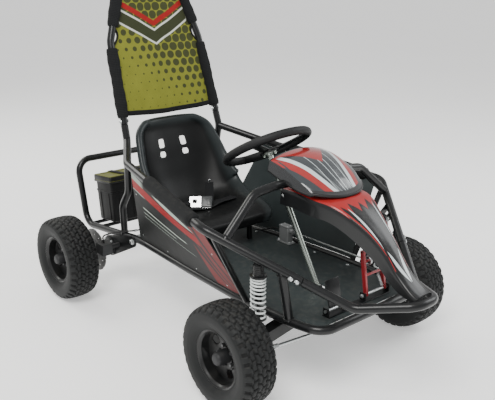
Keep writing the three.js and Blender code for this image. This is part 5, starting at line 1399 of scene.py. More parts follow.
@dataclass
class TubeFrame:
    """The welded tube frame: rails, cross tubes, side frames, loops, hoops and rack."""

    plan: KartPlan
    post_share: float = 0.525
    post_foot: tuple[float, float, float] = (240.0, -85.0, 250.0)
    pivot_x: float = 75.0
    pivot_z: float = 208.0
    pivot_gap: float = 30.3
    bracket: float = 5.0
    cross_rows: tuple[float, float] = (750.0, 0.0)
    rack_rows: tuple[float, float] = (1128.0, 1216.0)
    lug_half: float = 16.3
    lug: float = 4.0
    seat_half: float = 124.0
    seat_rows: tuple[float, float] = (520.0, 690.0)
    seat_tops: tuple[float, float] = (366.4, 353.4)

    def build(self) -> None:
        """Makes every tube piece."""
        self.lower()
        for side in Side:
            self.side(side)
        self.loop()
        self.hoop()
        self.rack()
        self.roll_bar()

    @staticmethod
    def both(left: Sequence[Place]) -> list[Array]:
        """Left-hand corners followed by their right-hand twins, as one way round."""
        places = [np.array(place) for place in left]
        return places + [place * np.array([-1, 1, 1]) for place in places[::-1]]

    def lower(self) -> None:
        """The lower frame with its cross tubes, brackets and hangers."""
        plan = self.plan
        z = plan.cross_z
        forms = [tube(self.both(plan.rails), plan.radius)]
        for y in (*self.seat_rows, *self.cross_rows):
            reach = plan.rail_x(y)
            forms.append(tube([(-reach, y, z), (reach, y, z)], plan.brace))
            for side in Side:
                way = (side.value, 0, 0)
                forms.append(weld((side.value * (reach - plan.radius * 0.9), y, z), way, plan.brace))
        for y, top in zip(self.seat_rows, self.seat_tops):
            half = self.seat_half
            corners = [(-half, y, z), (-half, y, top), (half, y, top), (half, y, z)]
            forms.append(tube(corners, plan.brace, plan.bend / 2))
        bolts: list[Form] = []
        end = self.pivot_gap + self.bracket
        outer = plan.hanger_x + plan.hanger
        for side in Side:
            pivot = side.value * self.pivot_x
            for start in (self.pivot_gap, -end):
                forms.append(prism(link((pivot, self.pivot_z), 16, (pivot, z), 10), "y", start, self.bracket))
            forms.append(tube([(pivot, -end, z), (pivot, end, z)], plan.brace))
            bolts += [hex_bolt((pivot, way * end, self.pivot_z), (0, way, 0), 13, 7) for way in (1, -1)]
            start = plan.hanger_x if side is Side.LEFT else -outer
            forms.append(prism(link((830.0, 232.0), 22, (plan.wheelbase, plan.axle_z), 44), "x", start, plan.hanger))
            bolts.append(hex_bolt((side.value * outer, 830, 232), (side.value, 0, 0), 17, 8))
        lean = plan.column[2]
        bearing = np.array(plan.hub) + lean * (z - plan.hub[2]) / lean[2]
        forms.append(lathe([(10.8, -16), (16, -16), (16, 16), (10.8, 16)], bearing, lean, 32, wrap=True))
        form = merged(forms + finished(bolts, 1))
        make("lower_frame_tubes", form, [BLACK_COAT, ZINC], "chassis", ["lower_frame"])

    def side(self, side: Side) -> None:
        """One side frame: stay, stub, arm rail, front rail, post, panel tube and shock bracket.

        Args:
            side: the side of the kart.
        """
        plan = self.plan
        sign = side.value
        stay = [
            (sign * 200, 920, plan.rack_z(920)),
            (sign * 206, 914, 360),
            (sign * 206, 863, 430),
            plan.on(side, plan.stub),
            plan.leg_start(side),
        ]
        rail = [plan.on(side, plan.stub), plan.on(side, plan.arm_rear), plan.on(side, plan.arm_front)]
        rail.append(plan.front_rail(side, plan.clamp_share))
        post_top = plan.front_rail(side, self.post_share)
        post_foot = plan.on(side, self.post_foot)
        forms = [
            tube(stay, plan.radius),
            tube(rail, plan.radius),
            tube([post_top, post_foot], plan.radius),
            tube([plan.front_rail(side, 0.06), (sign * 248, 100, 250)], plan.brace),
        ]
        down = unit(post_foot - post_top)
        forms.append(weld(post_top + down * plan.radius * 0.9, down, plan.radius))
        forms.append(weld(post_foot - down * plan.radius * 0.9, down, plan.radius))
        along = unit(plan.front_rail(side, 1) - plan.front_rail(side, 0))
        forms.append(tube([plan.leg_start(side), plan.leg_start(side) + self.leg_way(side) * 40], 11.4))
        x, z = sign * plan.shock_x, plan.shock_z
        edge = self.lug_half + self.lug / 2
        bolts = [hex_bolt((x, way * edge, z), (0, way, 0), 13, 6) for way in (1, -1)]
        for middle in (self.lug_half, -self.lug_half):
            above = plan.front_rail(side, (plan.arm_front[1] - middle) / (plan.arm_front[1] - plan.rail_end[1]))
            forms.append(prism(link((x, z), 13, (above[0], above[2]), 13), "y", middle - self.lug / 2, self.lug))
        for share in (0.3, 0.75):
            centre = plan.front_rail(side, plan.clamp_share) - along * share * 44
            outward = unit(np.array([sign, 0, 0]) - along * along[0] * sign)
            bolts.append(dome_bolt(centre + outward * (plan.radius - 0.5), outward, 8.5, 6))
        form = merged(forms + finished(bolts, 1))
        name = "side_frame_" + side.word
        make(name + "_tubes", form, [BLACK_COAT, ZINC], "chassis", [name])

    def leg_way(self, side: Side) -> Array:
        """The direction of the roll bar's foot."""
        return unit(self.plan.on(side, self.plan.sleeve) - self.plan.on(side, self.plan.stub))

    def loop(self) -> None:
        """The bumper loop round the nose."""
        plan = self.plan
        along = unit(plan.front_rail(Side.LEFT, 1) - plan.front_rail(Side.LEFT, 0))
        clamp = plan.front_rail(Side.LEFT, plan.clamp_share) + along * 1.2
        corners = self.both([clamp, plan.rail_end, (42.0, -398.0, 352.0)])
        make("bumper_loop_tube", tube(corners, plan.radius), [BLACK_COAT], "chassis", ["front_bumper_loop"])

    def hoop(self) -> None:
        """The hoop over the knees."""
        foot = self.plan.front_rail(Side.LEFT, 0.145)
        corners = self.both([foot, (241.0, 76.0, 613.0), self.plan.knee])
        feet = {s: foot * np.array([s, 1, 1]) + np.array([-s * 9, 0, 7]) for s in (1, -1)}
        welds = [weld(place, (s * 0.75, 0, -0.6), 13.5) for s, place in feet.items()]
        form = merged([tube(corners, self.plan.radius), *welds])
        make("knee_hoop_tube", form, [BLACK_COAT], "chassis", ["knee_hoop"])

    def rack(self) -> None:
        """The rear rack and its two bars."""
        plan = self.plan
        corners = self.both([(200.0, 843.5, 240.0), (200.0, *plan.rack_rear), (200.0, 1290.0, 472.0)])
        forms = [tube(corners, plan.radius)]
        for y in self.rack_rows:
            z = plan.rack_z(y)
            forms.append(tube([(-196, y, z), (196, y, z)], plan.rack_bar))
            forms += [weld((s * 187, y, z), (s, 0, 0), plan.rack_bar, 2.2) for s in (1, -1)]
        make("rear_rack_tubes", merged(forms), [BLACK_COAT], "chassis", ["rear_rack"])

    def roll_bar(self) -> None:
        """The roll bar, with its two feet bolted over their stubs."""
        plan = self.plan
        foot = plan.leg_start(Side.LEFT) + self.leg_way(Side.LEFT) * 0.6
        corners = self.both([foot, plan.sleeve, plan.top])
        bolts = []
        for side in Side:
            for reach in (14.0, 34.0):
                centre = plan.leg_start(side) + self.leg_way(side) * reach
                for way in (1, -1):
                    bolts.append(hex_bolt(centre + np.array([way * (plan.radius - 0.6), 0, 0]), (way, 0, 0), 11, 5))
        form = merged([tube(corners, plan.radius, 90.0), *finished(bolts, 1)])
        make("roll_bar_tube", form, [BLACK_COAT, ZINC], "chassis", ["roll_bar"])


@dataclass
class FlagCloth:
    """The printed cloth between the roll bar's legs, with its bindings and its padded sleeves."""

    plan: KartPlan
    low: float = 736.0
    sleeve_top: float = 975.0
    upper_low: float = 1055.0
    high: float = 1300.0
    cut: float = 24.0
    fold: float = 5.0
    dip: float = 10.0
    tape: tuple[float, float] = (5.0, 11.0)
    hem: tuple[float, float] = (5.0, 19.0)
    sleeve: float = 19.5
    oval: tuple[float, float] = (1.0, 1.16)
    wall: float = 1.6

    def surface(self, across: Array, up: Array) -> Array:
        """The cloth: its edge follows the leg, is cut in between the sleeves, and it bellies in a slow wave.

        Args:
            across: shares of the width.
            up: shares of the height.

        Returns:
            The places on the cloth.
        """
        off = 2 * across - 1
        z = self.low + (self.high - self.low) * up
        leg = self.plan.leg(Side.LEFT, z)
        share = np.clip((z - self.sleeve_top) / (self.upper_low - self.sleeve_top), 0, 1)
        half = leg[..., 0] - self.cut * np.sin(np.pi * share)
        belly = self.fold * np.sin(2 * np.pi * (off + 0.4 * up)) * (1 - off**2)
        sag = self.dip * (1 - off**2) * np.clip(1 - up / 0.35, 0, 1)
        tremble = 0.8 * np.sin(17 * off + 9 * up) * (1 - off**2)
        return np.stack([half * off, leg[..., 1] + belly + tremble, z - sag], -1)

    def build(self) -> None:
        """Makes the cloth, the bindings and the sleeves."""
        across, up = np.linspace(0, 1, 61), np.linspace(0, 1, 97)
        form = skin(self.surface, across, up, self.wall)
        place = form.points
        form.map = np.stack([place[:, 0], place[:, 2] - self.low], 1) * METRE
        cloth = make("flag_cloth_panel", form, [FLAG], "chassis", ["flag_cloth"], angle=60)
        bindings = make("flag_bindings", self.bindings(), [CLOTH_BLACK], "chassis")
        sleeves = make("flag_sleeves", self.sleeves(), [CLOTH_BLACK], "chassis")
        corner = self.surface(np.array([[0.0, 1.0]]), np.array([[0.0, 0.0]]))
        grid = self.surface(*np.meshgrid(across, up))

    def bindings(self) -> Form:
        """Narrow black tapes round the cloth's free edges.

        Returns:
            The tapes as one form.
        """
        tape, broad = rounded_outline(*self.tape, 2.2), rounded_outline(*self.hem, 2.2)
        share = np.linspace(0, 1, 60)
        hem = self.surface(share, np.zeros_like(share)) + np.array([0, -0.5, 5.0])
        top = self.surface(share, np.ones_like(share)) + np.array([0, -0.5, -3.0])
        forms = [sweep(hem, broad), sweep(top, tape)]
        rise = np.linspace(self.sleeve_top - 6, self.upper_low + 6, 30)
        up = (rise - self.low) / (self.high - self.low)
        for edge in (0.0, 1.0):
            line = self.surface(np.full_like(up, edge), up)
            line[:, 0] += (1 if edge == 0 else -1) * 3.0
            forms.append(sweep(line, tape))
        return merged(forms)

    def sleeves(self) -> Form:
        """Padded sleeves round the legs: an oval whose size swells and gathers along the leg.

        Returns:
            The sleeves as one form.
        """
        forms = []
        for side in Side:
            for low, high in ((self.low - 10, self.sleeve_top), (self.upper_low, self.high + 6)):
                z = np.linspace(low, high, 48)
                share = (z - low) / (high - low)
                gather = 1 + 0.03 * np.sin(share * 40) + 0.05 * np.sin(share * 11 + side.value)
                ends = 1 - 0.12 * (np.exp(-share * 30) + np.exp(-(1 - share) * 30))
                oval = circle(24) * np.array(self.oval) * self.sleeve
                forms.append(sweep(self.plan.leg(side, z), oval, gather * ends))
        return merged(forms)


@dataclass
class BucketSeat:
    """The moulded bucket seat with its rolled rim and slots, and the lap belt on it."""

    front: float = 452.0
    depth: float = 430.0
    base: float = 345.0
    height: float = 345.0
    half: float = 200.0
    lift: float = 110.0
    wall: float = 5.0
    bow: float = 9.0
    roll: float = 13.0
    roll_share: float = 0.06
    bead: float = 9.0
    slot_x: float = 56.0
    slot_half: float = 15.0
    slot_rows: tuple[float, ...] = (549.0, 571.0, 585.0, 619.0)
    slot_corner: float = 0.006
    belt_row: float = 0.34
    strap: tuple[float, float] = (38.0, 2.4)
    depths: tuple[float, ...] = (0, 0.01, 0.12, 0.34, 0.55, 0.7, 0.8, 0.865, 0.915, 0.965, 1.0)
    heights: tuple[float, ...] = (0, 0.075, 0.11, 0.085, 0.07, 0.12, 0.29, 0.5, 0.7, 0.88, 1.0)
    widths: tuple[float, ...] = (0.78, 0.84, 0.9, 0.96, 1.0, 1.0, 0.98, 0.96, 0.9, 0.8, 0.56)
    lifts: tuple[float, ...] = (0.0, 0.04, 0.1, 0.26, 0.66, 0.95, 0.86, 0.62, 0.46, 0.34, 0.2)

    def centre(self, v: Array) -> Array:
        """The seat's middle line from its front lip to its top."""
        y = self.front + self.depth * table_value(self.depths, v)
        return np.stack([np.zeros_like(y), y, self.base + self.height * table_value(self.heights, v)], -1)

    def shell(self, u: Array, v: Array) -> Array:
        """The shell: the middle line, raised along its normal by the cube of the share across; the top's ends sag.

        Args:
            u: shares across.
            v: shares along.

        Returns:
            The places on the shell.
        """
        along = unit(self.centre(np.minimum(v + 0.07, 1)) - self.centre(np.maximum(v - 0.07, 0)))
        facing = np.stack([np.zeros_like(u), -along[..., 2], along[..., 1]], -1)
        off = 2 * u - 1
        rise = self.lift * table_value(self.lifts, v) * np.abs(off) ** 3
        half = self.half * table_value(self.widths, v)
        sag = self.bow * np.abs(off) ** 3 * np.clip((v - 0.82) / 0.18, 0, 1) ** 2
        return self.centre(v) + facing * rise[..., None] + np.stack([half * off, np.zeros_like(u), -sag], -1)

    def surface(self, u: Array, v: Array) -> Array:
        """The shell, its edges rolled over outwards: past an edge the shell turns back along a small circle.

        Args:
            u: shares across, beyond 0 and 1 on the rolled edges.
            v: shares along, likewise.

        Returns:
            The places on the shell and its edges.
        """
        inner_u, inner_v = np.clip(u, 0, 1), np.clip(v, 0, 1)
        place = self.shell(inner_u, inner_v)
        step = 1e-3
        more_u, less_u = np.minimum(inner_u + step, 1), np.maximum(inner_u - step, 0)
        more_v, less_v = np.minimum(inner_v + step, 1), np.maximum(inner_v - step, 0)
        du = unit(self.shell(more_u, inner_v) - self.shell(less_u, inner_v))
        dv = unit(self.shell(inner_u, more_v) - self.shell(inner_u, less_v))
        normal = unit(np.cross(du, dv))
        out_u, out_v = unit(np.cross(dv, normal)), unit(np.cross(normal, du))
        over_u, over_v = (u - inner_u) / self.roll_share, (v - inner_v) / self.roll_share
        angle = (np.maximum(np.abs(over_u), np.abs(over_v)) * np.pi * 0.8)[..., None]
        way = unit(over_u[..., None] * out_u + over_v[..., None] * out_v + 1e-9 * normal)
        near = self.near(inner_u, inner_v)
        bead = self.bead * near * near * (3 - 2 * near)
        place = place + bead[..., None] * normal
        return place + self.roll * (np.sin(angle) * way - (1 - np.cos(angle)) * normal)

    @staticmethod
    def near(u: Array, v: Array) -> Array:
        """How near a place is to the sides or the top, from 0 to 1 over the raised rim's width."""
        side, top = (np.abs(2 * u - 1) - 0.80) / 0.17, (v - 0.905) / 0.08
        return np.clip(np.sqrt(np.clip(side, 0, 1) ** 2 + np.clip(top, 0, 1) ** 2), 0, 1)

    def lines(self, count: int, taken: Array) -> Array:
        """Even shares and those of the rolled edges, with the taken ones in place of their near neighbours.

        Args:
            count: how many even shares.
            taken: the shares kept exactly.

        Returns:
            The shares.
        """
        grid, edge = np.linspace(0, 1, count), np.linspace(0.1, 1, 9) * self.roll_share
        grid = grid[np.abs(grid[:, None] - taken[None]).min(axis=1) > 0.009]
        return np.unique(np.concatenate([grid, taken, 1 + edge, -edge]).round(4))

    def build(self) -> None:
        """Makes the shell and the belt."""
        share = np.linspace(0.5, 0.95, 400)
        rows = np.interp((np.array(self.slot_rows) - self.base) / self.height, table_value(self.heights, share), share)
        reach = np.array([self.slot_x - self.slot_half, self.slot_x + self.slot_half]) / (1.93 * self.half)
        corners = np.concatenate([reach[:1] + 0.008, reach[1:] - 0.008])
        slots = np.concatenate([0.5 - reach, 0.5 + reach, 0.5 - corners, 0.5 + corners])
        ends = np.concatenate([rows, rows + np.array([1, -1, 1, -1]) * self.slot_corner])
        across, along = self.lines(41, slots), self.lines(61, ends)
        middle_u, middle_v = (across[1:] + across[:-1]) / 2, (along[1:] + along[:-1]) / 2
        off = np.abs(middle_u - 0.5)
        in_u, in_end = (off > reach[0]) & (off < reach[1]), (off > corners[0]) & (off < corners[1])
        keep = np.ones((len(middle_v), len(middle_u)), bool)
        for low, high in (rows[:2], rows[2:]):
            in_v = (middle_v > low) & (middle_v < high)
            deep = (middle_v > low + self.slot_corner) & (middle_v < high - self.slot_corner)
            keep &= ~((in_v[:, None] & in_end[None, :]) | (deep[:, None] & in_u[None, :]))
        form = skin(self.surface, across, along, self.wall, keep)
        over = np.abs(form.map - np.clip(form.map, 0, 1)).max(axis=1)
        inside = np.clip(form.map, 0, 1)
        form.mark = np.clip(over / self.roll_share, 0, 1) + self.near(inside[:, 0], inside[:, 1])
        make("seat_bucket", form, [SEAT_PLASTIC], "chassis", ["seat_shell"], angle=50, bevel=1.2)
        self.belt()

    def half_belt(self, side: Side) -> Form:
        """One half of the belt: a strap that rises a little off the pan by the square of a sine, and bows back.

        Args:
            side: the side of the kart.

        Returns:
            The strap.
        """
        share = np.linspace(0.03, 0.36, 24)
        lift = np.sin(np.pi * (share - 0.03) / 0.33)
        path = self.shell(0.5 + side.value * share, np.full_like(share, self.belt_row)) + np.array([0, 0, 7.0])
        path[:, 2] += 6.0 * lift**2
        path[:, 1] += 10.0 * lift
        ahead = np.array([0, 1, 0])
        up = unit(np.cross(unit(np.gradient(path, axis=0)), ahead) * side.value * -1)
        section = rounded_outline(*self.strap, 1.0, 2)
        ring = path[:, None] + section[None, :, :1] * ahead + section[None, :, 1:] * up[:, None]
        form = rings(ring if side is Side.RIGHT else ring[:, ::-1])
        form.map = np.stack([form.map[:, 0], form.points[:, 0] * METRE], 1)
        return form

    def belt(self) -> None:
        """The lap belt: a strap from each side of the pan, the buckle, and its tongue with a hole."""
        base = self.shell(np.array(0.5), np.array(self.belt_row))
        across, back, out = tilt = np.array([[0.759, -0.651, 0.0], [0.418, 0.488, 0.766], [-0.499, -0.581, 0.643]])
        place = base + np.array([8, 4, 25])
        turn = np.linspace(0, 1, 30)
        thick = self.strap[1]
        section = rounded_outline(thick, 34.0, thick * 0.45, 2)
        rise = np.stack([42 + 14 * turn, 30 + 20 * turn, 6 + 82 * turn**1.2], 1) + base
        left = [
            self.half_belt(Side.LEFT),
            soft_box((44, 50, 20), place, 5, tilt).finished(1),
            soft_box((14, 26, 3), place + 8 * across + 10 * out, 1.2, tilt).finished(1),
            soft_box((38, 1.6, 14), place - 25.4 * back, 0.7, tilt).finished(2),
            sweep(rise, section),
            soft_box((10, 5, 16), rise[-1] + np.array([0, 0, 4]), 1.2).finished(2),
        ]
        outline, hole = rounded_outline(50, 44, 5), rounded_outline(17, 16, 3) - np.array([4, -2])
        plates = [laid(edge, height) for edge, height in ((outline, 0.0), (outline, 2.5), (hole, 2.5), (hole, 0.0))]
        tongue = rings(np.stack(plates) @ tilt + place - 42 * across + 4 * out, wrap=True).finished(2)
        loop = np.stack([-58 - 40 * turn, 22 + 34 * turn, 26 + 12 * np.sin(turn * np.pi) - 14 * turn], 1) + base
        right = [self.half_belt(Side.RIGHT), tongue, sweep(loop, section)]
        for side, forms in ((Side.LEFT, left), (Side.RIGHT, right)):
            name = "lap_belt_" + side.word
            finishes = [STRAP, BUCKLE, CHROME]
            make(name + "_strap", merged(forms), finishes, "chassis", [name], angle=40)


@dataclass
class Bodywork:
    """The hood, the nose cone, the side panels, the floor and the arm pads."""

    plan: KartPlan
    hood_back: float = 140.0
    hood_front: float = -95.0
    hood_corner: float = 60.0
    hood_half: float = 126.0
    hood_low: float = 604.0
    hood_rise: float = 99.0
    nose_back: Point = (99.0, 105.0, 608.6)
    nose_tip: Point = (34.0, -384.0, 369.0)
    skirt: float = 70.0
    wall: float = 3.5
    panel_ends: tuple[float, float] = (780.0, 104.0)
    panel_shares: tuple[float, float] = (0.06, 0.965)
    panel_gap: float = 14.6
    panel_wall: float = 2.6
    pad_shares: tuple[float, float] = (0.31, 0.90)

    def build(self) -> None:
        """Makes every cover."""
        self.hood()
        self.nose()
        for side in Side:
            self.panel(side)
            self.pad(side)
        self.floor()

    def hood_surface(self, u: Array, v: Array) -> Array:
        """The hood: a crown, its sides and its turned down rim from tables, behind a front edge rounded by a power.

        Args:
            u: shares across.
            v: shares along.

        Returns:
            The places on the hood.
        """
        off = np.abs(2 * u - 1)
        y = self.hood_back + (self.hood_front + self.hood_corner * off**2.5 - self.hood_back) * v
        crown = table_value((0.98, 0.95, 0.74, 0.37, 0.0), v)
        edge = table_value((0.8, 0.73, 0.58, 0.37, 0.1), v)
        rim = table_value((0.5, 0.38, 0.26, 0.15, 0.06), v)
        share = crown + (edge - crown) * np.minimum(off / 0.94, 1) ** 2
        share = share + (rim - share) * np.maximum(off - 0.94, 0) / 0.06
        half = self.hood_half * table_value((0.98, 1.0, 1.0, 0.99, 0.9), v)
        return np.stack([half * (2 * u - 1), y, self.hood_low + self.hood_rise * share], -1)

    def hood(self) -> None:
        """The printed hood with a rolled rubber rim."""
        share = np.linspace(0, 1, 49)
        across = np.unique(np.concatenate([share, [0.03, 0.97]]))
        form = skin(self.hood_surface, across, share, self.wall)
        form.numbers[0] = 1
        edge = np.linspace(0, 1, 30)
        ones = np.ones_like(edge)
        ways = ((edge, ones * 0), (ones, edge), (edge[::-1], ones), (ones * 0, edge[::-1]))
        border = np.concatenate([self.hood_surface(u, v)[:-1] for u, v in ways])
        rim = sweep(border + np.array([0, 0, -1.5]), circle(10) * 4.6, wrap=True).finished(1)
        make("nose_hood_print", merged([form, rim]), [HOOD_PRINT, HOSE], "chassis", ["nose_hood"])

    def nose_surface(self, u: Array, v: Array) -> Array:
        """The nose: a narrowing spine whose edges turn down into skirts.

        Args:
            u: shares across.
            v: shares along.

        Returns:
            The places on the nose.
        """
        (back_half, back_y, back_z), (tip_half, tip_y, tip_z) = self.nose_back, self.nose_tip
        y = back_y + (tip_y - back_y) * v
        crown = back_z + (tip_z - back_z) * table_value((0, 0, 0.03, 0.07, 0.23, 0.47, 0.8, 1), v)
        half = back_half + (tip_half - back_half) * table_value((0.03, 0, 0, 0.2, 0.63, 0.94, 1.05, 1), v)
        skirt = self.skirt * table_value((0.94, 0.94, 0.92, 0.9, 1, 1, 0.72, 0.2), v)
        shares = np.linspace(0, 1, 7)
        across = np.interp(u, shares, (-1.06, -1, -0.62, 0, 0.62, 1, 1.06))
        fall = np.interp(u, shares, (1, 0.16, 0.05, 0, 0.05, 0.16, 1))
        return np.stack([half * across, y, crown - skirt * fall], -1)

    def nose(self) -> None:
        """The nose cone, softened over its edges, with its tip bolt."""
        share = np.linspace(0, 1, 55)
        across = np.linspace(0, 1, 61)

        def softened(u: Array, v: Array) -> Array:
            """The mean of nearby readings, which rounds the edges."""
            spread = (-0.035, -0.0175, 0.0, 0.0175, 0.035)
            return sum(self.nose_surface(np.clip(u + d, 0, 1), v) for d in spread) / len(spread)

        form = skin(softened, across, share, self.wall)
        form.numbers[0] = 2
        bolts = [dome_bolt((0, -368, 374.5), (0, -0.2, 1), 6.5, 4)]
        bolts += [dome_bolt((s * 101, 96, 575), (s, 0, 0.1), 6, 4) for s in (1, -1)]
        form = merged([form, *finished(bolts, 1)])
        make("nose_cone_print", form, [NOSE_PRINT, ZINC, HOSE], "chassis", ["nose_cone"])

    def panel(self, side: Side) -> None:
        """One side panel: a ruled sheet between the arm rail and the lower rail.

        Args:
            side: the side of the kart.
        """
        plan = self.plan
        rails = np.array(plan.rails)[::-1]

        def surface(u: Array, v: Array) -> Array:
            """Straight lines from the arm rail down to the lower rail.

            Args:
                u: shares along the rails.
                v: shares down the panel.

            Returns:
                The places on the panel.
            """
            start, end = plan.along_arm(side, 0), plan.along_arm(side, 1)
            share, y = (first + (last - first) * u for first, last in (self.panel_shares, self.panel_ends))
            top = start + (end - start) * share[..., None]
            x, z = (np.interp(y, rails[:, 1], rails[:, k]) for k in (0, 2))
            low = np.stack([side.value * x, y, z], -1)
            way = unit(low - top)
            top, low = top + way * self.panel_gap, low - way * self.panel_gap
            return top + (low - top) * v[..., None]

        across, down = np.linspace(0, 1, 41), np.linspace(0, 1, 13)
        form = skin(surface, across, down, self.panel_wall)
        form.numbers = [2] * len(form.faces)
        form.numbers[1 if side is Side.RIGHT else 0] = 0
        bolts = []
        for u, v in ((0.05, 0.9), (0.33, 0.93), (0.62, 0.93), (0.9, 0.9), (0.93, 0.4), (0.04, 0.3)):
            place = surface(np.array(u), np.array(v))
            bolts.append(dome_bolt(place + np.array([side.value * 0.2, 0, 0]), (side.value, 0, -0.3), 5, 3))
        name = "side_panel_" + side.word
        form = merged([form, *finished(bolts, 1)])
        make(name + "_print", form, [PANEL_PRINT, ZINC, SHEET_COAT], "chassis", [name])

    def pad(self, side: Side) -> None:
        """One arm pad: a foam tube that swells slightly and is rounded at its ends.

        Args:
            side: the side of the kart.
        """
        share = np.linspace(*self.pad_shares, 40)
        start, end = self.plan.along_arm(side, 0), self.plan.along_arm(side, 1)
        path = start + (end - start) * share[:, None]
        place = (share - share[0]) / (share[-1] - share[0])
        ends = np.sqrt(np.clip(np.minimum(place, 1 - place) / 0.03, 0, 1))
        scale = 15.2 + (7.6 + 0.5 * np.sin(place * 21)) * np.clip(ends, 0.05, 1)
        form = sweep(path, circle(28), scale)
        name = "arm_pad_" + side.word
        piece = make(name + "_foam", form, [FOAM], "chassis", [name])

    def floor(self) -> None:
        """The floor sheet's screws; the sheet is the packed one."""
        dress("floor_pan", SHEET_COAT)
        screws = []
        for side in Side:
            for y in (-60.0, 90.0, 250.0, 410.0, 560.0):
                x = side.value * (self.plan.rail_x(y) - 30.0)
                screws.append(dome_bolt((x, y, self.plan.floor_top), (0, 0, 1), 6.0, 3.0))
        for x in (-120.0, 0.0, 120.0):
            screws.append(dome_bolt((x, 518.0, self.plan.floor_top), (0, 0, 1), 5.0, 3.0))
        make("floor_screws", merged(screws), [ZINC], "chassis")


@dataclass
class SteeringGear:
    """The steering wheel, its column, the column's bearing, and the tie rods."""

    plan: KartPlan
    ring: float = 145.0
    grip: float = 15.0
    dish: float = 18.0
    length: float = 619.06
    spread: float = 21.0
    stud: float = 34.0
    arm: float = 45.0
    flange: float = 27.0
    spokes: int = 3
    spoke: tuple[float, float] = (26.0, 5.0)
    bearing_reach: float = 84.0
    knuckle_end: Point = (300.0, -70.0, 170.5)

    def placed(self, form: Form) -> Form:
        """A form in the column's frame, put in the kart."""
        return form.turned(self.plan.column.T).moved(*self.plan.hub)

    def build(self) -> None:
        """Makes the wheel, the column and the rods."""
        self.wheel()
        self.column()
        self.bearing()
        for side in Side:
            self.tie_rod(side)

    def wheel(self) -> None:
        """The foam ring and the three flat spokes."""
        angle = np.arange(120) / 120 * 2 * np.pi
        path = np.stack([self.ring * np.cos(angle), self.ring * np.sin(angle), np.zeros(120)], 1)
        scale = self.grip - 0.6 + 0.35 * np.sin(angle * 40) ** 8
        grip = self.placed(sweep(path, circle(20), scale, wrap=True))
        grip = make("wheel_grip", grip, [GRIP_FOAM], "steering", ["steering_grip"])
        forms = [lathe([(34, -5), (34, 0), (12, 0)], (0, 0, -self.dish), (0, 0, 1), 40)]
        for index in range(self.spokes):
            turn = math.pi / 2 + index * 2 * math.pi / self.spokes
            out = np.array([math.cos(turn), math.sin(turn), 0])
            start, end = np.array([0, 0, -self.dish - 2.5]), out * self.ring
            path = start + (end - start) * np.linspace(0.2, 0.94, 12)[:, None]
            forms.append(sweep(path, self.flat(path)))
        make("wheel_spokes", self.placed(merged(forms)), [BLACK_COAT], "steering", ["steering_spokes"])

    def flat(self, path: Array) -> Array:
        """A bar's section with its flat side along the wheel's face.

        Args:
            path: the bar's middle line.

        Returns:
            A ring of places for each point of the line.
        """
        way = unit(path[-1] - path[0])
        least = np.linalg.svd(np.tile(way, (2, 1)))[2][-1]
        side = unit(np.cross(way, least))
        turn = math.atan2(side[2], unit(np.cross(way, side))[2])
        return rounded_outline(*self.spoke, 1.2, 2) @ spin(turn)

    def column(self) -> None:
        """The bright column with its flange, pitman arm and studs."""
        low, top, arm = -self.length, -self.dish - 5.3, -self.arm
        shaft = [(9.0, low), (10, low + 1), (10, top - 5), (self.flange, top - 5), (self.flange, top), (5, top)]
        forms = [
            lathe(shaft, (0, 0, 0), (0, 0, 1), 28),
            prism(link((0, 0), 16, (0, arm), 11.2), "z", low, 6).finished(1),
            prism(link((-self.spread, arm), 9.6, (self.spread, arm), 9.6), "z", low, 6).finished(1),
        ]
        for s in (1, -1):
            forms.append(lathe([(4, -self.stud), (4, 0)], (s * self.spread, arm, low), (0, 0, 1), 16))
        for a in (0.6, 2.2, 3.8, 5.4):
            forms.append(hex_bolt((20 * math.cos(a), 20 * math.sin(a), top - 5), (0, 0, -1), 8, 4))
        for s in (1, -1):
            forms.append(hex_bolt((s * self.spread, arm, low + 6), (0, 0, 1), 11, 5))
        form = self.placed(merged(forms))
        make("steering_shaft", form, [BRIGHT_BAR, BLACK_COAT], "steering", ["steering_column"])

    def bearing(self) -> None:
        """The upper bearing on its bracket from the knee hoop."""
        low, high = -self.bearing_reach - 16, 16 - self.bearing_reach
        bush = [(10.6, low), (16, low), (16, high), (10.6, high)]
        ring = self.placed(lathe(bush, (0, 0, 0), (0, 0, 1), 32, wrap=True))
        centre = np.array(self.plan.hub) - self.plan.column[2] * self.bearing_reach
        near = np.array([0, *self.plan.knee[1:]])
        way = unit(centre - near)
        bracket = tube([near + way * 13.5, centre - way * 15.0], 10)
        form = merged([ring, bracket, weld(near + way * 15, way, 10), weld(centre - way * 17, way, 10, 2.2)])
        make("column_bearing", form, [BLACK_COAT], "chassis", ["column_bushing"])

    def tie_rod(self, side: Side) -> None:
        """One tie rod: a bar, a joint at the wheel and an open ring at the column.

        Args:
            side: the side of the kart.
        """
        plan = self.plan
        outer = plan.on(side, self.knuckle_end) + np.array([0, 0, plan.gap])
        end = np.array([side.value * self.spread, -self.arm, -self.length - self.stud / 2])
        inner = np.array(plan.hub) + plan.column.T @ end
        start = outer + np.array([0, 0, 6.7])
        way = unit(inner - start)
        ring_profile = [(13.4, -4), (16.8, -4), (16.8, 4), (13.4, 4)]
        angle = np.linspace(-0.45 * np.pi, 0.45 * np.pi, 9)
        joint = np.stack([10 * np.cos(angle), 6.6 + 6.6 * np.sin(angle)], 1)
        forms = [
            tube([start + way * 8, inner - way * 15.5], 5.2, 0, 20),
            lathe([(7.5, 0), (7.5, 16)], start + way * 12, way, 6),
            lathe([(7.5, 0), (7.5, 12)], inner - way * 37, way, 6),
            lathe(joint, outer, (0, 0, 1), 24),
            lathe(ring_profile, inner, plan.column[2], 32, wrap=True),
            hex_bolt(outer + np.array([0, 0, 13.6]), (0, 0, 1), 11, 5),
        ]
        name = "tie_rod_" + side.word
        make(name + "_bar", merged(forms), [ZINC], "tie_" + side.word, [name])


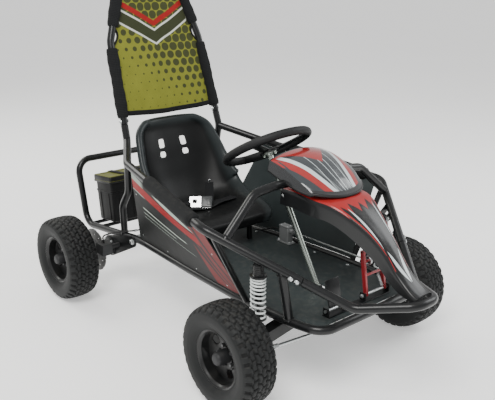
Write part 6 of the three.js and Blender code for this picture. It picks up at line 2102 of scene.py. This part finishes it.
@dataclass
class Suspension:
    """The swing arms, the knuckles, the shocks and their springs."""

    plan: KartPlan
    pin_z: float = 222.0
    spring_top: float = 54.0
    spring_low: float = 190.0
    mean: float = 21.5
    wire: float = 3.2
    curls: float = 10.0

    def build(self) -> None:
        """Makes both sides."""
        for side in Side:
            word = side.word
            refine("swing_arm_" + word, "swing_arm_" + word + "_beam", BLACK_COAT, "swing_" + word, 1.6)
            refine("knuckle_" + word, "knuckle_" + word + "_forging", BLACK_COAT, "upright_" + word, 1.2)
            self.shock(side)
            self.spring(side)

    def shock(self, side: Side) -> None:
        """The damper: eye, can, collar and tube on the body, rod, perch and eye below.

        Args:
            side: the side of the kart.
        """
        centre = self.plan.on(side, (self.plan.shock_x, 0.0, self.plan.shock_z))
        up = (0, 0, 1)
        can = [
            (7, -2), (12.5, -12), (15, -15), (16, -18), (16, -46), (19, -49), (27, -50), (27, -53.6), (11.5, -54),
            (11, -56), (11, -137), (9.5, -138), (5.6, -138),
        ]
        eye = [(6.8, -14), (13, -14), (13, 14), (6.8, 14)]
        rib = np.array([(15.8, -2), (17.2, -1.2), (17.2, 1.2), (15.8, 2)])
        ribs = [lathe(rib - np.array([0, z]), centre, up, 32) for z in (24, 30, 36, 42)]
        body = merged([lathe(can[::-1], centre, up, 36), lathe(eye, centre, (0, 1, 0), 28, wrap=True), *ribs])
        name = "shock_body_" + side.word
        make(name + "_can", body, [BLACK_COAT], "damper_" + side.word, [name])
        low = self.pin_z - self.plan.shock_z
        rod = [(8, low + 6), (8, -198), (19, -196), (27, -194), (27, -190)]
        rod += [(8, -189.6), (5, -189), (5, -103), (3, -102)]
        open_eye = [(8.4, -14), (13, -14), (13, 14), (8.4, 14)]
        eye_centre = centre + np.array([0, 0, low])
        forms = [lathe(rod, centre, up, 36), lathe(open_eye, eye_centre, (0, 1, 0), 28, wrap=True)]
        name = "shock_rod_" + side.word
        make(name + "_perch", merged(forms), [BLACK_COAT], "damper_rod_" + side.word, [name])

    def spring(self, side: Side) -> None:
        """The coil: a wire round a circle that rises, closer at the top and flat at both ends.

        Args:
            side: the side of the kart.
        """
        steps = np.linspace(0, 1, 481)
        pitch = 0.55 + 0.9 * steps
        rise = np.cumsum(pitch * np.clip(np.minimum(steps, 1 - steps) / 0.07, 0.25, 1))
        rise = (rise - rise[0]) / (rise[-1] - rise[0])
        x, top = side.value * self.plan.shock_x, self.plan.shock_z
        high = top - self.spring_top - self.wire - 0.1
        low = top - self.spring_low + self.wire + 0.1
        angle = steps * self.curls * 2 * np.pi
        outward = np.stack([np.cos(angle), np.sin(angle), np.zeros_like(angle)], 1)
        path = self.mean * outward + np.array([x, 0, high])
        path[:, 2] += (low - high) * rise
        section = circle(12) * self.wire
        ring = path[:, None] + section[None, :, :1] * outward[:, None] + section[None, :, 1:] * np.array([0, 0, 1.0])
        form = rings(ring[:, ::-1])
        name = "coil_spring_" + side.word
        mesh = make(name + "_wire", form, [SPRING_WHITE], "damper_" + side.word, [name], angle=60)
        mesh.parent = None
        "damper_" + side.word
        "damper_rod_" + side.word
        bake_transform(mesh)


@dataclass
class Wheel:
    """One wheel: a turf tyre and a pressed rim with five windows and a domed cap."""

    plan: KartPlan
    lug: float = 5.0
    row_width: float = 0.27
    zigzag: float = 0.045
    slant: float = 0.22
    bar_half: float = 0.31
    crown_half: float = 0.80
    bar_start: float = 146.0
    pitches: int = 34
    around: int = 544
    across: int = 84
    tread_half: float = 57.0
    tread_start: float = 147.0
    slope: float = 3.0
    rib_radii: tuple[float, float] = (104.0, 141.0)
    windows: int = 5
    window_circle: float = 58.0
    nut_circle: float = 33.0

    def profile(self) -> Array:
        """The tyre's outline from one bead to the other, as radius and place across.

        Returns:
            The outline's points.
        """
        half = np.array([
            (86.0, 44.5), (93.5, 48.0), (99.0, 52.5), (110.0, 59.0), (124.0, 62.4), (138.0, 62.2), (149.0, 59.4),
            (157.0, 53.0), (161.5, 43.0), (163.8, 29.0), (164.8, 14.0), (165.0, 0.0),
        ])
        full = np.concatenate([half, half[-2::-1] * np.array([1, -1])])
        reach = np.concatenate([[0], np.cumsum(np.linalg.norm(np.diff(full, axis=0), axis=1))])
        share = np.linspace(0, 1, self.across)
        tables = [np.interp(np.linspace(0, 1, 47), reach / reach[-1], full[:, k]) for k in (0, 1)]
        return np.stack([table_value(table, share) for table in tables], 1)

    def tread(self, turn: Array, place: Array, radius: Array) -> Array:
        """The lug height: zigzag rows of bricks on the crown, and bars over the shoulders.

        Args:
            turn: pitches round the wheel.
            place: the place across, from -1 to 1 over the tread.
            radius: the radius of each point.

        Returns:
            Heights from 0 to 1.
        """
        zigzag = self.zigzag * (np.abs((turn * 2) % 2 - 1) * 2 - 1)
        lines = (place + zigzag) / self.row_width
        row = np.floor(lines + 0.5)
        between = np.abs(lines - row)
        rib = np.clip((0.5 - between) / 0.09 - 0.55, 0, 1)
        slant = np.where(row % 2 == 0, self.slant, -self.slant)
        phase = (turn + slant * (lines - row) + 0.5 * (row % 2)) % 1.0
        brick = np.clip((0.5 - np.abs(phase - 0.5)) / 0.06 - 0.9, 0, 1)
        crown = rib * brick
        bar_phase = (turn + 0.25 * np.sign(place)) % 1.0
        bar = np.clip((self.bar_half - np.abs(bar_phase - 0.5)) / 0.06, 0, 1)
        shoulder = bar * np.clip((radius - self.bar_start) / self.slope, 0, 1)
        return np.where(np.abs(place) > self.crown_half, shoulder, crown)

    def tyre(self) -> Form:
        """The tyre: its outline turned about the axle, moved in where the tread is cut.

        Returns:
            The tyre.
        """
        outline = self.profile()
        tangent = unit(np.gradient(outline, axis=0))
        normal = np.stack([tangent[:, 1], -tangent[:, 0]], 1)
        normal *= np.sign(np.sum(normal * (outline - np.array([125.0, 0.0])), axis=1))[:, None]
        place = np.clip(outline[:, 1] / self.tread_half, -1.2, 1.2)
        turn = np.arange(self.around) / self.around * self.pitches
        height = self.tread(turn[None, :], place[:, None], outline[:, :1])
        zone = np.clip((outline[:, :1] - self.tread_start) / self.slope, 0, 1)
        depth = (height - 1) * zone * self.lug
        ring_ribs = sum(0.5 * np.exp(-((outline[:, :1] - radius) / 1.6) ** 2) for radius in self.rib_radii)
        moved = outline[:, None, :] + normal[:, None, :] * (depth + ring_ribs - 0.2)[..., None]
        angle = np.arange(self.around) / self.around * 2 * np.pi
        points = np.stack([moved[..., 1], moved[..., 0] * np.cos(angle), moved[..., 0] * np.sin(angle)], -1)
        mark = np.where(zone > 0.5, height, 0.75) * np.ones_like(depth)
        form = rings(points[:, ::-1], caps=False, mark=mark[:, ::-1])
        inner = np.array([(84.6, 44.0), (84.6, -44.0)])
        liner = np.stack([laid(arc(np.zeros(2), r, angle), x)[:, [2, 0, 1]] for r, x in inner])
        closing = rings(np.concatenate([points[-1:], liner[::-1], points[:1]])[:, ::-1], caps=False)
        return merged([form, closing])

    def rim(self) -> Form:
        """The rim: barrel, dished disc with windows, hub, nuts and cap.

        Returns:
            The rim.
        """
        barrel = [
            (92.5, 48), (90, 49), (86, 47), (84, 44), (80.5, 40), (80.5, -40), (84, -44), (86, -47),
            (90, -49), (92.5, -48), (92.8, -46.5), (90.0, -46.0), (84.2, -43), (84.2, 43), (90.0, 46.0), (92.8, 46.5),
        ]
        forms = [lathe(barrel, (0, 0, 0), (1, 0, 0), 96, wrap=True)]
        forms += [self.sector(index * 2 * np.pi / self.windows) for index in range(self.windows)]
        hub = [(19, -34), (24, -33), (24, 3), (27, 6), (27, 8), (15, 9)]
        forms.append(lathe(hub, (0, 0, 0), (1, 0, 0), 40))
        nuts = [hex_bolt((8.0, y, z), (1, 0, 0), 11, 7) for y, z in bolt_circle(5, self.nut_circle, 0.63)]
        angle = np.linspace(0, np.pi / 2 * 0.96, 9)
        dome = np.stack([6 + 15 * np.cos(angle) ** 0.7, 38 + 14 * np.sin(angle)], 1)
        cap = np.concatenate([[(23.0, 8.0), (22.0, 34.0)], dome])
        black = [lathe(cap, (0, 0, 0), (1, 0, 0), 40), tube([(30, 72, 0), (44, 68, 0)], 3.2, 0, 12)]
        return merged([*forms, *finished(nuts, 1), *finished(black, 2)])

    def sector(self, turn: float) -> Form:
        """A fifth of the disc round its window: it blends from the window's outline to the sector's.

        Args:
            turn: the angle of its middle.

        Returns:
            The sector.
        """
        around = circle(48)
        square = around / np.abs(around).max(axis=1, keepdims=True)
        far = self.window_circle
        window = np.sign(around) * np.abs(around) ** 0.7 * np.array([12.5, 15.0 / far]) + np.array([far, 0.0])
        sector = square * np.array([28.2, OVERLAP * np.pi / self.windows]) + np.array([52.6, 0.0])
        share = np.array([0, 0.04, 0.1, 0.3, 0.6, 1.0])[:, None]
        radius, around = (window[:, k] * (1 - share) + sector[:, k] * share for k in (0, 1))
        around = turn + around
        dish = 5.0 + 7.0 * ((radius - 24.4) / 56.0) ** 2 + 2.0 * np.exp(-((share - 0.04) / 0.05) ** 2)
        front = np.stack([dish, radius * np.cos(around), radius * np.sin(around)], -1)
        return self.plate(front, 3.2)

    @staticmethod
    def plate(front: Array, thick: float) -> Form:
        """A flat ring of the given thickness behind its front rows."""
        loop = np.concatenate([front, (front - np.array([thick, 0, 0]))[::-1]])
        return rings(loop[:, ::-1], wrap=True)

    def build(self) -> None:
        """Makes the four wheels from one tyre and one rim."""
        tyre, rim = self.tyre(), self.rim()
        turned = np.diag([-1.0, -1.0, 1.0])
        ends = (("front", self.plan.front_track, 0.0), ("rear", self.plan.rear_track, self.plan.wheelbase))
        for side in Side:
            for end, x, y in ends:
                body = "front_wheel_" + side.word if end == "front" else "rear_wheels"
                place = (side.value * x, y, self.plan.axle_z)
                name = end + "_" + side.word
                turf, pressed = (form if side is Side.LEFT else form.turned(turned) for form in (tyre, rim))
                turf, pressed = turf.moved(*place), pressed.moved(*place)
                make("tyre_" + name + "_turf", turf, [TYRE], body, ["tyre_" + name], angle=180)
                finishes = [RIM_COAT, DARK_STEEL, CAP_PLASTIC]
                make("rim_" + name + "_pressed", pressed, finishes, body, ["rim_" + name])


@dataclass
class Drive:
    """The motor, the chain, the rear axle, its bearings and the brake."""

    plan: KartPlan
    chain_x: float = 165.0
    chain_pitch: float = 12.7
    large: float = 79.5
    small: float = 24.2
    disc_x: float = -290.0
    holes: int = 12
    hole_circle: float = 66.0
    hole: float = 5.0
    motor_y: float = 743.0
    motor_z: float = 307.8

    def build(self) -> None:
        """Makes the driven parts."""
        axle = (0.0, self.plan.wheelbase, self.plan.axle_z)
        end = self.plan.rear_track + 40.0
        shaft = [(11.5, -end), (12.5, -end + 1), (12.5, end - 1), (11.5, end)]
        make("rear_axle_shaft", lathe(shaft, axle, (1, 0, 0), 32), [ZINC], "rear_wheels", ["rear_axle"])
        refine("axle_sprocket", "axle_sprocket_plate", DARK_STEEL, "rear_wheels", 0.6)
        refine("motor_sprocket", "motor_sprocket_teeth", DARK_STEEL, "motor_pinion", 0.4)
        refine("brake_caliper", "brake_caliper_cast", CAST_DARK, "chassis", 2.0)
        self.disc(axle)
        for side in Side:
            self.housing(side)
        self.motor()
        self.chain()

    def disc(self, axle: Point) -> None:
        """The brake disc with drilled holes drawn as sectors, on its hub.

        Args:
            axle: a place on the axle's line.
        """
        forms = []
        share = np.array([0, 0.2, 1.0])[:, None]
        around, middle = circle(24), np.array([self.hole_circle, 0])
        hole = around * np.array([self.hole, self.hole / self.hole_circle]) + middle
        square = around / np.abs(around).max(axis=1, keepdims=True)
        cell = square * np.array([21.6, OVERLAP * np.pi / self.holes]) + middle
        for index in range(self.holes):
            radius, turn = (hole[:, k] * (1 - share) + cell[:, k] * share for k in (0, 1))
            turn = index * 2 * np.pi / self.holes + turn
            front = np.stack([np.full_like(radius, 1.9), radius * np.cos(turn), radius * np.sin(turn)], -1)
            forms.append(Wheel.plate(front, 3.8))
        hub = [(13, -1.9), (44.6, -1.9), (44.6, 1.9), (26, 2.2), (26, 24), (13, 24)]
        forms.append(lathe(hub, (0, 0, 0), (1, 0, 0), 48, wrap=True).finished(1))
        bolts = [hex_bolt((2.0, y, z), (1, 0, 0), 10, 4) for y, z in bolt_circle(6, 35, 0.0)]
        form = merged([*forms, *finished(bolts, 1)]).moved(self.disc_x, axle[1], axle[2])
        make("brake_disc_drilled", form, [DISC_STEEL, DARK_STEEL], "rear_wheels", ["brake_disc"])

    def housing(self, side: Side) -> None:
        """A bearing housing on its flange.

        Args:
            side: the side of the kart.
        """
        start = self.plan.hanger_x + self.plan.hanger + self.plan.gap
        flange = [(13, 0), (40, 0), (40, 5), (38, 6), (34, 7), (30, 20), (27, 22), (13, 22)]
        centre = np.array([start, self.plan.wheelbase, self.plan.axle_z])
        form = lathe(flange, centre, (1, 0, 0), 48, wrap=True)
        spots = bolt_circle(4, 36.5, np.pi / 4)
        bolts = [hex_bolt(centre + np.array([6, y, z]), (1, 0, 0), 7, 4) for y, z in spots]
        form = merged([form, *finished(bolts, 1)])
        form = form if side is Side.LEFT else form.mirrored()
        name = "bearing_housing_" + side.word
        make(name + "_cast", form, [CAST_DARK, ZINC], "chassis", [name])

    def motor(self) -> None:
        """The motor: a finned can with end caps, a foot, a shaft and its leads' gland."""
        centre = (0.0, self.motor_y, self.motor_z)
        can = [(30, -62), (46, -62), (50, -58), (53, -50)]
        for index in range(12):
            x = -46 + index * 10.4
            can += [(53, x), (54.8, x + 1.5), (54.8, x + 6), (53, x + 7.5)]
        can += [(53, 88), (50, 96), (46, 100), (12, 100), (12, 104), (7, 104), (7, 170), (5, 171)]
        foot = soft_box((142, 70, 5.5), (19, 720, 253.1), 1.5).finished(1)
        bolts = [hex_bolt((x, y, 255.8), (0, 0, 1), 10, 5) for x in (-40, 78) for y in (690, 752)]
        for y, z in bolt_circle(4, 40, 0.4):
            bolts.append(dome_bolt((100, self.motor_y + y, self.motor_z + z), (1, 0, 0), 4, 2.5))
        form = merged([lathe(can, centre, (1, 0, 0), 56), foot, *finished(bolts, 2)])
        make("motor_can", form, [CAST_DARK, BLACK_COAT, ZINC], "chassis", ["motor"])

    def chain(self) -> None:
        """The chain: outer and inner links in turn along the loop round both toothed wheels."""
        one, two = np.array([self.plan.wheelbase, self.plan.axle_z]), np.array([self.motor_y, self.motor_z])
        outline = link(one, self.large, two, self.small)
        closed = np.concatenate([outline, outline[:1]])
        reach = np.concatenate([[0], np.cumsum(np.linalg.norm(np.diff(closed, axis=0), axis=1))])
        count = 2 * round(reach[-1] / self.chain_pitch / 2)
        spots = np.arange(count) / count * reach[-1]
        place = np.stack([np.interp(spots, reach, closed[:, k]) for k in (0, 1)], 1)
        forms = []
        for index in range(count):
            start, end = place[index], place[(index + 1) % count]
            offsets = (3.5, -4.5) if index % 2 else (2.0, -3.0)
            outline = link(start, 4.0, end, 4.0)[::4]
            forms += [prism(outline, "x", self.chain_x + offset, 1.0) for offset in offsets]
            forms.append(lathe([(2.6, -4.4), (2.6, 4.4)], (self.chain_x, *start), (1, 0, 0), 8))
        make("drive_chain_links", merged(forms), [DARK_STEEL], "chassis", ["drive_chain"])


@dataclass
class BatteryBox:
    """The battery box on the rack, in the rack's own tilted frame."""

    plan: KartPlan
    half: float = 138.0
    length: float = 136.0
    height: float = 196.0
    front: float = 1104.0
    lid: float = 5.0
    ribs_across: tuple[float, ...] = (-96.0, -32.0, 32.0, 96.0)
    ribs_along: tuple[float, ...] = (-34.0, 34.0)
    strap_x: float = 58.0

    def build(self) -> None:
        """Makes the tub and the lid."""
        half, middle, height = self.half, self.length / 2, self.height
        levels = [(0.0, 3.0), (3.0, 0.2), (128.0, 0.0), (130.0, -2.2), (136.0, -2.2), (138.0, 0.0), (height - 1, 0.0)]
        rows = [self.row(half - 2.4 - inset, middle - 2.4 - inset, 9.0, z) for z, inset in levels]
        rows += [self.row(half - 6, middle - 6, 7.0, z) for z in (height - 1, 6.0)]
        forms = [rings(np.stack(rows))]
        for x in self.ribs_across:
            forms += [soft_box((8, 3.0, 118), (x, y, 66), 1.2) for y in (1.6 - middle, middle - 1.6)]
        for y in self.ribs_along:
            forms += [soft_box((3.0, 8, 118), (x, y, 66), 1.2) for x in (half - 1.8, 1.8 - half)]
        self.put("battery_tub", forms, 0.0, BOX_PLASTIC, "battery_box")
        wide, long = half + self.lid, middle + self.lid
        levels = [
            (-30.0, 0.6), (-29.0, 0.0), (-22.0, 0.0), (-21.0, 1.2), (-3.0, 1.2), (-0.8, 2.4), (0.0, 4.5), (0.0, 22.0),
            (-2.2, 24.0),
        ]
        rows = [self.row(wide - inset, long - inset, max(10.0 - inset * 0.3, 3.0), z) for z, inset in levels]
        forms = [rings(np.stack(rows))]
        for x in (-self.strap_x, self.strap_x):
            forms.append(soft_box((24, 2 * long + 1.6, 2.4), (x, 0, 0.9), 1.0).finished(1))
        self.put("battery_cover", forms, height + self.lid + self.plan.gap, LID_PLASTIC, "battery_lid")

    @staticmethod
    def row(half: float, middle: float, corner: float, z: float) -> Array:
        """A round-cornered outline of the box at a height."""
        return laid(rounded_outline(2 * half, 2 * middle, corner), z)

    def put(self, name: str, forms: Sequence[Form], z: float, finish: Finish, node: str) -> None:
        """Makes a piece of the box, set on the sloping rack.

        Args:
            name: the piece's name.
            forms: its forms about the box's middle.
            z: how far up the box it sits.
            finish: its main finish.
            node: the packed node that it stands for.
        """
        tilt = self.plan.rack_tilt
        turn = np.array([[1, 0, 0], [0, math.cos(tilt), -math.sin(tilt)], [0, math.sin(tilt), math.cos(tilt)]])
        origin = (0.0, self.front, self.plan.rack_z(self.front) + (self.plan.rack_bar + self.plan.gap) / math.cos(tilt))
        form = merged(forms).moved(0, self.length / 2, z).turned(turn).moved(*origin)
        make(name, form, [finish, STRAP], "chassis", [node])


@dataclass
class Pedals:
    """The red brake pedal, the throttle, their stand, the brake's rod, cylinder and hose."""

    plan: KartPlan
    foot_y: float = -140.0
    foot_z: float = 272.0
    brake_x: float = 88.0
    brake_height: float = 136.0
    brake_half: float = 44.0
    rungs: tuple[float, float] = (0.45, 0.78)
    ribs: tuple[float, ...] = (24, 36, 48, 60, 72, 83)
    curls: int = 14
    coil: float = 4.2
    wire: float = 0.9
    hose_radius: float = 3.2
    hose_clips: tuple[int, ...] = (40, 70, 98)
    stem_lean: float = 22.0
    throttle_x: float = -96.0
    throttle_height: float = 86.0
    cylinder_at: Point = (203.0, 395.0, 253.3)

    def build(self) -> None:
        """Makes the pedals and the brake parts."""
        refine("pedal_stand", "pedal_stand_plate", BLACK_COAT, "chassis", 0.8)
        self.brake()
        self.throttle()
        self.cylinder()
        self.rod()
        self.hose()

    def stem(self, x: float, height: float) -> tuple[Array, Array, Array, Array]:
        """A pedal's foot, its way up, the direction of that way, and the pedal's own directions as rows.

        Args:
            x: where the pedal's middle is.
            height: how high its top stands over its foot.

        Returns:
            The four, in that order.
        """
        up = np.array([0, self.stem_lean, height])
        way = unit(up)
        return np.array([x, self.foot_y, self.foot_z]), up, way, np.array([[1, 0, 0], np.cross(way, [1, 0, 0]), way])

    def brake(self) -> None:
        """The ladder pedal in red, with its pivot bolts and its return spring."""
        low, up, way, axes = self.stem(self.brake_x, self.brake_height)
        half, rail = self.brake_half, (9, 15, np.linalg.norm(up) + 10)
        forms = [soft_box(rail, low + up / 2 + np.array([x, 0, 0]), 1.5, axes) for x in (-half, half)]
        forms += [soft_box((80, 7.2, 7.2), low + up * share, 1.5, axes) for share in self.rungs]
        forms.append(soft_box((97, 13, 10), low + up + way * 2, 2.0, axes))
        bolts = [lathe([(5, -64), (5, 64)], (self.brake_x, self.foot_y, self.foot_z), (1, 0, 0), 20)]
        bolts += [hex_bolt((self.brake_x + s * 62.0, self.foot_y, self.foot_z), (s, 0, 0), 10, 4) for s in (-1, 1)]
        turns = np.linspace(0, 1, 200)
        start = np.array([104.0, self.foot_y + 6, self.foot_z + 54])
        run = np.array([8.0, -14.0, -40.0])
        centre_line = start + run * turns[:, None]
        own = basis(run)
        angle = turns * self.curls * 2 * np.pi
        coil = centre_line + self.coil * (np.cos(angle)[:, None] * own[0] + np.sin(angle)[:, None] * own[1])
        spring = sweep(coil, circle(6) * self.wire)
        form = merged(forms + finished([*bolts, spring], 1))
        make("brake_pedal_ladder", form, [RED_COAT, ZINC], "brake_pedal_arm", ["brake_pedal"])

    def throttle(self) -> None:
        """The throttle plate with ribs across its face."""
        low, up, way, axes = self.stem(self.throttle_x, self.throttle_height)
        forms = [soft_box((58, 5, self.throttle_height + 3), low + up / 2 + way * 2, 2.0, axes)]
        for reach in self.ribs:
            forms.append(soft_box((44, 2.4, 4), low + way * reach + axes[1] * 3.0, 1.0, axes))
        forms.append(lathe([(5, -49), (5, 49)], low, (1, 0, 0), 20).finished(1))
        finishes = [BLACK_COAT, ZINC]
        make("throttle_plate", merged(forms), finishes, "throttle_pedal_arm", ["throttle_pedal"])

    def line(self) -> tuple[Array, Array, Array]:
        """The brake rod's rear end, its front end and its direction.

        Returns:
            The three, in that order.
        """
        rear = np.array(self.cylinder_at) + np.array([0, -24.5, 52.0])
        low, up, _, _ = self.stem(self.brake_x - 22.0, self.brake_height)
        front = low + up * self.rungs[1]
        return rear, front, unit(front - rear)

    def cylinder(self) -> None:
        """The master cylinder: foot, cast body, reservoir cap, nozzle and screws."""
        rear, _, way = self.line()
        x, y, z = np.array(self.cylinder_at) + np.array([0, 0, self.plan.gap])
        forms = [
            soft_box((29, 49, 60), (x, y, z + 34), 4),
            soft_box((34, 70, 5), (x, y, z + 2.5), 1.5),
            soft_box((31, 50, 8), (x, y, z + 66), 2.5),
            lathe([(5.4, -20), (9, -20), (9, 20), (8, 24), (5.4, 24)], rear, way, 24, wrap=True),
        ]
        screws = [hex_bolt((x + a, y + b, z + 5), (0, 0, 1), 8, 4) for a in (-9, 9) for b in (-29, 29)]
        screws += [dome_bolt((x + a, y + b, z + 70), (0, 0, 1), 3.2, 2) for a in (-9, 9) for b in (-16, 16)]
        form = merged([*forms, *finished(screws, 1)])
        make("master_cylinder_cast", form, [CAST, ZINC], "chassis", ["master_cylinder"])

    def rod(self) -> None:
        """The brake rod with its eye."""
        rear, front, way = self.line()
        eye = lathe([(12.2, -3.5), (16, -3.5), (16, 3.5), (12.2, 3.5)], front, (1, 0, 0), 32, wrap=True)
        bar = tube([rear - way * 15, front - way * 14], 3.0, 0, 16)
        make("brake_rod_wire", merged([bar, eye]), [ZINC], "brake_rod_bar", ["brake_rod"])

    def hose(self) -> None:
        """The brake hose along its held route."""
        route_points = np.array([
            (203, 420.1, 296), (203, 470, 292), (196, 540, 266), (194, 640, 259), (176, 706, 259), (120, 717, 262),
            (112, 760, 262), (60, 846, 262), (-60, 856, 262), (-170, 862, 262), (-222, 878, 264), (-268, 900, 262),
            (-290, 933.6, 244), (-290, 933.6, 216),
        ], float)
        share = np.linspace(0, 1, 140)
        path = np.stack([table_value(route_points[:, k], share) for k in range(3)], 1)
        metal = [lathe([(5, 0), (5, 10), (3.6, 12)], path[0] - np.array([0, 1, 0]), (0, 1, 0), 6)]
        metal += [soft_box((12, 8, 9), path[i], 1.5) for i in self.hose_clips]
        form = merged([sweep(path, circle(12) * self.hose_radius), *finished(metal, 1)])
        make("brake_hose", form, [HOSE, ZINC], "chassis", ["brake_line"])


def main() -> None:
    """Builds the scene, sub-assembly by sub-assembly."""
    logging.basicConfig(level=logging.INFO, format="%(message)s")
    plan = KartPlan()
    parts = (
        Studio(), TubeFrame(plan), FlagCloth(plan), BucketSeat(), Bodywork(plan), SteeringGear(plan), Suspension(plan),
        Wheel(plan), Drive(plan), BatteryBox(plan), Pedals(plan),
    )
    for part in parts:
        part.build()
        LOG.info("%s built", type(part).__name__)


if __name__ == "__main__":
    main()
